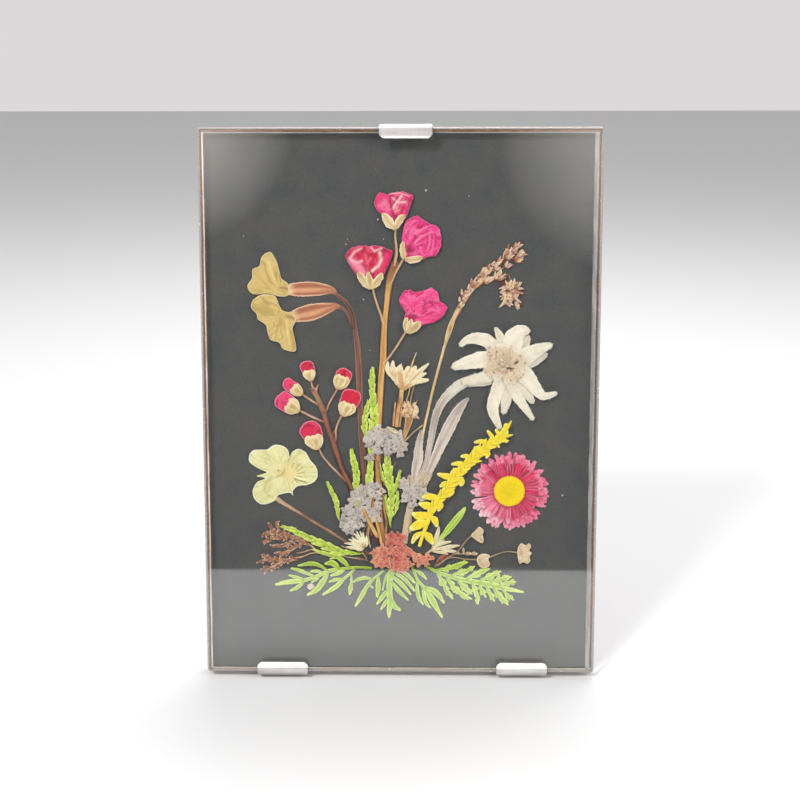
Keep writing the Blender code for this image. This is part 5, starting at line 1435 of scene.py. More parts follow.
@dataclass
class PinkSpray(Plant):
    """Thick golden stem that forks to four pink rosettes, each held in a cream calyx of broad sepals."""

    stem: Shoot = Shoot([(-4.6, 42, 1.4), (-5.9, 48, 1.6), (-6.8, 56, 1.8), (-7.2, 66, 1.9), (-7.4, 76, 1.9),
        (-7, 86, 2), (-6.6, 93, 2.1), (-6.2, 100, 2.1), (-5.6, 106, 2.3), (-5.4, 112, 2.1), (-5.1, 118, 1.9),
        (-4.5, 123, 1.8), (-3.8, 129, 2.1), (-2.9, 133, 2.5), (-1.6, 137, 2.3)],
        left=([(-5.6, 117.6, 1), (-6.1, 119.4, 1), (-7, 122, 0.9), (-8.2, 125.8, 0.8), (-9.1, 129.4, 0.8)],
        [(-2, 136, 1.2), (-1.2, 140.5, 1.1), (-1.6, 145, 0.8), (-1.5, 149, 0.8)]),
        right=([(-5.3, 104.6, 1), (-4.2, 105.8, 0.9), (-2.6, 107.9, 0.8), (-0.8, 110.5, 0.8),
        (1.7, 114.6, 0.8)], [(-3, 130.5, 0.7), (-1.4, 134, 0.8), (0.4, 137.2, 0.9), (1.4, 139.2, 0.8)]))
    # In each bloom's marks the dark sunken strokes along the creases are painted shade, and the pale raised
    # strokes along the ridges are the petals' paler folded edges with painted highlight on them.
    blooms: tuple[Bloom, ...] = (Bloom("pink_flower_top", (-2.2, 150.6),
        (((-1.6, 147.8, 1.1), (-3.2, 149.4, 2.6), (-4.6, 151.2, 2.4), (-5.6, 152.6, 1)), ((-1.5, 147.8, 0.9),
        (-1, 149.2, 1.8), (0.2, 151.2, 1.9), (1.3, 152, 0.9))),
        (Stroke((255, 210, 212), 0.42, ((0.4, 158.3), (-1, 156.4), (-2.6, 154.2)), 0.95, 0.16),
        Stroke((255, 210, 212), 0.36, ((-2.4, 157.6), (-0.8, 156.2), (1.6, 156.4)), 0.85, 0.1),
        Stroke((255, 170, 180), 0.34, ((-2.6, 154), (-0.8, 154.8), (-1.8, 153.2), (-0.2, 153.8)), 0.8, 0.08),
        Stroke(CLEFT_SHADE, 0.45, ((-3.2, 156.4), (-2.6, 153.2), (-1.6, 151.8)), 0.8, -0.12),
        Stroke(CLEFT_SHADE, 0.3, ((-1, 157.6), (-2.2, 155.9)), 0.6, -0.08), Stroke((255, 150, 186), 0.7,
        ((-6.6, 155), (-5, 156.8), (-4, 154)), 0.6), Stroke((255, 190, 200), 0.24,
        ((-3.4, 158.9), (0.2, 159.2), (2.8, 158.2)), 0.8, 0.05), Stroke(CLEFT_SHADE, 0.24,
        ((1.4, 155.6), (0.8, 154), (0, 152.2)), 0.5, -0.06)), 0.45, 1.0),
        Bloom("pink_flower_right", (2.6, 141), (((1.2, 138.3, 1.2), (0.9, 140, 1.6), (0.6, 142, 1.5),
        (1, 143.6, 0.8)), ((1.6, 138, 1), (3.4, 137.9, 2), (5.4, 138.2, 1.9), (7, 138.8, 0.8))),
        tuple(Stroke((200, 34, 100), 0.2, line, 0.7, -0.1) for line in (((3.6, 143.4), (6, 146),
        (9.2, 147.4)), ((2.6, 144), (4.6, 147), (7.6, 148.6)), ((1.4, 145.2), (3, 148), (5.2, 150)),
        ((5, 143), (8, 145), (10.4, 145.6)), ((8.2, 147.6), (8.8, 144.6), (8.2, 141.2)),
        ((10, 146), (10.2, 143.6), (9.4, 140.6)))) + tuple(Stroke((255, 150, 184), 0.3, line, 0.6, 0.08)
        for line in (((3, 144.6), (5.2, 147.2), (8.4, 148.2)), ((1.6, 146.4), (3.2, 149), (4.6, 150.4)),
        ((4.2, 143), (7, 145.4), (10.2, 146.8)), ((9.4, 146.6), (9.6, 144), (8.8, 141))))
        + (Stroke((178, 40, 70), 0.8, ((2.4, 141.6), (4, 140.8)), 0.7, -0.08),), 0.1, 2.0),
        Bloom("pink_flower_left", (-9.8, 131.6), (((-9.6, 128.6, 1.1), (-11.2, 130.6, 2.5),
        (-12.6, 132.4, 2.2), (-13.6, 133.8, 0.9)), ((-9.4, 128.6, 0.9), (-8, 130.4, 2.1), (-6.6, 132.2, 2),
        (-6, 133.6, 0.9)), ((-9.6, 128.8, 0.8), (-9.9, 130.6, 1.8), (-10.2, 132.6, 1.6), (-10.4, 134, 0.6))),
        (Stroke((196, 0, 44), 1.5, ((-13, 140.4), (-10.6, 138.2), (-8, 139.4)), 0.9, -0.1),
        Stroke((186, 0, 40), 0.9, ((-10.4, 137.6), (-9, 136.2), (-10.6, 133.4)), 0.9, -0.12),
        Stroke((255, 120, 160), 0.5, ((-11.4, 139.6), (-10.6, 137), (-9.6, 138.4)), 0.6, 0.05),
        Stroke((255, 164, 186), 1.3, ((-16, 137.4), (-13.8, 135.8), (-12, 133.8)), 0.8, 0.06),
        Stroke((255, 222, 212), 0.55, ((-6.6, 140.2), (-6.2, 138), (-7.2, 135.8), (-9, 134.4)), 0.95, 0.14),
        Stroke((255, 200, 205), 0.4, ((-16.2, 138.4), (-14.9, 140.4), (-12.6, 141.6)), 0.85, 0.1),
        Stroke((255, 200, 205), 0.34, ((-9.4, 142), (-8.4, 140.6), (-6, 141.6)), 0.85, 0.1),
        Stroke((255, 196, 204), 0.4, ((-15.8, 137.8), (-13.8, 137), (-12.4, 137.6)), 0.85, 0.08),
        Stroke((240, 60, 130), 0.7, ((-4.6, 139.8), (-5.2, 136.8), (-6.6, 134.2)), 0.6, 0.05)), 0.85, 3.0),
        Bloom("pink_flower_low", (3, 118.6), (((2.4, 114.4, 1.1), (1.8, 116, 1.5), (1.7, 117.8, 1.4),
        (2.2, 119.2, 0.7)), ((2.6, 114.4, 1.2), (4, 115.7, 2.6), (5.4, 116.9, 2.3), (6.2, 118, 0.9)),
        ((2.6, 114.6, 0.9), (3, 116.2, 1.9), (3.4, 117.8, 1.5), (3.6, 118.8, 0.6))),
        (Stroke(CLEFT_SHADE, 0.3, ((8.2, 124.6), (7.4, 122.4), (8.4, 121.4)), 0.6, -0.1), Stroke(CLEFT_SHADE, 0.25,
        ((9.4, 124.6), (10.8, 123.2), (11.4, 122.2)), 0.5, -0.08), Stroke((190, 30, 80), 0.5,
        ((3, 119.2), (5.4, 119.8)), 0.6, -0.08), Stroke(RIDGE_HIGHLIGHT, 0.45, ((2.6, 121), (5, 120.6), (7.2, 119.8)),
        0.5, 0.08), Stroke((255, 130, 185), 0.6, ((2, 126.4), (5.6, 125.4)), 0.5, 0.04)), 0.25, 4.0))

    def rosette(self, bloom: Bloom) -> None:
        """A crumpled sheet, loose petals over it, and the sepals over their foot.

        Each loose petal is the outline's stretch between two angles, drawn in towards the heart.

        Args:
            bloom: The flower to lay.
        """
        deep = bloom.shade
        base = blend((248, 66, 150), (222, 14, 70), deep)
        look = Petal(base, blend((206, 18, 96), (150, 0, 36), deep), blend((255, 128, 184), (246, 70, 116),
            deep), (255, 140, 180), heart=base * 0.62, folds=3.2, waver=1.8, crest=0.7, depth=0.3,
            crinkle=0.2, rim_in=0.02, rim_out=0.26, marks=bloom.marks, seed=bloom.seed)
        outline = self.panel.outline(bloom.node)
        low, heart = low_of(2), np.array(bloom.heart)
        skins = [fan(bloom.heart, outline, low, 0.3, look, rings=38, pitch=0.2, ragged=0.45)]
        edge = flow(outline, 0.5, closed=True)[:, :2] - heart
        turns = np.arctan2(edge[:, 1], edge[:, 0])
        far = np.linalg.norm(edge, axis=1) > 2.5
        middle = math.atan2(*np.mean(edge[far], axis=0)[::-1])
        bearing = (turns - middle + np.pi) % (2 * np.pi) - np.pi
        rng = np.random.default_rng(int(bloom.seed))
        for k, aim in enumerate((-1, 0.9, -0.1)):
            pick = np.flatnonzero(far & (np.abs(bearing - aim) < rng.uniform(0.38, 0.5)))
            if len(pick) < 4:
                continue
            stretch = edge[pick[np.argsort(bearing[pick])]]
            shape = heart + np.vstack([stretch * rng.uniform(0.8, 0.96), stretch.mean(axis=0)[None] * 0.2])
            part = Petal(blend(base, look.light, rng.uniform(0, 0.3)), look.fold, look.light, look.rim,
                folds=2.4, waver=1.6, crest=0.6, depth=0.22, crinkle=0.16, rim_in=0.02, rim_out=0.2,
                marks=bloom.marks, seed=bloom.seed * 7 + k)
            skins.append(fan(tuple(shape.mean(axis=0)), shape, low + 0.16 + 0.05 * k, 0.18, part, rings=20,
                pitch=0.22, ragged=0.4))
        for i, sepal in enumerate(bloom.sepals):
            cream = Tissue((232, 206, 158), (206, 174, 120), (252, 240, 206), root=(214, 184, 134),
                vein=(190, 156, 104), root_to=0.3, streaks=2.0, along=2.0, edge_from=0.55,
                seed=bloom.seed + i, groove=0.04)
            wider = [(x, y, w * 1.15) for x, y, w in sepal]
            skins.append(
                ribbon(wider, low + 0.5 + 0.05 * i, 0.18, cream, across=11, pitch=0.22, tip=0.8, ragged=0.2))
        self.lay(bloom.node, skins, Slot.PINK_PETAL)

    def build(self) -> None:
        """Lays the stem, then the four rosettes."""
        gold = Tissue((232, 184, 112), (198, 140, 76), (150, 92, 46), root=(196, 132, 64), tip=(150, 92, 62),
            root_to=0.4, tip_from=0.86, edge_from=0.7, along=9.0, seed=5.0, groove=0.05)
        tan = Tissue((214, 178, 140), (180, 140, 102), (140, 102, 70), streaks=1.6, edge_from=0.55)
        self.lay("pink_spray_stem",
            self.stems(self.stem, low_of(1), 0.34, [gold, tan], across=9, ragged=0.06), Slot.GOLDEN_STEM)
        for bloom in self.blooms:
            self.rosette(bloom)


@dataclass
class BudSpray(Plant):
    """Forked brown stem with six closed crimson buds, each half in its cream calyx."""

    stem: Shoot = Shoot([(-9.4, 47, 1.3), (-11.2, 51.5, 1.5), (-13.8, 57, 1.8), (-16.2, 63, 2),
        (-17.8, 66.5, 2.2), (-19.6, 70.5, 2.2), (-21.1, 75, 2.1), (-22.3, 79, 2.1), (-23.7, 83, 2.1),
        (-24.8, 87, 2), (-25.7, 89.8, 2), (-27.1, 93, 1.6), (-28.2, 95.4, 1.7), (-28.6, 96.4, 1.1)],
        left=([(-18, 65.4, 0.9), (-18.7, 66, 0.9), (-22.8, 70.4, 0.8), (-25.6, 73.8, 0.8),
        (-26.9, 76.4, 0.8)], [(-24.4, 84.8, 1), (-26.1, 85.4, 1), (-30.2, 87.4, 0.9), (-33.4, 89, 0.8)],
        [(-26.6, 90.6, 0.8), (-28, 91.4, 0.9), (-29.6, 92.5, 0.8), (-32.2, 94.2, 0.7)],
        [(-28.2, 95, 0.8), (-28.9, 97.2, 0.7), (-29.3, 99.6, 0.7)]),
        right=([(-22, 78, 0.9), (-21.2, 79.6, 0.9), (-21.2, 82, 0.8), (-20.5, 84.6, 0.8), (-19.1, 87.4, 0.8)],
        [(-24.8, 88, 0.8), (-24.1, 89.3, 0.8), (-23.2, 91.4, 0.7), (-20.6, 96, 0.7)],
        [(-28, 94.6, 0.7), (-27.3, 96.4, 0.7), (-26.8, 97.4, 0.4)]))
    buds: tuple[tuple[str, Spot, Spot, float, float], ...] = (("bud_top", (-29.5, 98.6), (-30.6, 105), 0.50,
        0.15), ("bud_left_upper", (-32.2, 94), (-38, 98.6), 0.50, 0.62), ("bud_left_lower", (-33.2, 88.4),
        (-40.6, 92.8), 0.50, 0.75), ("bud_right_upper", (-20, 95.9), (-17.6, 102.9), 0.56, 0.0),
        ("bud_right_lower", (-18.6, 87), (-15.6, 96), 0.45, 0.1),
        ("bud_low", (-27.4, 75.9), (-29.4, 85.4), 0.46, 0.25))

    def bud(self, node: str, foot: Spot, top: Spot, calyx: float, pink: float, seed: float) -> None:
        """A bud seen from the side: crimson petals wrapped over each other, in a calyx of cream teeth.

        Args:
            node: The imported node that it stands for.
            foot: Where its stalk meets it.
            top: Its far end.
            calyx: Share of the bud's length that the calyx covers.
            pink: How far the crimson is paled to pink.
            seed: Of its creases.
        """
        red = blend((216, 0, 44), (248, 74, 136), pink)
        look = Petal(red, blend((140, 0, 26), (206, 30, 86), pink), (250, 96, 130), (255, 156, 182),
            folds=2.4, waver=1.6, crest=0.3, depth=0.1, crinkle=0.08, rim_in=0.1, rim_out=0.55, seed=seed)
        outline = flow(self.panel.outline(node), 0.4, closed=True)[:, :2]
        way = np.subtract(top, foot)
        skins = [fan(tuple(np.add(foot, way * 0.45)), outline, low_of(2), 0.4, look, rings=24, pitch=0.2,
            ragged=0.25)]
        length = float(np.linalg.norm(way))
        ahead, left = way / length, np.array([-way[1], way[0]]) / length
        share, out = (outline - foot) @ ahead / length, (outline - foot) @ left
        for k, side in enumerate((-0.55, 0.55, 0)):
            path = []
            for s in (0.02, 0.3, 0.62, 0.9, 1.1 if k < 2 else 1.0):
                near = np.abs(share - s * calyx) < 0.09
                sides = out[near].min(initial=-0.3), out[near].max(initial=0.3)
                half = (sides[1] - sides[0]) / 2 * np.interp(s, (0, 0.3, 0.6, 0.9, 1, 1.08),
                    (0.4, 0.8, 1, 0.85, 0.6, 0.35))
                middle = (sides[0] + sides[1]) / 2 + side * (sides[1] - sides[0]) / 2 * np.interp(s,
                    (0, 0.3, 0.6, 1), (0.4, 0.8, 0.95, 0.85))
                path.append((*(foot + ahead * length * s * calyx + left * middle),
                    half * (0.98 if k < 2 else 1.2)))
            cream = Tissue((238, 216, 166), (208, 176, 120), (254, 242, 208), root=(220, 190, 136),
                vein=(186, 154, 98) if k > 1 else None, tip=(250, 228, 182), streaks=2.0, along=1.8,
                edge_from=0.62, seed=seed + k, crinkle=0.02)
            skins.append(ribbon(path, low_of(2) + 0.56 + 0.04 * k, 0.16, cream, across=9, pitch=0.22, tip=0.5,
                ragged=0.12))
        self.lay(node, skins, Slot.CRIMSON_BUD)

    def build(self) -> None:
        """Lays the stem and then the buds."""
        brown = Tissue((140, 84, 62), (92, 50, 38), (66, 34, 26), tip=(176, 128, 98), edge_from=0.7,
            vein=(172, 112, 84), streaks=2.6, along=12.0, seed=7.0)
        twig = Tissue((222, 186, 156), (190, 146, 116), (140, 96, 74), root=(140, 86, 64), root_to=0.5,
            streaks=1.4, seed=8.0)
        skins = self.stems(self.stem, low_of(1), 0.3, [brown, twig], ragged=0.16)
        for x, y, turn in ((-19, 69, 2.2), (-22.6, 80.6, 0.9), (-25, 87.6, 2), (-28.2, 95.2, 2.4),
                (-16.4, 63.4, 0.8)):
            thorn = blade(x, y, (turn, 0, 1), (turn, 0.8, 0.7), (turn + 0.2, 1.7, 0.2))
            skins.append(ribbon(thorn, low_of(1) + 0.12, 0.2, brown, tip=0.2))
        self.lay("bud_spray_stem", skins, Slot.BROWN_STEM)
        for i, (node, foot, top, calyx, pink) in enumerate(self.buds):
            self.bud(node, foot, top, calyx, pink, 11.0 + i)


@dataclass
class Primrose(Plant):
    """Pale yellow flower of five broad lobes on a thin stem, its throat marked with short olive lines."""

    stem: Path2D = ((-9.8, 40.7, 1), (-13, 42.3, 1.1), (-17.8, 44.8, 1.2), (-24, 48.7, 1.2), (-32, 53.7, 1.2),
        (-38.6, 57.8, 1.3), (-40.6, 59.2, 1.6), (-41.6, 60, 1))
    heart: Spot = (-38.4, 68)

    @staticmethod
    def marks() -> tuple[Stroke, ...]:
        """The throat's olive lines and brown dot, the creases between the lobes, painted darker as shade with
        a white painted highlight beside them, and the grey fold.

        Returns:
            The strokes in the order they are laid in.
        """
        olive, white, grey = (158, 140, 70), (254, 248, 204), (200, 186, 130)
        throat = tuple(Stroke(olive, 0.17, line, 0.75, -0.03) for line in (((-34.6, 69.2), (-33.2, 71.2)),
            ((-34, 68.6), (-32.2, 69.8)), ((-33.8, 67.8), (-31.6, 68.4)), ((-35.8, 69.8), (-35.2, 71.4)),
            ((-34.4, 66.9), (-32.4, 66.8)), ((-35, 66), (-33.6, 64.8))))
        return (Stroke((248, 220, 150), 2.6, ((-37, 68.3),), 0.8), *throat, Stroke((132, 96, 48), 0.3,
            ((-40.2, 68.8),), 0.95, -0.05), Stroke((206, 158, 100), 0.5, ((-40.6, 66.9), (-39.4, 67.3)), 0.6),
            # A crease between the lobes: painted shade along it, and a painted highlight in white beside it.
            Stroke((150, 130, 66), 0.26, ((-34.9, 66.2), (-33.4, 65.5), (-31, 64.9)), 0.85, -0.1),
            Stroke(white, 0.3, ((-34.9, 66.8), (-33.2, 66.1), (-30.6, 65.5)), 0.8, 0.08),
            Stroke(grey, 0.4, ((-42.4, 67), (-44.6, 64.6), (-45, 62.4), (-43.6, 60.4), (-42.2, 59.7)), 0.7,
            -0.06), Stroke(grey, 0.9, ((-42.8, 65.4), (-43.6, 62.6)), 0.4), Stroke(olive, 0.2,
            ((-36.4, 73.4), (-37, 71.6)), 0.6, -0.05), Stroke(grey, 0.25, ((-44, 74.8), (-43, 72.4)), 0.45,
            -0.04), Stroke(white, 0.35, ((-41.6, 76), (-40.4, 72.4)), 0.5, 0.05))

    def build(self) -> None:
        """Lays the stem, then the flower."""
        tan = Tissue((200, 162, 130), (150, 106, 78), (104, 68, 50), root=(128, 84, 60), root_to=0.4,
            tip=(214, 176, 142), streaks=2.2, along=12.0, seed=3.0)
        self.lay("primrose_stem", [ribbon(self.stem, low_of(0), 0.3, tan, ragged=0.1)], Slot.BROWN_STEM)
        look = Petal((236, 228, 170), (216, 208, 146), (248, 242, 200), (254, 250, 222), folds=6.0, waver=1.0,
            crest=0.35, depth=0.12, crinkle=0.07, rim_in=0.2, rim_out=0.66, marks=self.marks(), seed=6.0)
        self.lay("primrose_flower", [fan(self.heart, self.panel.outline("primrose_flower"), low_of(1), 0.2,
            look, rings=42, pitch=0.22, ragged=0.15)], Slot.PALE_PETAL)


@dataclass
class BrownGrass(Plant):
    """Two dry feathery tufts: thin forked stalks set with small pointed husks, paler at their tips."""

    upper: Shoot = Shoot([(-11, 38.6, 0.5), (-15.6, 39.4, 0.5), (-20.5, 40.2, 0.5), (-25.5, 41.3, 0.5),
        (-28.2, 42.2, 0.6), (-29.6, 43.5, 0.6), (-31.4, 44.5, 0.8), (-34, 45.4, 1), (-37, 46.7, 1.2),
        (-40, 47.9, 1.2), (-42.2, 48.7, 1), (-43.6, 50.2, 0.6)],
        left=([(-31.4, 44.5, 0.5), (-32.4, 44.3, 0.6), (-35.6, 42.6, 1.2), (-38.4, 41.2, 1.2),
        (-41, 40.4, 0.6)], [(-34.4, 45.4, 0.5), (-35.2, 45, 0.9), (-37.4, 44.2, 1.2), (-39.2, 43.3, 1),
        (-42.5, 43.1, 0.6)], [(-37.4, 46.6, 0.8), (-38.2, 46.2, 1), (-41, 46.2, 1.1), (-44, 45.4, 0.9),
        (-45.7, 44.8, 0.6)], [(-39.8, 47.8, 0.8), (-40.8, 47.8, 0.9), (-43.2, 47.5, 1), (-45.1, 47.5, 0.7)],
        [(-28.6, 42.4, 0.4), (-30.4, 42, 0.4), (-32, 41.4, 0.5), (-34.4, 41, 0.5)]),
        right=([(-39.6, 47.9, 0.8), (-40.4, 48.8, 0.8), (-41.2, 50.4, 0.7)],
        [(-29.6, 43.5, 0.4), (-32.2, 45.2, 0.5), (-34.6, 47.2, 0.7), (-36.2, 48.8, 0.7)]))
    lower: Shoot = Shoot([(-26, 40.9, 0.5), (-28.5, 41.1, 0.5), (-30.4, 40.7, 0.5), (-32.5, 39.8, 0.6),
        (-36, 39.1, 0.7), (-38.5, 38.7, 0.9), (-41, 38.6, 1.2), (-43.4, 39.2, 1.2), (-44.9, 40.2, 0.8)],
        left=([(-38.6, 38.6, 0.8), (-39.4, 38, 1), (-41.8, 36.7, 1.3), (-45, 35.3, 0.8)],
        [(-41.6, 38.8, 0.6), (-42.6, 38.7, 0.8), (-46.2, 38.5, 0.7)]))

    def husks(self, shoot: Shoot, low: float, seed: int) -> list[Skin]:
        """Husks along the wider stretches: each leaves its stalk at 15 to 45 degrees, every 0.8 mm.

        Args:
            shoot: The stalk with its forks.
            low: Height of the stalk's back.
            seed: Of their turns and lengths.

        Returns:
            The husks.
        """
        rng = np.random.default_rng(seed)
        skins = []
        for _, part in shoot.all():
            line = flow(part.path, 0.8)
            for (x, y, w), (dx, dy) in zip(line, headings(line)):
                if w < 0.62:
                    continue
                turn = math.atan2(dy, dx) + rng.choice((-1, 1)) * rng.uniform(0.25, 0.8)
                length, bend = rng.uniform(1.3, 2.2), rng.uniform(-0.35, 0.35)
                path = blade(x, y, (0, 0, 0.5), (turn, length / 2, 1.05), (turn + bend, length, 0.3))
                look = Tissue(blend((200, 144, 112), (124, 72, 52), rng.uniform()), (150, 92, 68),
                    (220, 176, 148), tip=(244, 218, 204), edge_from=0.7, seed=rng.uniform(0, 50))
                skins.append(ribbon(path, low + rng.uniform(0.02, 0.2), 0.15, look, across=5, tip=0.6))
        return skins

    def build(self) -> None:
        """Lays the upper tuft on the card and the lower one over it."""
        stalk = Tissue((226, 192, 158), (186, 142, 108), (150, 106, 78), tip=(180, 126, 94), streaks=1.4,
            seed=4.0)
        for node, shoot, slot in (("brown_spray_upper", self.upper, 0), ("brown_spray_lower", self.lower, 1)):
            skins = self.stems(shoot, low_of(slot), 0.2, [stalk], across=5)
            self.lay(node, skins + self.husks(shoot, low_of(slot), 3 + slot), Slot.BROWN_GRASS)


@dataclass
class ScaleSprigs(Plant):
    """Lime green sprigs, hidden under two rows of overlapping scale leaves."""

    tall: Shoot = Shoot([(-10.4, 60, 1.4), (-10.4, 64, 2.6), (-10, 68, 2.4), (-9.8, 73, 1.6), (-9.5, 79, 2),
        (-8.8, 84, 2.9), (-8.6, 88, 2.8), (-8.8, 92, 2.3), (-9.2, 96, 1.9), (-9.2, 100, 1.9),
        (-9, 103.2, 0.8)], left=(Shoot([(-10.2, 77.6, 1.2), (-10.7, 79.2, 1.2), (-11.5, 82.4, 1.9),
        (-11.6, 86, 1.9), (-11, 89.4, 1.6), (-10.3, 92.4, 0.6)], scales=3.2),), scales=3.2)
    side: Shoot = Shoot([(-13.4, 54, 1.1), (-14.2, 60, 1.6), (-14.6, 64.5, 2.2), (-14.4, 67.5, 2.2),
        (-14.9, 70, 2.2), (-15.5, 72.5, 2.1), (-16.2, 76.2, 0.9)], scales=2.6)
    small: Shoot = Shoot([(-19.8, 51.6, 0.8), (-20.6, 54, 1.1), (-20.9, 56.5, 1.5), (-21.3, 58.8, 1.8),
        (-22.4, 61.2, 1.5), (-23.4, 63.4, 1.2), (-24.2, 65.2, 0.5)], scales=2.6)
    centre: Shoot = Shoot([(-3.2, 49.8, 0.9), (-3.3, 54, 1.3), (-2.9, 58, 2.1), (-2.9, 62, 2.3),
        (-3.6, 66, 2.5), (-4.2, 70, 3), (-4.3, 74, 1.4)],
        left=(Shoot([(-3.4, 53, 0.8), (-4.1, 54.6, 0.9), (-4.7, 57.4, 1.4), (-5, 60.8, 0.6)], scales=2.4),
        Shoot([(-3.6, 62.6, 0.8), (-4.6, 64.4, 0.9), (-6.2, 67.4, 1.3), (-7, 71.4, 0.6)], scales=2.6)),
        right=(Shoot([(-2.6, 60.6, 0.9), (-1.6, 62.6, 1), (-0.8, 65.6, 1.4), (0, 69, 0.6)], scales=2.6),
        Shoot([(-2.8, 53, 0.7), (-1.4, 56, 1), (-0.9, 59, 1.2), (-1, 62, 0.6)], scales=2.6)), scales=3.0)
    low: Shoot = Shoot([(-12.5, 40.9, 0.8), (-16.5, 41.1, 1.4), (-19.5, 41.3, 2.2), (-22.3, 42.3, 2.9),
        (-25.5, 43.8, 2.8), (-29, 45.5, 2.3), (-32.5, 47.1, 2), (-35.8, 48.8, 1.8), (-39.6, 50.1, 0.8)],
        left=(Shoot([(-18.6, 40.9, 0.9), (-20.6, 40.4, 0.9), (-24.6, 40.7, 1.4), (-29, 42.3, 0.6)],
        scales=4.2),), scales=3.3)

    def scales(self, shoot: Shoot, low: float, rng: np.random.Generator) -> list[Skin]:
        """Scale leaves in two rows: each starts near the axis, bows out to the edge and points forwards.

        Args:
            shoot: One axis, with the pitch of its scales.
            low: Height of the axis's back.
            rng: Draws their reach, spread and shade.

        Returns:
            The axis and its scales.
        """
        line = flow(shoot.path, 0.1)
        along = np.concatenate([[0.0], np.cumsum(np.linalg.norm(np.diff(line[:, :2], axis=0), axis=1))])
        ahead = headings(line)
        pitch = shoot.scales

        def at(s: float, side: float, out: float, wide: float) -> Place:
            """The place so far along and so many widths out to one side, and the scale's width there.

            Args:
                s: Millimetres along the axis.
                side: 1 for its left side, -1 for its right.
                out: How many widths out.
                wide: The scale's width in widths of the axis.

            Returns:
                The place with the width.
            """
            s = min(max(s, 0.0), along[-1] + 0.3)
            x, y, w = (float(np.interp(s, along, column)) for column in line.T)
            i = min(int(s / 0.1), len(ahead) - 1)
            w = max(w, 0.9)
            return x - side * ahead[i, 1] * w * out, y + side * ahead[i, 0] * w * out, w * wide

        body = Tissue((150, 176, 44), (132, 158, 40), (176, 202, 70), crinkle=0.0)
        slim = [(x, y, w * 0.5) for x, y, w in shoot.path]
        skins = [ribbon(slim, low, 0.14, body, pitch=0.4)]
        for k, s in enumerate(np.arange(0.0, along[-1] - 0.35 * pitch, pitch / 2)):
            side = 1.0 if k % 2 == 0 else -1.0
            reach, out = pitch * rng.uniform(1.15, 1.45), rng.uniform(0.42, 0.58)
            path = [at(s - 0.1 * pitch, side, 0.06, 0.3), at(s + 0.3 * reach, side, 0.16, 0.52),
                at(s + 0.62 * reach, side, 0.27, 0.5), at(s + 0.86 * reach, side, out * 0.85, 0.34),
                at(s + 1.02 * reach, side, out, 0.12)]
            green = blend((218, 230, 96), (178, 204, 58), rng.uniform())
            look = Tissue(green, green * 0.92, (238, 248, 152), root=(136, 162, 38), tip=(240, 248, 160),
                root_to=0.32, edge_from=0.72, streaks=1.2, seed=rng.uniform(0, 50), crinkle=0.0)
            skins.append(ribbon(path, low + 0.04 + 0.05 * (k % 3), 0.17, look, tip=0.7))
        return skins

    def build(self) -> None:
        """Lays the five sprigs."""
        sprigs = (("green_sprig_tall", self.tall), ("green_sprig_side", self.side), ("green_sprig_small",
            self.small), ("green_sprig_centre", self.centre), ("green_sprig_low", self.low))
        for i, (node, shoot) in enumerate(sprigs):
            rng = np.random.default_rng(20 + i)
            self.lay(node, [skin for level, part in shoot.all()
                for skin in self.scales(part, low_of(2) - 0.04 * level, rng)], Slot.LIME_LEAF)


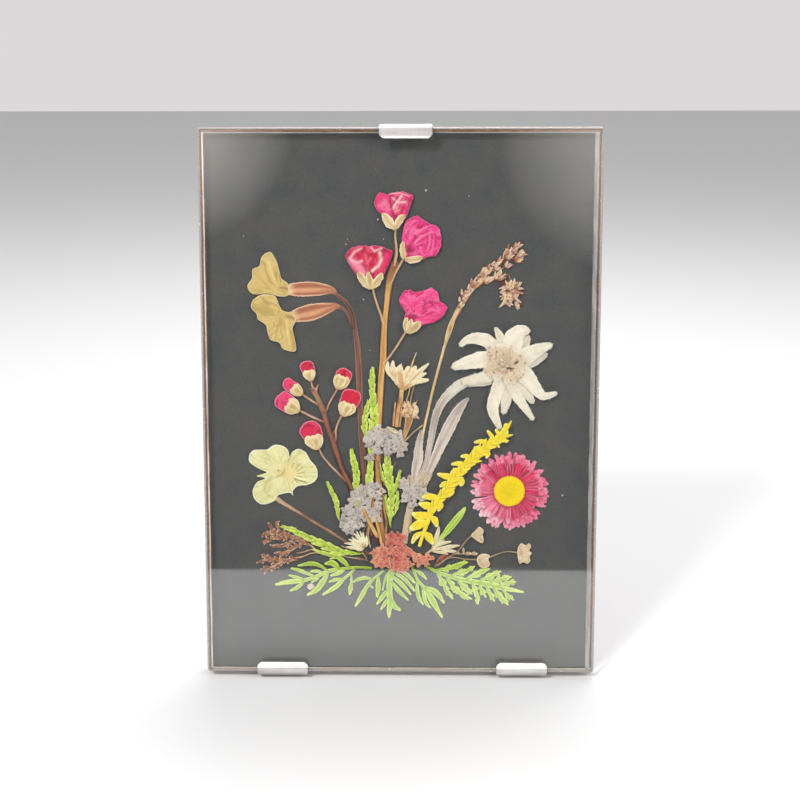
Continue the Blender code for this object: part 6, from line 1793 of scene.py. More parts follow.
@dataclass
class FeatherLeaves(Plant):
    """Finely divided lime leaves along the foot of the bouquet: a midrib with narrow lobes."""

    left: Shoot = Shoot([(-9.5, 36, 0.8), (-14.5, 36.2, 0.9), (-19, 35.7, 1), (-23.5, 35, 1.4),
        (-27.5, 33.2, 1.2), (-31, 32, 1.2), (-34, 31.4, 1.6), (-38, 31, 1.6), (-41.6, 30.2, 0.8)],
        left=(Shoot([(-15.4, 35.4, 0.8), (-16.9, 33.9, 0.9), (-18.8, 32.3, 1), (-20.8, 30.2, 1.6),
        (-23.2, 28.4, 1.5), (-25.9, 26.8, 0.7)], left=([(-16.3, 33.6, 0.7), (-16.4, 31, 0.9),
        (-16.6, 29, 1.6), (-16.9, 26.9, 0.7)],), right=([(-19.6, 32.2, 0.8), (-21.6, 31.9, 1.2),
        (-23.7, 31.2, 0.6)],)), [(-19, 34.9, 0.8), (-21, 34, 1.3), (-23.2, 33.3, 0.6)],
        [(-24.2, 34, 1), (-25.6, 31.6, 1.9), (-27.8, 28.6, 1.8), (-31, 26.7, 0.8)], [(-27.5, 32.3, 0.7),
        (-29.6, 31, 0.7)], [(-32.7, 30.7, 1), (-34.3, 29.3, 1.4), (-36.7, 28.1, 0.7)]),
        right=([(-17.4, 36.6, 0.9), (-19.2, 38.5, 1.7), (-21.2, 39.5, 1), (-23.4, 39, 0.6)],
        [(-20.9, 36.2, 1.4), (-22.5, 37.6, 2), (-25, 37.4, 0.8)], [(-24.8, 35.4, 0.8), (-27, 36.8, 1.2),
        (-29.8, 37.4, 1.5), (-34, 36.7, 0.6)], [(-26.4, 34.5, 0.8), (-28, 34.9, 1.1), (-29.9, 34.7, 0.6)],
        [(-29.2, 33.3, 0.8), (-31.5, 34.2, 1.1), (-33.8, 35.2, 1.2), (-36.4, 35.8, 0.6)],
        [(-32.8, 32.2, 0.8), (-35, 32.8, 1.1), (-37.1, 33.4, 0.6)]))
    middle_left: Shoot = Shoot([(-5.5, 35.2, 0.8), (-7.8, 33.2, 0.8), (-9.6, 31.6, 1), (-11.4, 29.2, 1.3),
        (-12.8, 26.6, 1.6), (-15, 22.9, 0.8)], left=([(-7.4, 32.7, 0.9), (-7.4, 29.5, 1.8),
        (-7.7, 26.1, 0.7)], [(-10.2, 30, 0.7), (-9.2, 29.3, 0.7)]),
        right=([(-9.6, 32.3, 0.7), (-12.6, 32.5, 1.3), (-16.1, 31.1, 0.6)],))
    middle: Shoot = Shoot([(-2.8, 37, 1.2), (-3.2, 34, 2), (-3.6, 30.5, 2), (-3.6, 27.5, 1.9),
        (-3.3, 24.6, 1.9), (-3.7, 21.8, 1.8), (-3.75, 19.1, 0.8)], left=([(-1.6, 36.2, 0.8), (2.4, 33.6, 1.4),
        (4.8, 31, 0.7)], [(-2, 34.6, 1), (1.6, 32, 1.4), (4.8, 28.2, 0.6)],
        [(-2.3, 32.9, 1), (0.7, 30.2, 1.5), (3.5, 27, 0.6)], [(-2.5, 30.8, 1), (-0.5, 28.1, 1.5),
        (2.6, 25.1, 0.6)], [(-2.4, 24.2, 1.3), (-1.7, 22.6, 1.6), (-0.1, 21.6, 1)]),
        right=([(-4.3, 34, 0.7), (-5.2, 31.5, 0.8), (-5.9, 28.4, 0.5)], [(-4.5, 28.2, 0.9), (-5.8, 26.3, 1.6),
        (-7.8, 23.6, 0.7)], [(-4.3, 25.2, 0.9), (-5.2, 23.7, 1.3), (-6.5, 21.8, 0.7)]))
    middle_right: Shoot = Shoot([(3.6, 37, 0.8), (4.6, 34.8, 0.9), (5.7, 32, 0.9), (7.2, 30.2, 1),
        (8.7, 28.4, 1.5), (10.4, 25.5, 2.2), (12, 22.6, 1.6), (14, 19.1, 0.7)],
        left=([(5.6, 35, 0.7), (7, 34, 1.2), (8.7, 32.3, 0.6)], [(9.2, 29.2, 1.2), (12.2, 27.4, 1.9),
        (14.6, 24.2, 0.8)]), right=([(5.6, 31, 0.8), (5.7, 28, 1.3), (6.3, 25.6, 1.3), (7.7, 23.5, 0.5)],
        [(7.6, 28.8, 0.8), (8, 26.2, 1.3), (8.8, 23.8, 1.2), (10.1, 22.4, 0.5)]))
    right: Shoot = Shoot([(8.8, 36.5, 0.9), (13.5, 34.2, 1.3), (18, 32.8, 1.5), (23, 31.6, 1.7),
        (28, 30.8, 1.9), (32, 29.9, 2), (36, 28.9, 1.6), (41, 27.9, 0.7)],
        left=([(12.6, 35.4, 1), (16.8, 36, 1.2), (19.6, 37.1, 1.5), (22.4, 38.1, 0.6)], [(17.8, 33.8, 0.9),
        (21.5, 34.8, 1.5), (24.6, 36.6, 0.7)], [(22.9, 32.8, 1.1), (25.7, 34, 1.6), (29.7, 35.9, 0.6)],
        [(27.2, 32.1, 1), (30.3, 33.3, 1.2), (33.4, 35, 0.6)], [(30.6, 31.3, 0.9), (33.8, 32.4, 1.2),
        (36.9, 33.1, 0.6)], [(33.4, 30.4, 0.8), (36, 31.1, 1), (38.4, 31.4, 0.6)]),
        right=([(12.8, 33.5, 1.1), (14.6, 30.4, 1.2), (15.6, 28, 1.4), (17.5, 25.6, 0.7)], [(15.8, 32.4, 1.1),
        (18, 29.4, 1.4), (20.6, 27, 1.3), (23.8, 25.5, 0.6)], [(19.4, 31.6, 0.9), (21.6, 29.2, 1.3),
        (23.9, 27.2, 0.6)], [(24, 30.8, 0.9), (25.4, 27.6, 1.3), (25.8, 23.9, 1)],
        [(26.6, 30, 0.9), (27.6, 27.8, 1.1), (28.6, 26.2, 0.6)], [(28.8, 29.8, 1), (30, 27.2, 1.3),
        (31.4, 24.8, 0.7)], [(31.4, 29, 1.1), (33.2, 26.2, 1.4), (36, 23.6, 0.7)],
        [(34.4, 28.4, 0.8), (36, 26.7, 1), (37.8, 25.2, 0.6)]))

    @staticmethod
    def lobes(path: Path2D, rng: np.random.Generator) -> Iterator[Path2D]:
        """Small lobes in pairs along a leaflet, which leave it at 25 to 35 degrees and shorten to its tip.

        Args:
            path: The leaflet's path.
            rng: Draws which lobes are missing, their reach and turn.

        Returns:
            The lobes' paths.
        """
        line = flow(path, 1.0)
        ahead = headings(line)
        for k in range(1, len(line) - 2):
            (x, y, _), (dx, dy) = line[k], ahead[k]
            reach = (2.4 - 1.3 * k / len(line)) * rng.uniform(0.75, 1.1)
            for side in (-1, 1):
                if rng.uniform() < 0.4:
                    continue
                turn = math.atan2(dy, dx) + side * rng.uniform(0.42, 0.62)
                yield blade(x, y, (turn, 0, 0.5), (turn, reach * 0.6, 0.95), (turn, reach, 0.6))

    def build(self) -> None:
        """Lays the five leaves, pale at their margins; the right one bears small lobes too."""
        leaves = (("feather_leaf_left", self.left, 1, 0.25), ("feather_leaf_middle_left", self.middle_left, 0,
            0.5), ("feather_leaf_middle", self.middle, 1, 0.75), ("feather_leaf_middle_right",
            self.middle_right, 0, 0.4), ("feather_leaf_right", self.right, 1, 0.35))
        for k, (node, leaf, slot, depth) in enumerate(leaves):
            rng = np.random.default_rng(60 + k)
            green = blend((198, 220, 74), (164, 200, 30), depth)
            skins = []
            for i, (level, part) in enumerate(leaf.all()):
                look = Tissue(green, green * 0.82, (226, 240, 140), root=(150, 180, 36), root_to=0.25,
                    tip=(216, 232, 120), tip_from=0.75, edge_from=0.5, streaks=1.6, along=3.0,
                    seed=k * 9.0 + i, vein=(146, 176, 40), groove=0.06)
                skins.append(ribbon(part.path, low_of(slot) + 0.05 * level + 0.05, 0.22, look, across=9,
                    tip=1.0, ragged=0.12))
                if leaf is self.right and level and len(part.path) > 3:
                    skins += [ribbon(lobe, low_of(slot) + 0.02, 0.16, look, pitch=0.4)
                        for lobe in self.lobes(part.path[1:], rng)]
            self.lay(node, skins, Slot.LIME_LEAF)


@dataclass
class SilverClusters(Plant):
    """Flat heads of small grey florets with wavy lobes, light along the rim, each with a dark eye."""

    @staticmethod
    def floret(seed: int) -> Skin:
        """One floret about 2 mm wide, at the origin: four or five uneven lobes round a small dark eye.

        Args:
            seed: Of its shape; an odd one has five lobes.

        Returns:
            The floret.
        """
        rng = np.random.default_rng(seed)
        turns = np.linspace(0, 2 * np.pi, 22, endpoint=False)
        lobes = 4 + seed % 2
        radius = 0.8 + 0.2 * np.cos(lobes * turns) + 0.18 * np.cos(2 * turns + seed) + rng.uniform(-0.06,
            0.06, 22)
        outline = np.column_stack([radius * np.cos(turns), radius * np.sin(turns)])
        eye = Stroke((112, 96, 96), 0.14, ((0.1, 0.05),), 0.9, -0.1)
        look = Petal((206, 194, 184), (158, 146, 144), (230, 222, 212), (236, 226, 216), folds=1.6, waver=1.2,
            crest=0.5, depth=0.12, crinkle=0.16, rim_in=0.02, rim_out=0.12, marks=(eye,), seed=float(seed))
        return fan((0, 0), outline, 0.0, 0.3, look, pitch=0.24, rings=9, rim=0.2)

    def build(self) -> None:
        """Strews five kinds of floret over each cluster's outline, over a net of thin stalks."""
        kinds = [self.floret(seed) for seed in range(1, 6)]
        tan = Tissue((150, 134, 116), (110, 96, 84))
        for k, (node, pitch) in enumerate(
                (("silver_cluster_top", 2.1), ("silver_cluster_left", 2.1), ("silver_cluster_right", 2.05))):
            outline = self.panel.outline(node)
            rng = np.random.default_rng(40 + k)
            places = sown(outline, pitch, 50 + k, inset=1.0)
            foot = np.array([outline[:, 0].mean(), outline[:, 1].min() - 1.0])
            skins = []
            for x, y in places[::3]:
                mid = (foot + (x, y)) / 2 + rng.uniform(-0.6, 0.6, 2)
                near = np.clip((foot + 2 * mid) / 3, outline.min(axis=0), outline.max(axis=0))
                skins.append(ribbon([(*near, 0.25), (*mid, 0.25), (x, y, 0.3)], low_of(3) - 0.1, 0.12, tan,
                    across=5, pitch=0.8))
            which = rng.integers(0, 5, len(places))
            for kind, skin in enumerate(kinds):
                mine = places[which == kind]
                warm = rng.uniform(0, 1, len(mine))[:, None] ** 2
                shade = rng.uniform(0.8, 1.05, len(mine))[:,
                    None] * (1 + warm * np.array([0.03, -0.04, -0.12]))
                heights = low_of(3) + rng.uniform(-0.2, 0.16, len(mine))
                skins.append(skin.copies(np.column_stack([mine, heights]), rng.uniform(0, 6.3, len(mine)),
                    rng.uniform(1.5, 2.15, len(mine)), shade, 0.0))
            self.lay(node, skins, Slot.SILVER_FLORET)


@dataclass
class StrawFlowers(Plant):
    """The straw star on its stem with awns, the curled tuft, the small bracts and the cream star."""

    bracts: Shoot = Shoot([(8.4, 40.8, 0.6), (10.6, 42.1, 0.9), (13.5, 42.7, 1.1), (16.5, 43.3, 1.4),
        (19.6, 43.7, 0.6)], left=([(10.7, 42.8, 0.7), (12.2, 47.2, 1.5), (12.8, 50, 0.7)], [(12.4, 43.5, 0.7),
        (14.4, 44.5, 1.1), (16.8, 45, 0.6)], [(10, 41.8, 0.5), (12.6, 44.2, 0.9), (14.6, 45.6, 0.4)]),
        right=([(14, 42, 0.7), (17, 41.8, 1.1), (19.4, 41.3, 0.6)],
        [(11, 41.6, 0.5), (13.8, 41.3, 0.9), (15.8, 40.8, 0.4)]))

    def star(self) -> None:
        """Rays of papery bracts that open from the top of a golden stem, cream at their tips."""
        low = low_of(2)
        golden = Tissue((216, 168, 114), (182, 128, 80), (136, 88, 52), tip=(230, 190, 134), streaks=2.4,
            along=6.0, seed=1.0)
        thread = Tissue((230, 192, 140), (198, 150, 100), tip=(246, 228, 190))
        skins = [ribbon([(-1.2, 83.5, 1.5), (-0.9, 87, 1.5), (-0.5, 90, 1.5), (0.1, 93.2, 1.3),
            (0.6, 96.3, 1.6)], low, 0.24, golden), ribbon([(-2.3, 83.8, 0.7), (-2, 87.6, 0.8),
            (-1.6, 91.5, 0.4)], low + 0.02, 0.18, golden),
            ribbon([(-0.2, 83.5, 0.5), (0.3, 88, 0.6), (0.8, 94.4, 0.5)], low + 0.02, 0.2, golden)]
        rays = (([(0.6, 96, 1.2), (-1.5, 99.2, 2), (-4, 102.4, 1.8), (-4.1, 104.9, 0.7)], 0.2),
            ([(0.6, 96.2, 1.2), (-0.8, 99.8, 2.2), (-2.3, 102.6, 2), (-2.4, 105.2, 0.7)], 0.5),
            ([(0.8, 96, 1.6), (0.2, 99.6, 3), (-0.2, 102, 2.8), (0.2, 104, 0.8)], 0.7),
            ([(0.9, 96, 1.6), (2, 99.4, 3.2), (2.6, 101.6, 3), (2.6, 103.4, 1.1)], 0.6),
            ([(1.2, 96.2, 1.4), (3.2, 99.6, 2.6), (4.2, 101.8, 2.4), (5, 103.4, 1.2)], 0.3),
            ([(1.6, 96.8, 1.2), (4.8, 100.2, 2.2), (6.8, 102.2, 1.6), (9.3, 104.4, 0.5)], 0.2),
            ([(1.6, 96.6, 1.2), (5.4, 99.6, 1.8), (7, 100.6, 1.4), (8.4, 101.2, 0.7)], 0.1),
            ([(1.6, 96.4, 1.4), (5, 98.6, 2.1), (7.4, 98.8, 1.7), (9.2, 99, 0.8)], 0.0),
            ([(1.2, 95.8, 1), (2.6, 97.6, 1.8), (4.2, 98.2, 1.5), (5.8, 97.8, 0.7)], 0.15))
        cream = (250, 234, 198)
        for i, (path, ochre) in enumerate(rays):
            look = Tissue(blend(cream, (226, 184, 122), ochre), (214, 170, 114), (254, 244, 216),
                root=(206, 156, 98), tip=cream, root_to=0.4, tip_from=0.5, streaks=3.4, along=2.0,
                edge_from=0.5, seed=12.0 + i, ribs=0.02, crinkle=0.08)
            skins.append(ribbon(path, low + 0.08 + 0.05 * (i % 3), 0.2, look, across=11, pitch=0.22, tip=0.5,
                twist=0.05 * (-1) ** i, ragged=0.16))
        for path in ([(2.8, 101.4, 0.5), (4, 104.6, 0.55), (5.2, 107.9, 0.3)],
                [(3.4, 97.6, 0.3), (2.9, 95.2, 0.3), (2, 92.1, 0.25)], [(0.2, 103, 0.4), (0.4, 104.4, 0.2)]):
            skins.append(ribbon(path, low + 0.24, 0.12, thread, across=5))
        self.lay("straw_star", skins, Slot.STRAW)

    def tuft(self) -> None:
        """Curled cream strands over a golden foot, with two awns."""
        low, rng = low_of(1), np.random.default_rng(8)
        gold = Tissue((214, 168, 112), (176, 122, 74), (232, 198, 148), seed=3.0, ribs=0.05)
        skins = [ribbon([(1, 79.4, 1.2), (2, 82.6, 1.8), (2.8, 85.6, 2.5), (3, 87.8, 2.8)], low, 0.24, gold,
            across=11), ribbon([(4.8, 90.6, 0.4), (5.2, 91.6, 0.35), (5.6, 92.5, 0.2)], low + 0.2, 0.12, gold,
            across=5), ribbon([(3.2, 90.6, 0.5), (3.6, 93.6, 0.4), (4.5, 97.1, 0.25)], low + 0.2, 0.12, gold,
            across=5)]
        for i in range(44):
            start = np.array([rng.uniform(1, 4.8), rng.uniform(86, 90.2)])
            turn, bend, reach = rng.uniform(0.5, 2.6), rng.uniform(-1.4, 1.4), rng.uniform(1.2, 2.3)
            mid = start + reach * 0.5 * np.array([math.cos(turn), math.sin(turn)])
            end = mid + reach * 0.5 * np.array([math.cos(turn + bend), math.sin(turn + bend)])
            look = Tissue(blend((248, 226, 190), (206, 156, 112), rng.uniform()), (216, 170, 126),
                (254, 240, 216), root=(176, 122, 84), root_to=0.4, seed=float(i))
            skins.append(ribbon([(*start, 0.4), (*mid, 0.95), (*end, 0.4)], low + rng.uniform(0.1, 0.42),
                0.15, look, across=5))
        lobe = Tissue((246, 224, 184), (220, 182, 134), (254, 240, 214), streaks=2.0, seed=4.0)
        skins.append(
            ribbon([(4.4, 87.4, 1.2), (5.2, 88.6, 1.6), (5.2, 90.2, 1.2)], low + 0.4, 0.2, lobe, tip=1.0))
        self.lay("straw_tuft", skins, Slot.STRAW)

    def cream_star(self) -> None:
        """Twelve narrow cream rays that spread to the left from one heart."""
        heart = np.array([-11.8, 43.0])
        tips = ((-18.6, 44.4), (-17.9, 43.2), (-17.2, 45.7), (-16.1, 46.6), (-15.4, 47.7), (-14.5, 48.5),
            (-13.4, 48.5), (-12.3, 48.1), (-11.2, 47), (-10.6, 44.8), (-16.8, 42.6), (-14.6, 42))
        rays = []
        for i, tip in enumerate(tips):
            way = np.array(tip) - heart
            bow = np.array([-way[1], way[0]]) * (0.05 if i % 2 else -0.05)
            path = [(*(heart + way * 0.06), 0.6), (*(heart + way * 0.5 + bow), 1.2), (*(heart + way), 0.35)]
            look = Tissue((250, 242, 208), (232, 214, 168), (254, 250, 230), root=(196, 166, 110),
                vein=(222, 202, 156), streaks=2.0, along=2.0, seed=30.0 + i, groove=0.04)
            rays.append(ribbon(path, low_of(4) - 0.05 + 0.03 * (i % 3), 0.17, look, tip=0.3, ragged=0.1))
        self.lay("cream_star", rays, Slot.STRAW)

    def build(self) -> None:
        """Lays the star, the tuft, the bracts, the cream star and three loose straws."""
        self.star()
        self.tuft()
        cream = Tissue((248, 234, 196), (222, 198, 150), (254, 246, 220), root=(212, 184, 132),
            vein=(210, 184, 134), streaks=2.0, seed=6.0)
        self.lay("straw_bracts", self.stems(self.bracts, low_of(2), 0.2, [cream], ragged=0.1), Slot.STRAW)
        self.cream_star()
        pale = Tissue((228, 204, 162), (190, 160, 116), (150, 120, 84), seed=9.0)
        seed = Tissue((238, 226, 190), (204, 186, 140), (168, 148, 104), streaks=2.4, seed=2.0)
        loose = [ribbon([(0.8, 78, 0.5), (4, 81.4, 0.5), (7.2, 84, 0.4)], low_of(1) + 0.3, 0.16, pale,
            across=5), ribbon([(-0.4, 81.4, 0.8), (-2.2, 82.2, 1.7), (-4.2, 83.4, 0.6)], low_of(4) - 0.02,
            0.2, seed), ribbon([(-9.6, 53.6, 0.5), (-10.6, 48, 0.5), (-10, 43, 0.4)], low_of(4) - 0.1, 0.16,
            pale, across=5)]
        self.panel.press("loose_straws", loose, Slot.STRAW)


@dataclass
class BeigeSprays(Plant):
    """Thin stalks with small flared beige flowers and round buds."""

    def flower(self, heart: Spot, outline: Sequence[Spot], low: float, green: float, seed: float) -> Skin:
        """A small flower seen from the side: pleats run out from its foot to a pale rim.

        Args:
            heart: Its foot.
            outline: Its corners.
            low: Height of its back.
            green: How green its foot is, from 0 to 1.
            seed: Of its pleats.

        Returns:
            The flower.
        """
        look = Petal((238, 212, 176), (202, 164, 124), (250, 232, 204), (252, 238, 212),
            heart=blend((214, 180, 140), (200, 202, 130), green), heart_to=0.5, folds=5.0, waver=0.8,
            crest=0.4, depth=0.16, crinkle=0.08, rim_in=0.08, rim_out=0.4, seed=seed)
        return fan(heart, np.array(outline), low, 0.2, look, rings=16, pitch=0.22, ragged=0.15)

    def build(self) -> None:
        """Lays the upper spray with its two buds, then the right one with its two flowers."""
        stalk = Tissue((206, 178, 142), (168, 136, 100), (128, 100, 70), streaks=1.5, seed=2.0)
        bud = Tissue((226, 200, 160), (190, 156, 116), (160, 128, 92), tip=(240, 222, 188), seed=7.0)
        low = low_of(3)
        skins = [ribbon([(11.5, 36.6, 0.4), (14.5, 38.5, 0.4), (17.6, 40.7, 0.4), (19.3, 42, 0.4),
            (20.4, 43.4, 0.4), (22.2, 45.8, 0.4), (23.8, 47.2, 0.6)], low, 0.2, stalk, across=5),
            ribbon([(18, 40.8, 0.4), (21.8, 40.9, 0.4), (25.2, 40.9, 0.4)], low, 0.16, stalk, across=5),
            ribbon([(21.6, 40.9, 0.7), (22.5, 41, 1.5), (23.4, 41, 0.8)], low + 0.06, 0.3, bud, tip=1.0),
            ribbon([(23.6, 40.9, 0.7), (24.5, 41, 1.6), (25.4, 40.9, 0.8)], low + 0.06, 0.3, bud, tip=1.0),
            ribbon([(20.9, 42.9, 0.7), (21, 41.9, 0.9), (21.1, 40.9, 0.4)], low + 0.06, 0.2, bud, tip=1.0),
            self.flower((24.2, 47.2), [(23.5, 47.2), (24.6, 48.6), (25.9, 50), (27, 49.6), (27.7, 48.6),
            (27.2, 47.4), (27.7, 46), (27.2, 44.6), (25.7, 45.2), (24.4, 46.3)], low + 0.04, 0.2, 1.0)]
        self.lay("beige_spray", skins, Slot.BEIGE)
        low = low_of(2)
        skins = [ribbon([(13.8, 38.5, 0.4), (17.5, 39.7, 0.4), (21.2, 39.1, 0.4), (25.6, 38.9, 0.6)], low,
            0.2, stalk, across=5), ribbon([(28.8, 39.4, 0.6), (32.5, 40.9, 0.4), (35.6, 41.7, 0.4),
            (39.2, 41.3, 0.6)], low, 0.2, stalk, across=5), self.flower((26.2, 38.7),
            [(25.5, 38.7), (25.9, 40.2), (27.2, 41), (28.8, 40.9), (29.8, 40.2), (29.2, 38.9), (29.9, 37.4),
            (29, 36.2), (27.4, 36), (26.1, 37)], low + 0.04, 0.8, 2.0), self.flower((39.6, 41.3),
            [(38.9, 41.3), (39.2, 43.4), (40.2, 44.5), (41.6, 44), (42.7, 44.6), (43.4, 43.4), (42.9, 42.2),
            (43.7, 41.2), (43, 40), (43.3, 38.6), (42.2, 37.6), (41, 38.1), (39.7, 37.5), (39.1, 39.2)],
            low + 0.04, 0.0, 3.0)]
        self.lay("beige_spray_right", skins, Slot.BEIGE)


@dataclass
class WoodRush(Plant):
    """Long thin stem with papery sheaths, knots of dry spikelets, and a tuft that hangs apart."""

    stem: Shoot = Shoot([(3, 48, 1), (4.4, 60, 1), (6.2, 72, 1), (7.6, 82, 1), (8.9, 88, 1), (10.2, 94, 1),
        (11.7, 100, 1), (13.3, 106, 1), (14.9, 112, 1.1), (16.5, 117, 1.15), (17.7, 120.4, 1.1),
        (19.3, 123.6, 0.8), (21.4, 127.2, 0.7), (23.2, 129.8, 0.7), (25.2, 132, 0.7), (27.4, 134.2, 0.6),
        (30, 136.2, 0.6), (32.5, 138, 0.6), (34.6, 139.7, 0.6), (36.5, 141.2, 0.5), (38.6, 143, 0.4)],
        left=([(34.4, 140.9, 0.5), (35, 143, 0.4)],), right=([(25.6, 130.4, 0.5), (28.4, 131.2, 0.5),
        (31.4, 132, 0.5), (34.6, 133.2, 0.4)], [(29.6, 134.4, 0.4), (32, 134.9, 0.4), (36.6, 136.4, 0.3)],
        [(35, 138.9, 0.4), (37.2, 138, 0.4), (39.2, 137, 0.4)],
        [(36.8, 140.2, 0.4), (39.2, 139.8, 0.4), (41.2, 139.6, 0.3)]))
    knots: tuple[tuple[float, float, float, int], ...] = ((23.4, 129.4, 1.2, 12), (27.4, 130.6, 1.3, 14),
        (31.2, 131.6, 1.5, 16), (20.4, 126, 0.8, 8), (26.6, 133.2, 1.1, 12), (30.2, 135, 1.2, 13),
        (33.8, 138.6, 1.5, 16), (36.2, 140.2, 1.2, 14), (37, 137.6, 1.1, 12), (33.8, 135.4, 0.9, 9),
        (38.2, 139, 0.9, 8))
    sheaths: tuple[Path2D, ...] = ([(16.6, 117, 0.9), (19.4, 122.6, 1.5), (22.2, 127.2, 1.5),
        (24.6, 129.6, 0.6)], [(19.6, 123.6, 0.9), (23.2, 128.6, 1.5), (27.2, 131.4, 1.3), (30, 132.4, 0.5)],
        [(22, 127, 0.8), (25, 130.8, 1.4), (28.6, 134.2, 1.3), (31.6, 136.6, 0.5)])

    def spikelets(self, at: Spot, reach: float, count: int, low: float, seed: int,
            ahead: float | None = None) -> list[Skin]:
        """Pointed husks that bristle out of a knot, from pinkish tan through gold to a dark red-brown.

        Args:
            at: Middle of the knot.
            reach: Its size.
            count: How many husks.
            low: Height of the lowest.
            seed: Of their turns and lengths.
            ahead: Where most of them point; all round if it isn't given.

        Returns:
            The husks.
        """
        rng = np.random.default_rng(seed)
        skins = []
        for k in range(count):
            turn = rng.uniform(0, 6.28) if ahead is None else ahead + rng.normal(0, 0.4)
            start = np.array(at) + rng.uniform(-0.5, 0.5, 2) * reach
            length = rng.uniform(2.2, 3.3) * (0.55 + 0.3 * reach)
            kind = rng.uniform()
            dark = kind > 0.66
            base = tone((226, 190, 170) if kind < 0.32 else (242, 208, 156) if kind < 0.5 else (116, 56, 40)
                if dark else (196, 140, 110))
            look = Tissue(base, base * 0.8, blend(base, (120, 66, 46), 0.6), root=(120, 62, 44),
                tip=blend(base, (246, 226, 204), 0.0 if dark else 0.7), edge_from=0.5, streaks=1.0,
                seed=float(seed + k), crinkle=0.0)
            skins.append(ribbon(blade(*start, (turn, 0, 0.5), (turn, length * 0.45, 1.05),
                (turn, length, 0.25)), low + (0.0 if dark else rng.uniform(0.08, 0.32)), 0.16, look, tip=0.4))
        return skins

    def build(self) -> None:
        """Lays the stem, its sheaths, knots and the husks between them, then the tuft that hangs apart."""
        tan = Tissue((244, 222, 176), (216, 184, 132), (140, 98, 62), tip=(160, 104, 70), tip_from=0.72,
            edge_from=0.66, streaks=1.6, along=14.0, seed=5.0)
        twig = Tissue((206, 160, 126), (148, 98, 72), (108, 66, 48), seed=6.0)
        sheath = Tissue((222, 192, 134), (188, 148, 92), (248, 230, 188), streaks=2.0, seed=2.0)
        skins = self.stems(self.stem, low_of(0), 0.26, [tan, twig], ragged=0.08)
        skins += [ribbon([(14.6, 110.6, 0.9), (15.6, 114.2, 1.6), (16.9, 118, 1.6), (18.4, 121.4, 0.7)],
            low_of(0) + 0.12, 0.24, sheath, across=9, tip=0.3), ribbon([(17.2, 118.4, 0.5), (18.4, 121, 0.8),
            (19.4, 124.4, 0.3)], low_of(0) + 0.2, 0.16, sheath, tip=0.2)]
        for k, path in enumerate(self.sheaths):
            pale = Tissue((240, 204, 156), (206, 156, 116), (150, 98, 70), tip=(240, 212, 190), streaks=1.6,
                seed=30.0 + k, crinkle=0.02)
            skins.append(ribbon(path, low_of(0) + 0.2, 0.2, pale, across=9, tip=0.3))
        for k, (x, y, reach, count) in enumerate(self.knots):
            skins += self.spikelets((x, y), reach, count, low_of(0) + 0.1, 100 + 30 * k, 0.85)
        upper = flow(self.stem.path[10:], 1.3)
        for k, (x, y, _) in enumerate(upper[2:-1]):
            skins += self.spikelets((x, y), 0.6, 3, low_of(0) + 0.12, 500 + 11 * k, 0.8)
        self.lay("rush_stem", skins, Slot.RUSH)
        hanging = [ribbon([(35, 133.6, 0.3), (35.5, 131, 0.35), (35.7, 127, 0.4)], low_of(1), 0.14, twig,
            across=5)]
        for k, (x, y, reach, count) in enumerate(((35.6, 127.2, 2, 40), (34.6, 129.2, 1.1, 16),
                (37.2, 128.8, 1.2, 18), (37, 124.8, 1.2, 18), (34.6, 124.8, 1.2, 18))):
            hanging += self.spikelets((x, y), reach, count, low_of(1), 900 + 50 * k)
        self.lay("rush_tuft_low", hanging, Slot.RUSH)


@dataclass(frozen=True)
class Knot:
    """Pinkish beige florets packed together, paler in patches and towards the rim, with brown mouths and
    lines of painted shade between them.
    """

    mouths: tuple[Stroke, ...]

    def paint(self, w: Where) -> Tint:
        """Tints at the places.

        Args:
            w: The places on the surface.

        Returns:
            Their tints.
        """
        tints = blend((248, 234, 208), (236, 214, 184), step(0.4, 0.8, w.patches(2.8, 3)))
        tints = blend(tints, (250, 240, 220), 0.6 * step(0.5, 0.85, crumple(w.x * 0.6, w.y * 0.6, 6.0)))
        tints = blend(tints, (251, 243, 226), 1 - step(0.2, 2.0, w.off + 2.4 * (w.patches(3.4, 8) - 0.5)))
        return draw(tints, w.x, w.y, self.mouths)

    def relief(self, w: Where) -> Array:
        """Florets as low swellings, the mouths and the lines of painted shade sunken."""
        return 0.12 * (mottle(w.x, w.y, 3.0) - 0.6) + lifted(w.x, w.y, self.mouths)


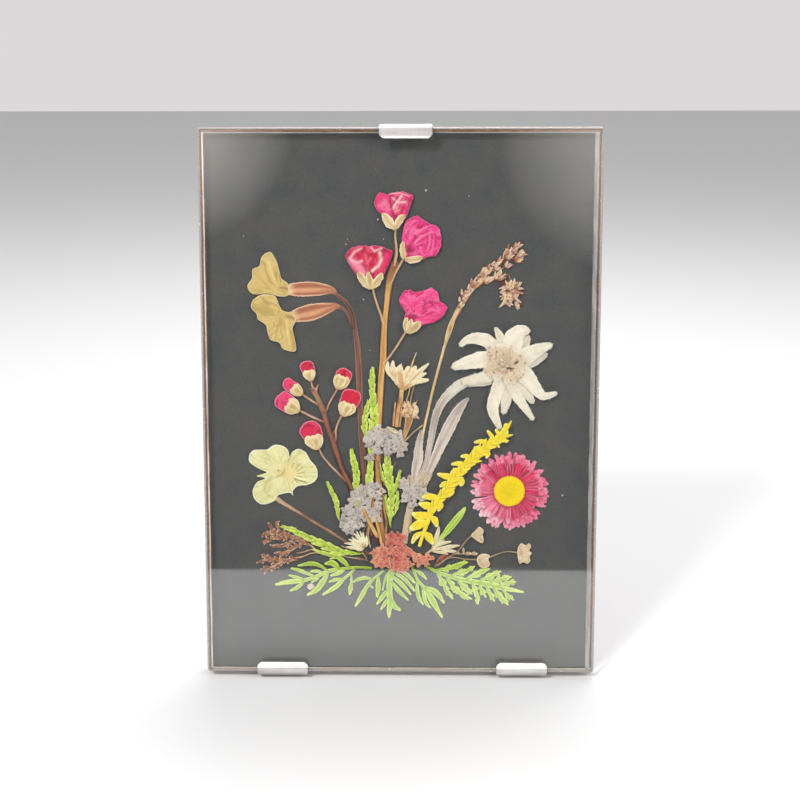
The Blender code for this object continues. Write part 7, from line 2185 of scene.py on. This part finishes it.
@dataclass
class Edelweiss(Plant):
    """Star of woolly bracts round a knot of beige heads, on a felted grey stem with two long leaves."""

    bracts: tuple[tuple[Path2D, float], ...] = ((((39, 103.6, 3.2), (43.6, 105.6, 3.2), (47.4, 107.4, 1.6)),
        1.0), (((29.6, 98.8, 2.6), (26, 98.2, 2.4), (22.4, 97.4, 1.2)), 1.0),
        (((37.4, 106, 4), (40, 110.6, 3.4), (41.6, 113, 1.6)), 0.9),
        (((34.6, 98, 3.2), (34.6, 92.6, 3), (33.8, 88.2, 1.6)), 0.7),
        (((34, 105, 3.4), (33.6, 110, 3.2), (32.4, 113.2, 2.6), (30.9, 115.9, 1)), 0.5),
        (((38, 98.6, 3.4), (40.8, 95.4, 3.2), (43.3, 91.7, 1.5)), 0.7),
        (((36, 105, 4.4), (36.4, 109.6, 5.2), (37.4, 113.2, 5.2), (39.6, 114.9, 3.6), (41.6, 115, 1.8)), 0.1),
        (((37, 104, 4.6), (41, 106.8, 4.8), (45.2, 109, 3.4), (49, 110.5, 1.6)), 0.2),
        (((37, 102.4, 4.4), (40.6, 100.6, 4.8), (43.6, 96.9, 3.6), (46.6, 93.8, 2.6), (50.8, 94.6, 1.4)),
        0.0), (((35.4, 99, 3.2), (37.6, 94.6, 3), (40.3, 90.6, 2.6), (43.4, 86.1, 1.3)), 0.3),
        (((33.4, 101, 3.4), (31.4, 94.6, 3.6), (30.3, 89.3, 3), (32.6, 83.1, 1.6)), 0.1),
        (((33, 102.6, 3.4), (28.6, 100.4, 3.4), (24.4, 99.2, 2.8), (20.4, 98, 1.6)), 0.4),
        (((32, 106, 4.2), (27.4, 105.8, 4.6), (22.4, 104.8, 3.8), (17.4, 103.3, 2.2)), 0.0), (((32.4, 107.6,
        3.4), (28.4, 111.6, 3.6), (24.7, 112.6, 3.2), (21.6, 112, 2.4), (19.6, 110.4, 1.5)), 0.2))
    stem: Shoot = Shoot([(1.2, 44.5, 2.2), (2, 50, 2.2), (3, 55.5, 2.2), (4.8, 61, 2.8), (6.4, 65.5, 3),
        (7.6, 68.6, 2.4), (8.6, 71.6, 1.9), (9.4, 76, 2), (10.4, 81, 2.2), (11.3, 86, 2.4), (13, 90.5, 2.7),
        (16, 94.4, 3.2), (19.5, 97.4, 3.4), (25, 99.8, 3)],
        left=([(4.9, 62, 1.2), (4.6, 65.6, 2), (5, 69.2, 2.6), (5.8, 73, 3.2), (6.1, 77, 2.6), (6.5, 80, 1.7),
        (6.9, 82.3, 0.8)], [(4.2, 60.2, 1), (3.2, 64, 2.2), (3, 67.2, 1)]),
        right=([(6, 62.6, 1.4), (8.4, 66, 2.2), (9.7, 69, 2.2), (11.1, 72.4, 2.8), (13.3, 77.5, 3.5),
        (15.6, 82.5, 4), (18.3, 87.7, 3.4), (20.6, 91.2, 2.2), (22.2, 92.9, 0.8)],))
    spots: tuple[Spot, ...] = ((29, 109.7), (28.8, 108.1), (29.5, 106.9), (29.1, 105.6), (39, 106.9),
        (38, 104.7), (35.3, 102.9), (37, 102.8), (40.7, 104.5), (36, 102), (34.5, 101.5), (27.8, 101.5),
        (30.5, 101.5), (26.9, 102.6), (40, 100.8), (39.3, 99.9), (38.3, 98.6), (36, 97), (36, 98.9),
        (32.2, 104.2), (33.6, 107.4), (31.4, 108.2))

    @staticmethod
    def wool(skin: Skin, seed: int, every: float, shade: float, reach: float) -> Skin:
        """Hairs over a skin's upper points and edges: thin three-sided spikes that lie nearly flat.

        Args:
            skin: The surface that they grow on.
            seed: Of their places and turns.
            every: Share of the skin's points that bear a hair.
            shade: What the skin's tint is multiplied by.
            reach: The longest hair.

        Returns:
            The hairs as one skin.
        """
        rng = np.random.default_rng(seed)
        top = skin.points[:, 2] > skin.points[:, 2].min() + 0.06
        pick = np.flatnonzero(top & (rng.uniform(size=len(top)) < every))
        foot = skin.points[pick] + np.column_stack(
            [rng.uniform(-0.15, 0.15, (len(pick), 2)), np.zeros(len(pick))])
        turn, length = rng.uniform(0, 2 * np.pi, len(pick)), rng.uniform(0.4, reach, len(pick))
        way = np.column_stack(
            [np.cos(turn) * length, np.sin(turn) * length, rng.uniform(0.0, 0.12, len(pick))])
        wide = np.column_stack([-np.sin(turn), np.cos(turn), np.zeros(len(pick))]) * 0.035
        points = np.stack([foot - wide, foot + wide, foot + (0, 0, 0.05), foot + way], axis=1).reshape(-1, 3)
        start = np.arange(len(pick))[:, None] * 4
        faces = np.concatenate([start + np.array(f) for f in ([0, 3, 2], [1, 2, 3], [0, 1, 3], [0, 2, 1])])
        return Skin(points, [faces], np.repeat(skin.tints[pick] * shade, 4, axis=0))

    def star(self) -> None:
        """The bracts, from the hindmost to the foremost, each with its wool; the hinder ones are painted greyer
        as shade.
        """
        low, skins = low_of(2), []
        for i, (path, back) in enumerate(self.bracts):
            # The further back a bract lies, the lower and greyer it is: painted shade under the bracts in
            # front.
            grey = blend((250, 238, 216), (226, 214, 194), back)
            look = Tissue(grey, grey * 0.92, (254, 248, 232), root=(228, 214, 190), root_to=0.45, streaks=2.4,
                along=2.2, edge_from=0.74, seed=20.0 + i, groove=0.03)
            leaf = ribbon([(x, y, w * (1.2 if w > 2.8 else 1.06)) for x, y, w in path],
                low + 0.4 * (1 - back), 0.24, look, across=13, pitch=0.26, crown=0.6, ragged=0.07)
            skins += [leaf, self.wool(leaf, 300 + i, 0.5, 1.03, 0.75)]
        self.lay("edelweiss_bracts", skins, Slot.WOOLLY_BRACT)

    def heads(self) -> None:
        """The knot: a crumpled beige cushion, each flower head in it with a brown mouth, and painted shade in
        the hollows between the heads.
        """
        brown, shade = (104, 64, 42), (168, 128, 96)
        beige = (236, 206, 174)
        mouths = [Stroke(beige, wide, line, 0.7) for wide, line in ((4.0, ((33.4, 106.4), (36, 104.6))),
            (1.8, ((28.4, 102), (33, 102.4), (35, 102.6))), (2.2, ((36.8, 101), (38.4, 99.2))),
            (1.2, ((29.2, 109), (29.6, 106))), (1.2, ((39.6, 106.4), (40.2, 104.8))))]
        mouths += [Stroke(brown, 0.27, (spot,), 0.85, -0.1) for spot in self.spots]
        mouths += [Stroke((78, 44, 28), 0.4, ((34.9, 102.8), (35.6, 102.9), (36.4, 102.6)), 0.95, -0.15),
            Stroke(brown, 0.45, ((37.4, 104.4), (38.2, 105.1)), 0.9, -0.1)]
        # Painted shade: dim sunken lines in the hollows between the heads.
        mouths += [Stroke(shade, 0.3, line, 0.3, -0.1) for line in (((30.6, 110.6), (31.4, 107.8),
            (30.8, 104.8)), ((36.2, 110.6), (35.4, 107.6), (36.2, 105.2)),
            ((31.2, 103), (33.2, 101), (33.4, 98.8)), ((36.6, 101.6), (37.4, 100.2), (38.8, 99.4)))]
        outline = self.panel.outline("edelweiss_centre")
        outline = np.array([33.9, 104.0]) + (outline - (33.9, 104)) * 0.93
        skins = [fan((33.8, 104.2), outline, low_of(4) - 0.3, 0.42, Knot(tuple(mouths)), rings=44, pitch=0.24,
            rim=1.6, ragged=0.5)]
        white = np.ones(3)
        bead = fan((0, 0), np.array([(0.4, 0), (0.2, 0.38), (-0.25, 0.36), (-0.4, 0), (-0.2, -0.36),
            (0.25, -0.36)]), 0.0, 0.26, Bead(white * 0.78, white, white, 3), pitch=0.4, rings=3, rim=0.35)
        places = sown(outline, 1.5, 77, inset=1.6)
        rng = np.random.default_rng(78)
        clear = np.min(np.linalg.norm(places[:, None] - np.array(self.spots)[None], axis=-1), axis=1) > 0.5
        places = places[clear]
        tints = tone((250, 236, 212)) * rng.uniform(0.9, 1.04, (len(places), 1))
        skins.append(bead.copies(np.column_stack([places, np.full(len(places), low_of(4) + 0.05)]),
            rng.uniform(0, 6.3, len(places)), rng.uniform(0.6, 1.3, len(places)), tints, 0.3))
        skins.append(self.wool(skins[0], 500, 0.5, 1.04, 1.0))
        self.lay("edelweiss_centre", skins, Slot.BEIGE)

    def build(self) -> None:
        """Lays the stem with its leaves and junction, then the star and the knot."""
        felt = Tissue((216, 200, 188), (176, 158, 150), (236, 226, 212), root=(222, 196, 158), tip=(240, 232,
            214), root_to=0.5, streaks=4.0, along=9.0, edge_from=0.7, seed=4.0, ribs=0.03, crinkle=0.08)
        leaf = Tissue((228, 212, 198), (188, 170, 160), (246, 236, 222), root=(220, 196, 164),
            vein=(178, 160, 146), streaks=4.5, along=3.0, edge_from=0.62, seed=8.0, groove=0.06, crinkle=0.1)
        skins = self.stems(self.stem, low_of(1), 0.3, [felt, leaf], across=13, ragged=0.1)
        for start, end, wide in (((4, 60.4), (8.4, 68.8), 2.4), ((4.8, 60), (3.6, 66.4), 2.0),
                ((5.4, 60.6), (10.2, 67.6), 1.8)):
            scale = Tissue((226, 202, 172), (184, 154, 124), (246, 232, 208), streaks=4.0, seed=wide)
            skins.append(
                ribbon(span(start, end, 0.8, wide), low_of(1) + 0.2, 0.2, scale, across=11, ragged=0.12))
        skins += [self.wool(skin, 600 + i, 0.34, 1.05, 1.1) for i, skin in enumerate(list(skins))]
        self.lay("edelweiss_stem", skins, Slot.WOOLLY_STEM)
        self.star()
        self.heads()


@dataclass
class YellowSprig(Plant):
    """Bright yellow sprig: a lobed stem whose blunt leaflets overlap, with olive creases between them."""

    sprig: Shoot = Shoot([(6.3, 43.4, 0.8), (7.4, 47, 0.9), (8.9, 51.3, 1.1), (10.3, 55, 1.4),
        (12.3, 58.6, 2.1), (15, 62, 2.2), (17.5, 65.6, 2.2), (20, 68.9, 2.4), (23, 71.9, 2.4),
        (26, 74.9, 2.2), (29, 77.4, 1.9), (32, 79.2, 2.3), (34.2, 81.4, 1.8), (34.7, 84.5, 0.9)],
        left=([(7.1, 48, 0.7), (5.2, 46.8, 1.5), (3.9, 44.5, 0.7)], [(8.2, 51.4, 1.4), (5.8, 50.6, 2.4),
        (3.4, 49.2, 1.2)], [(9.2, 54, 1.4), (6.6, 53.6, 2.4), (4, 54.5, 0.9)],
        [(10.4, 57, 1.4), (8.6, 57.2, 2), (6.2, 57.9, 0.7)], [(11.8, 59.8, 1.4), (9.6, 60.2, 1.8),
        (7.2, 60.1, 0.6)], [(15.6, 64.6, 1.2), (14.4, 64.4, 1.4), (13.1, 63.6, 0.6)], [(16.8, 66.8, 1.3),
        (14.8, 67.1, 1.6), (12.4, 67.8, 0.7)], [(18.8, 69.2, 1), (17.8, 69, 1.1), (16.7, 68.2, 0.5)],
        [(20.4, 71.2, 1.1), (18.9, 71.3, 1.3), (16.9, 71.1, 0.6)], [(22.6, 73.4, 1.2), (21.4, 73.8, 1.2),
        (20, 73.7, 0.6)], [(26, 76.6, 1.1), (24.8, 76.2, 1.1), (23.6, 75.2, 0.5)], [(28.2, 78.3, 1.1),
        (26.4, 78.7, 1.2), (24.4, 78.4, 0.6)], [(30.4, 79.8, 0.8), (29.7, 80.9, 1.1), (28.6, 82.3, 0.6)],
        [(32.4, 81, 1), (31.9, 81.8, 1), (31.3, 82.7, 0.6)]), right=([(8.3, 47.8, 1), (9.4, 46.6, 2.1),
        (10.9, 44.3, 0.9)], [(10.3, 53.2, 1), (11.4, 52.3, 1.8), (12.2, 50.2, 0.8)], [(12.8, 57.8, 1.4),
        (13.4, 57.2, 1.5), (12.6, 55.5, 0.7)], [(16.4, 62.4, 1.3), (17, 61.8, 1.4), (15.9, 60.2, 0.7)],
        [(18.8, 65.9, 1.4), (20.2, 65.4, 1.7), (20, 63.9, 0.8)], [(27.6, 74.9, 1.3), (28.8, 74.7, 1.4),
        (28.3, 73.2, 0.6)], [(31.6, 77.9, 0.9), (32.5, 76.8, 0.5)], [(33.9, 79.4, 1.2), (35, 78.6, 0.8)]))

    def build(self) -> None:
        """Lays the stem and its leaflets, then long scales that overlap along the stem and hide it."""
        low, rng = low_of(4), np.random.default_rng(9)
        yellow, deep, crease = (253, 228, 60), (244, 214, 36), (168, 138, 26)
        skins = []
        for i, (level, part) in enumerate(self.sprig.all()):
            look = Tissue((250, 244, 196) if i == 1 else yellow, deep, (255, 246, 120), tip=(255, 250, 150),
                root=yellow, vein=deep, tip_from=0.75, edge_from=0.7, streaks=2.0, seed=40.0 + i, groove=0.04,
                crinkle=0.0)
            path = [(x, y, w * 1.3) for x, y, w in part.path]
            skins.append(ribbon(path, low - 0.1 + 0.05 * level + 0.03 * (i % 3), 0.2, look, across=9,
                pitch=0.25, tip=0.7, ragged=0.05))
        line = flow(self.sprig.path, 1.1)
        ahead = headings(line)
        for k, ((x, y, w), (dx, dy)) in enumerate(list(zip(line, ahead))[9:-2]):
            side = 1.0 if k % 2 == 0 else -1.0
            out, reach = side * w * rng.uniform(0.35, 0.6), rng.uniform(2.8, 3.8)
            path = [(x, y, 0.6), (x + dx * reach * 0.45 - dy * out * 0.9, y + dy * reach * 0.45 + dx * out
                * 0.9, 1.25), (x + dx * reach - dy * out * 1.9, y + dy * reach + dx * out * 1.9, 0.3)]
            look = Tissue(yellow, deep, blend(yellow, crease, 0.5), root=yellow, tip=(255, 246, 120),
                root_to=0.24, edge_from=0.72, streaks=1.2, seed=80.0 + k, crinkle=0.0)
            skins.append(ribbon(path, low + 0.04 + 0.04 * (k % 3), 0.2, look, pitch=0.25, tip=0.6))
        self.lay("yellow_sprig", skins, Slot.YELLOW_LEAF)


@dataclass
class Daisy(Plant):
    """Pink daisy with no stem: five rounds of narrow rays under a flat yellow disc of packed florets."""

    middle: Spot = (36, 62.1)
    disc: float = 5.15
    tiers: int = 5
    gaps: tuple[Spot, ...] = ((128, 7), (38, 8), (-9, 4), (-39, 5))

    def rays(self) -> None:
        """Rounds of rays; their gaps, lengths and pallor go by where they point."""
        low, rng = low_of(0), np.random.default_rng(12)
        skins = []
        for tier in range(self.tiers):
            count = 48 - 4 * tier
            for k in range(count):
                turn = 360.0 / count * (k + 0.33 * tier) + rng.uniform(-3.6, 3.6)
                narrow = 0.6 if tier > 2 else 0.0
                if any(abs((turn - at + 180) % 360 - 180) < half * narrow for at, half in self.gaps):
                    continue
                reach = rng.uniform(12.3, 13.2) - 0.65 * tier
                angle, bend = math.radians(turn), rng.uniform(-0.17, 0.17)
                wide = rng.uniform(1, 1.6)
                steps = (4.2, 0.8), (6.6, wide * 0.8), (9.6, wide), (reach - 0.8, wide * 0.94), (reach,
                    wide * 0.5)
                path = blade(*self.middle, *((angle + bend * (r / reach) ** 2, r, w) for r, w in steps))
                away = abs((turn - 215.0 + 180) % 360 - 180)
                pallor = float(np.clip(1.15 - away / 75.0, 0, 1)) * 0.7 + rng.uniform(-0.1, 0.3)
                base = blend((232, 44, 96), (252, 156, 184), pallor) * rng.uniform(0.8, 1.12)
                deep = blend((150, 10, 50), (214, 84, 122), pallor)
                light = blend(base, (255, 196, 210), rng.uniform(-0.3, 0.7))
                look = Tissue(base, deep, light, root=(196, 14, 64), tip=blend((246, 120, 154),
                    (255, 224, 230), pallor), root_to=0.4, tip_from=0.72, streaks=2.2, along=2.0,
                    edge_from=0.66, groove=0.05, seed=float(tier * 50 + k))
                skins.append(ribbon(path, low + 0.075 * tier + 0.02 * (k % 3), 0.17, look, tip=0.5, crown=0.5,
                    ragged=0.12))
        self.lay("daisy_rays", skins, Slot.DAISY_RAY)

    def florets(self) -> None:
        """A low dome of small florets along golden-angle spirals.

        Floret i of n stands at radius R * sqrt(i / n), turned by i times 137.5 degrees.
        """
        count = 420
        i = np.arange(count) + 0.5
        radius, turn = self.disc * 0.99 * np.sqrt(i / count), i * GOLDEN_ANGLE
        places = np.column_stack(
            [self.middle[0] + radius * np.cos(turn), self.middle[1] + radius * np.sin(turn)])
        round_ = np.linspace(0, 2 * np.pi, 40, False)
        low = low_of(0) + 0.45
        gold = Bead((255, 222, 6), (255, 216, 10), (252, 196, 40))
        dome = fan(self.middle, np.array(self.middle) + self.disc * np.column_stack(
            [np.cos(round_), np.sin(round_)]), low, 0.42, gold, rings=12, pitch=0.5, rim=1.0)
        white = np.ones(3)
        bead = fan((0, 0), np.array([(0.27, 0), (0.08, 0.26), (-0.22, 0.16), (-0.22, -0.16), (0.08, -0.26)]),
            0.0, 0.3, Bead(white * 0.84, white, white), pitch=0.34, rings=3, rim=0.25)
        rng = np.random.default_rng(13)
        edge = step(0.86, 1.0, radius / self.disc)
        tints = blend((255, 234, 0), (255, 216, 80), edge) * rng.uniform(0.92, 1.1, (count, 1))
        heights = low + 0.36 - 0.26 * (radius / self.disc) ** 3
        self.lay("daisy_centre", [dome, bead.copies(np.column_stack([places, heights]), turn,
            rng.uniform(0.85, 1.1, count), tints, 0.0)], Slot.DAISY_DISC)

    def build(self) -> None:
        """Lays the rays and the disc."""
        self.rays()
        self.florets()


@dataclass
class LowFlowers(Plant):
    """The coral flowers at the foot, the loose golden stem, the narrow leaf and a few fallen bits."""

    def coral(self) -> None:
        """A crumpled mass of small lobed flowers, deepest red in the middle, with dark gaps between them."""
        rng = np.random.default_rng(21)
        places = sown(self.panel.outline("coral_flowers"), 1.9, 22, inset=0.8)
        skins, low = [], low_of(4) - 0.12
        base = Tissue((120, 66, 52), (80, 40, 34), seed=3.0)
        for start, end in (((-9, 38.4), (-2.6, 41.6)), ((-2.6, 41.6), (-1.6, 47.4)), ((0.6, 36.6), (3, 40.4)),
                ((3, 40.4), (9.6, 38.8)), ((-2.6, 41.6), (3, 40.4))):
            skins.append(ribbon(span(start, end, 0.6, 0.8, 0.4), low - 0.3, 0.2, base, across=5, pitch=0.6))
        for k, (x, y) in enumerate(places):
            if math.hypot(x - 3.0, y - 39.4) < 0.7:
                continue
            turns = np.linspace(0, 2 * np.pi, 14, endpoint=False)
            radius = rng.uniform(1.5, 2.3) * (0.78 + 0.3
                * np.cos(rng.integers(3, 6) * turns + rng.uniform(0, 6)) + rng.uniform(-0.1, 0.1, 14))
            shape = np.column_stack([x + radius * np.cos(turns), y + radius * np.sin(turns) * 0.9])
            deep = float(np.clip(np.exp(-(((x + 1.0) / 5.0) ** 2)) + rng.uniform(-0.6, 0.3), 0, 1))
            body = blend((232, 152, 116), (214, 94, 84), deep)
            dark = blend((190, 104, 80), (160, 50, 58), deep)
            look = Petal(body, dark, blend(body, (252, 206, 180), 0.6), blend(body, (250, 206, 182), 0.75),
                heart=dark, heart_to=0.45, folds=2.6, waver=1.4, crest=0.4, depth=0.16, crinkle=0.12,
                rim_in=0.03, rim_out=0.24, seed=float(k))
            skins.append(
                fan((x, y), shape, low + rng.uniform(-0.16, 0.14), 0.22, look, rings=9, rim=0.2, ragged=0.12))
        stalk = Tissue((222, 184, 144), (186, 142, 104), (150, 104, 74), seed=4.0)
        skins.append(ribbon([(-4, 39.6, 0.7), (-3.4, 37.4, 0.7), (-3.1, 35.2, 0.5)], low + 0.2, 0.16, stalk))
        self.lay("coral_flowers", skins, Slot.CORAL_PETAL)

    def build(self) -> None:
        """Lays the coral flowers, the golden stem, the narrow leaf and the bits."""
        self.coral()
        gold = Tissue((232, 184, 116), (196, 140, 76), (150, 96, 50), streaks=2.0, along=6.0, seed=6.0)
        self.lay("golden_stem", [ribbon([(-7.4, 46.4, 1.4), (-9.2, 49.5, 1.5), (-10.9, 53, 1.4),
            (-12.3, 56, 1.1)], low_of(4) - 0.06, 0.26, gold)], Slot.GOLDEN_STEM)
        leaf = Tissue((186, 216, 80), (158, 194, 60), (230, 246, 150), root=(238, 234, 180),
            tip=(214, 232, 120), vein=(216, 234, 130), root_to=0.3, seed=3.0, groove=0.06)
        self.lay("narrow_leaf", [ribbon([(10.9, 43.2, 1), (12.6, 45.2, 1.4), (14.6, 47.4, 1.7),
            (16.3, 49.6, 2.3), (18.2, 52, 2.4), (19.9, 54.2, 2.1), (21.4, 56.4, 1)], low_of(1), 0.26, leaf,
            across=11, ragged=0.06)], Slot.LIME_LEAF)
        brown = Tissue((198, 144, 96), (148, 98, 62), (108, 68, 42), streaks=2.2, along=7.0, seed=5.0)
        rust = Tissue((172, 98, 74), (120, 58, 44), (206, 140, 110), streaks=4.0, seed=7.0)
        white = Tissue((226, 206, 178), (206, 182, 152), (240, 224, 200), seed=8.0)
        bits = [ribbon(path, low_of(slot), 0.24, look, ragged=0.1) for path, slot,
            look in (([(-11.4, 43.6, 1), (-10.8, 48, 1.2), (-9.8, 53, 1.2), (-9.2, 58, 1), (-8.8, 62, 0.8)],
            3, brown), ([(-6, 43, 0.9), (-7, 48, 1.1), (-8, 53, 1.1), (-8.4, 58, 0.9)], 3, gold),
            ([(-4.6, 42.8, 0.8), (-4.9, 47.6, 1), (-4.6, 52, 0.9), (-5.6, 57.6, 0.8), (-6.3, 63.4, 0.6)], 3,
            brown), ([(-7.4, 72.2, 0.4), (-6.8, 68, 0.45), (-6.2, 63.2, 0.5), (-5.2, 57, 0.5)], 3, brown),
            ([(-1.5, 71.6, 0.4), (-3.6, 68, 0.4), (-5.6, 64.1, 0.4)], 2, brown),
            ([(12.2, 37, 1.2), (13.6, 38.8, 2.2), (15.8, 40.4, 1.4)], 1, rust),
            ([(-19.6, 43.5, 0.4), (-16.2, 42.2, 0.4)], 3, gold), ([(-14.8, 39.7, 0.4), (-11.2, 38.5, 0.4)], 3,
            brown), ([(-12.7, 41.4, 0.4), (-11.2, 39.3, 0.4)], 3, gold),
            ([(-31, 29.5, 1.3), (-30, 29.5, 2.2), (-29, 29.5, 1.3)], 2, white))]
        self.panel.press("fallen_bits", bits, Slot.STRAW)


# -------- stage, camera and lights

@dataclass
class Studio:
    """Pale floor and soft light, and the camera in front of the frame."""

    panel: Panel
    eye: Place = (4.47, 140.7, 389.6)
    target: Place = (-0.10, 92.38, 0.0)
    lens: float = 54.0
    roll: float = -0.002
    mirrored_y: float = -0.424

    def camera(self) -> None:
        """The camera's place and target are measured on the panel; depth of field stays off."""
        eye, target = (Vector(self.panel.world(np.array([p]))[0]) for p in (self.eye, self.target))
        data = bpy.data.cameras.new("front_view")
        data.lens, data.sensor_width, data.clip_start, data.clip_end = self.lens, 36.0, 0.01, 20.0
        camera = bpy.data.objects.new("front_view", data)
        camera.location = eye
        turn = (target - eye).to_track_quat("-Z", "Y").to_matrix() @ Matrix.Rotation(self.roll, 3, "Z")
        camera.rotation_euler = turn.to_euler()
        bpy.context.scene.collection.objects.link(camera)
        bpy.context.scene.camera = camera

    @staticmethod
    def floor_paint() -> Finish:
        """Plain matt pale paint.

        Returns:
            The node material.
        """
        bench = Bench("floor_paint")
        bench.set(Base_Color=(0.60, 0.60, 0.60, 1.0), Roughness=0.9, Specular_IOR_Level=0.1)
        return bench.material

    def dim_sheet(self) -> Finish:
        """What the glass mirrors over the floor: a dim sheet with two soft round lights, high at its sides.

        Returns:
            The node material.
        """
        bench = Bench("dim_sheet")
        coords = bench.add("ShaderNodeTexCoord").outputs["Object"]
        glow = None
        for x, reach in ((-0.158, 0.08), (0.165, 0.105)):
            at = bench.add("ShaderNodeMapping", {"Vector": coords, "Location": (-x / reach,
                -self.mirrored_y / reach, -0.3 / reach), "Scale": (1 / reach,) * 3}).outputs["Vector"]
            patch = bench.add("ShaderNodeTexGradient", {"Vector": at},
                gradient_type="SPHERICAL").outputs["Fac"]
            glow = patch if glow is None else bench.add("ShaderNodeMath",
                {0: glow, 1: patch}).outputs["Value"]
        bench.set(Emission_Color=bench.mix((0.09, 0.09, 0.09, 1.0), (2.2, 2.08, 1.95, 1.0), glow),
            Base_Color=(0.012, 0.012, 0.013, 1.0), Emission_Strength=1.0, Roughness=0.9)
        return bench.material

    @staticmethod
    def sheet(name: str, corners: Sequence[Place], finish: Finish) -> bpy.types.Object:
        """A flat staged sheet through four corners, in metres.

        Args:
            name: The sheet's name.
            corners: Four places in metres.
            finish: Its material.

        Returns:
            The sheet.
        """
        mesh = bpy.data.meshes.new(name)
        mesh.from_pydata(corners, [], [(0, 1, 2, 3)])
        mesh.materials.append(finish)
        obj = bpy.data.objects.new(name, mesh)
        bpy.context.scene.collection.objects.link(obj)
        return obj

    @staticmethod
    def lamp(name: str, place: Place, target: Place, size: Spot, power: float, glossy: bool = True) -> None:
        """A soft rectangular light turned to its target.

        Args:
            name: The light's name.
            place: Where it hangs, in metres.
            target: What it is turned to.
            size: Its width and height in metres.
            power: In watts.
            glossy: Whether shiny surfaces mirror it.
        """
        data = bpy.data.lights.new(name, "AREA")
        data.shape, data.size, data.size_y, data.energy = "RECTANGLE", *size, power
        light = bpy.data.objects.new(name, data)
        light.location = place
        light.rotation_euler = (Vector(target) - Vector(place)).to_track_quat("-Z", "Y").to_euler()
        light.visible_glossy = glossy
        bpy.context.scene.collection.objects.link(light)

    def build(self) -> None:
        """Sets the floor, the dim sheet that only the glass mirrors, the lights and the camera."""
        self.sheet("pale_floor", [(-3, -3, 0), (3, -3, 0), (3, 3, 0), (-3, 3, 0)], self.floor_paint())
        corners = [(x, self.mirrored_y, z) for x, z in ((-2.5, 0.0), (2.5, 0.0), (2.5, 3.0), (-2.5, 3.0))]
        dark = self.sheet("dark_room_side", corners, self.dim_sheet())
        dark.visible_camera = dark.visible_diffuse = dark.visible_shadow = dark.visible_transmission = False
        world = bpy.data.worlds.new("soft_room")
        world.use_nodes = True
        shade = world.node_tree.nodes["Background"]
        shade.inputs["Color"].default_value = (0.98, 0.96, 0.97, 1.0)
        shade.inputs["Strength"].default_value = 0.72
        bpy.context.scene.world = world
        aim = (0.0, 0.0, 0.09)
        self.lamp("key_over_left", (-0.55, -0.75, 0.95), aim, (0.24, 0.2), 12.6, False)
        self.lamp("fill_right", (0.75, -0.6, 0.6), aim, (0.6, 0.5), 5.6, False)
        self.lamp("rim_above", (0.1, 0.35, 0.8), (0.0, 0.02, 0.12), (0.5, 0.25), 5.0)
        self.camera()
        bpy.context.scene.view_settings.view_transform = "Standard"


def main() -> None:
    """Builds every sub-assembly in turn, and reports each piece."""
    logging.basicConfig(level=logging.INFO, format="%(message)s", stream=sys.stdout)
    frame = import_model()
    nodes = frame["nodes"]
    panel = Panel.standing(nodes)
    Studio(panel).build()
    Backing(panel, nodes).build()
    plants = (Cowslip, PinkSpray, BudSpray, Primrose, BrownGrass, ScaleSprigs, FeatherLeaves, SilverClusters,
        StrawFlowers, BeigeSprays, WoodRush, Edelweiss, YellowSprig, Daisy, LowFlowers)
    for plant in plants:
        log.info("%s", plant.__name__)
        plant(panel).build()
    GlassFront(panel).build()
    # The clips' steel takes the painted highlights in their tints.
    steel = Steel("bright_spring_steel", (0.98, 0.93, 0.90), 0.3, 0.25, tinted=True).material()
    for node, x, at_top in (("clip_top", 1.7, True), ("clip_bottom_left", -39.5, False),
            ("clip_bottom_right", 40.7, False)):
        SpringClip(panel, node, x, at_top).build(steel)
    Strut(nodes).build()
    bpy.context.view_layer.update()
    log.info("%d pieces made", panel.made)


if __name__ == "__main__":
    main()
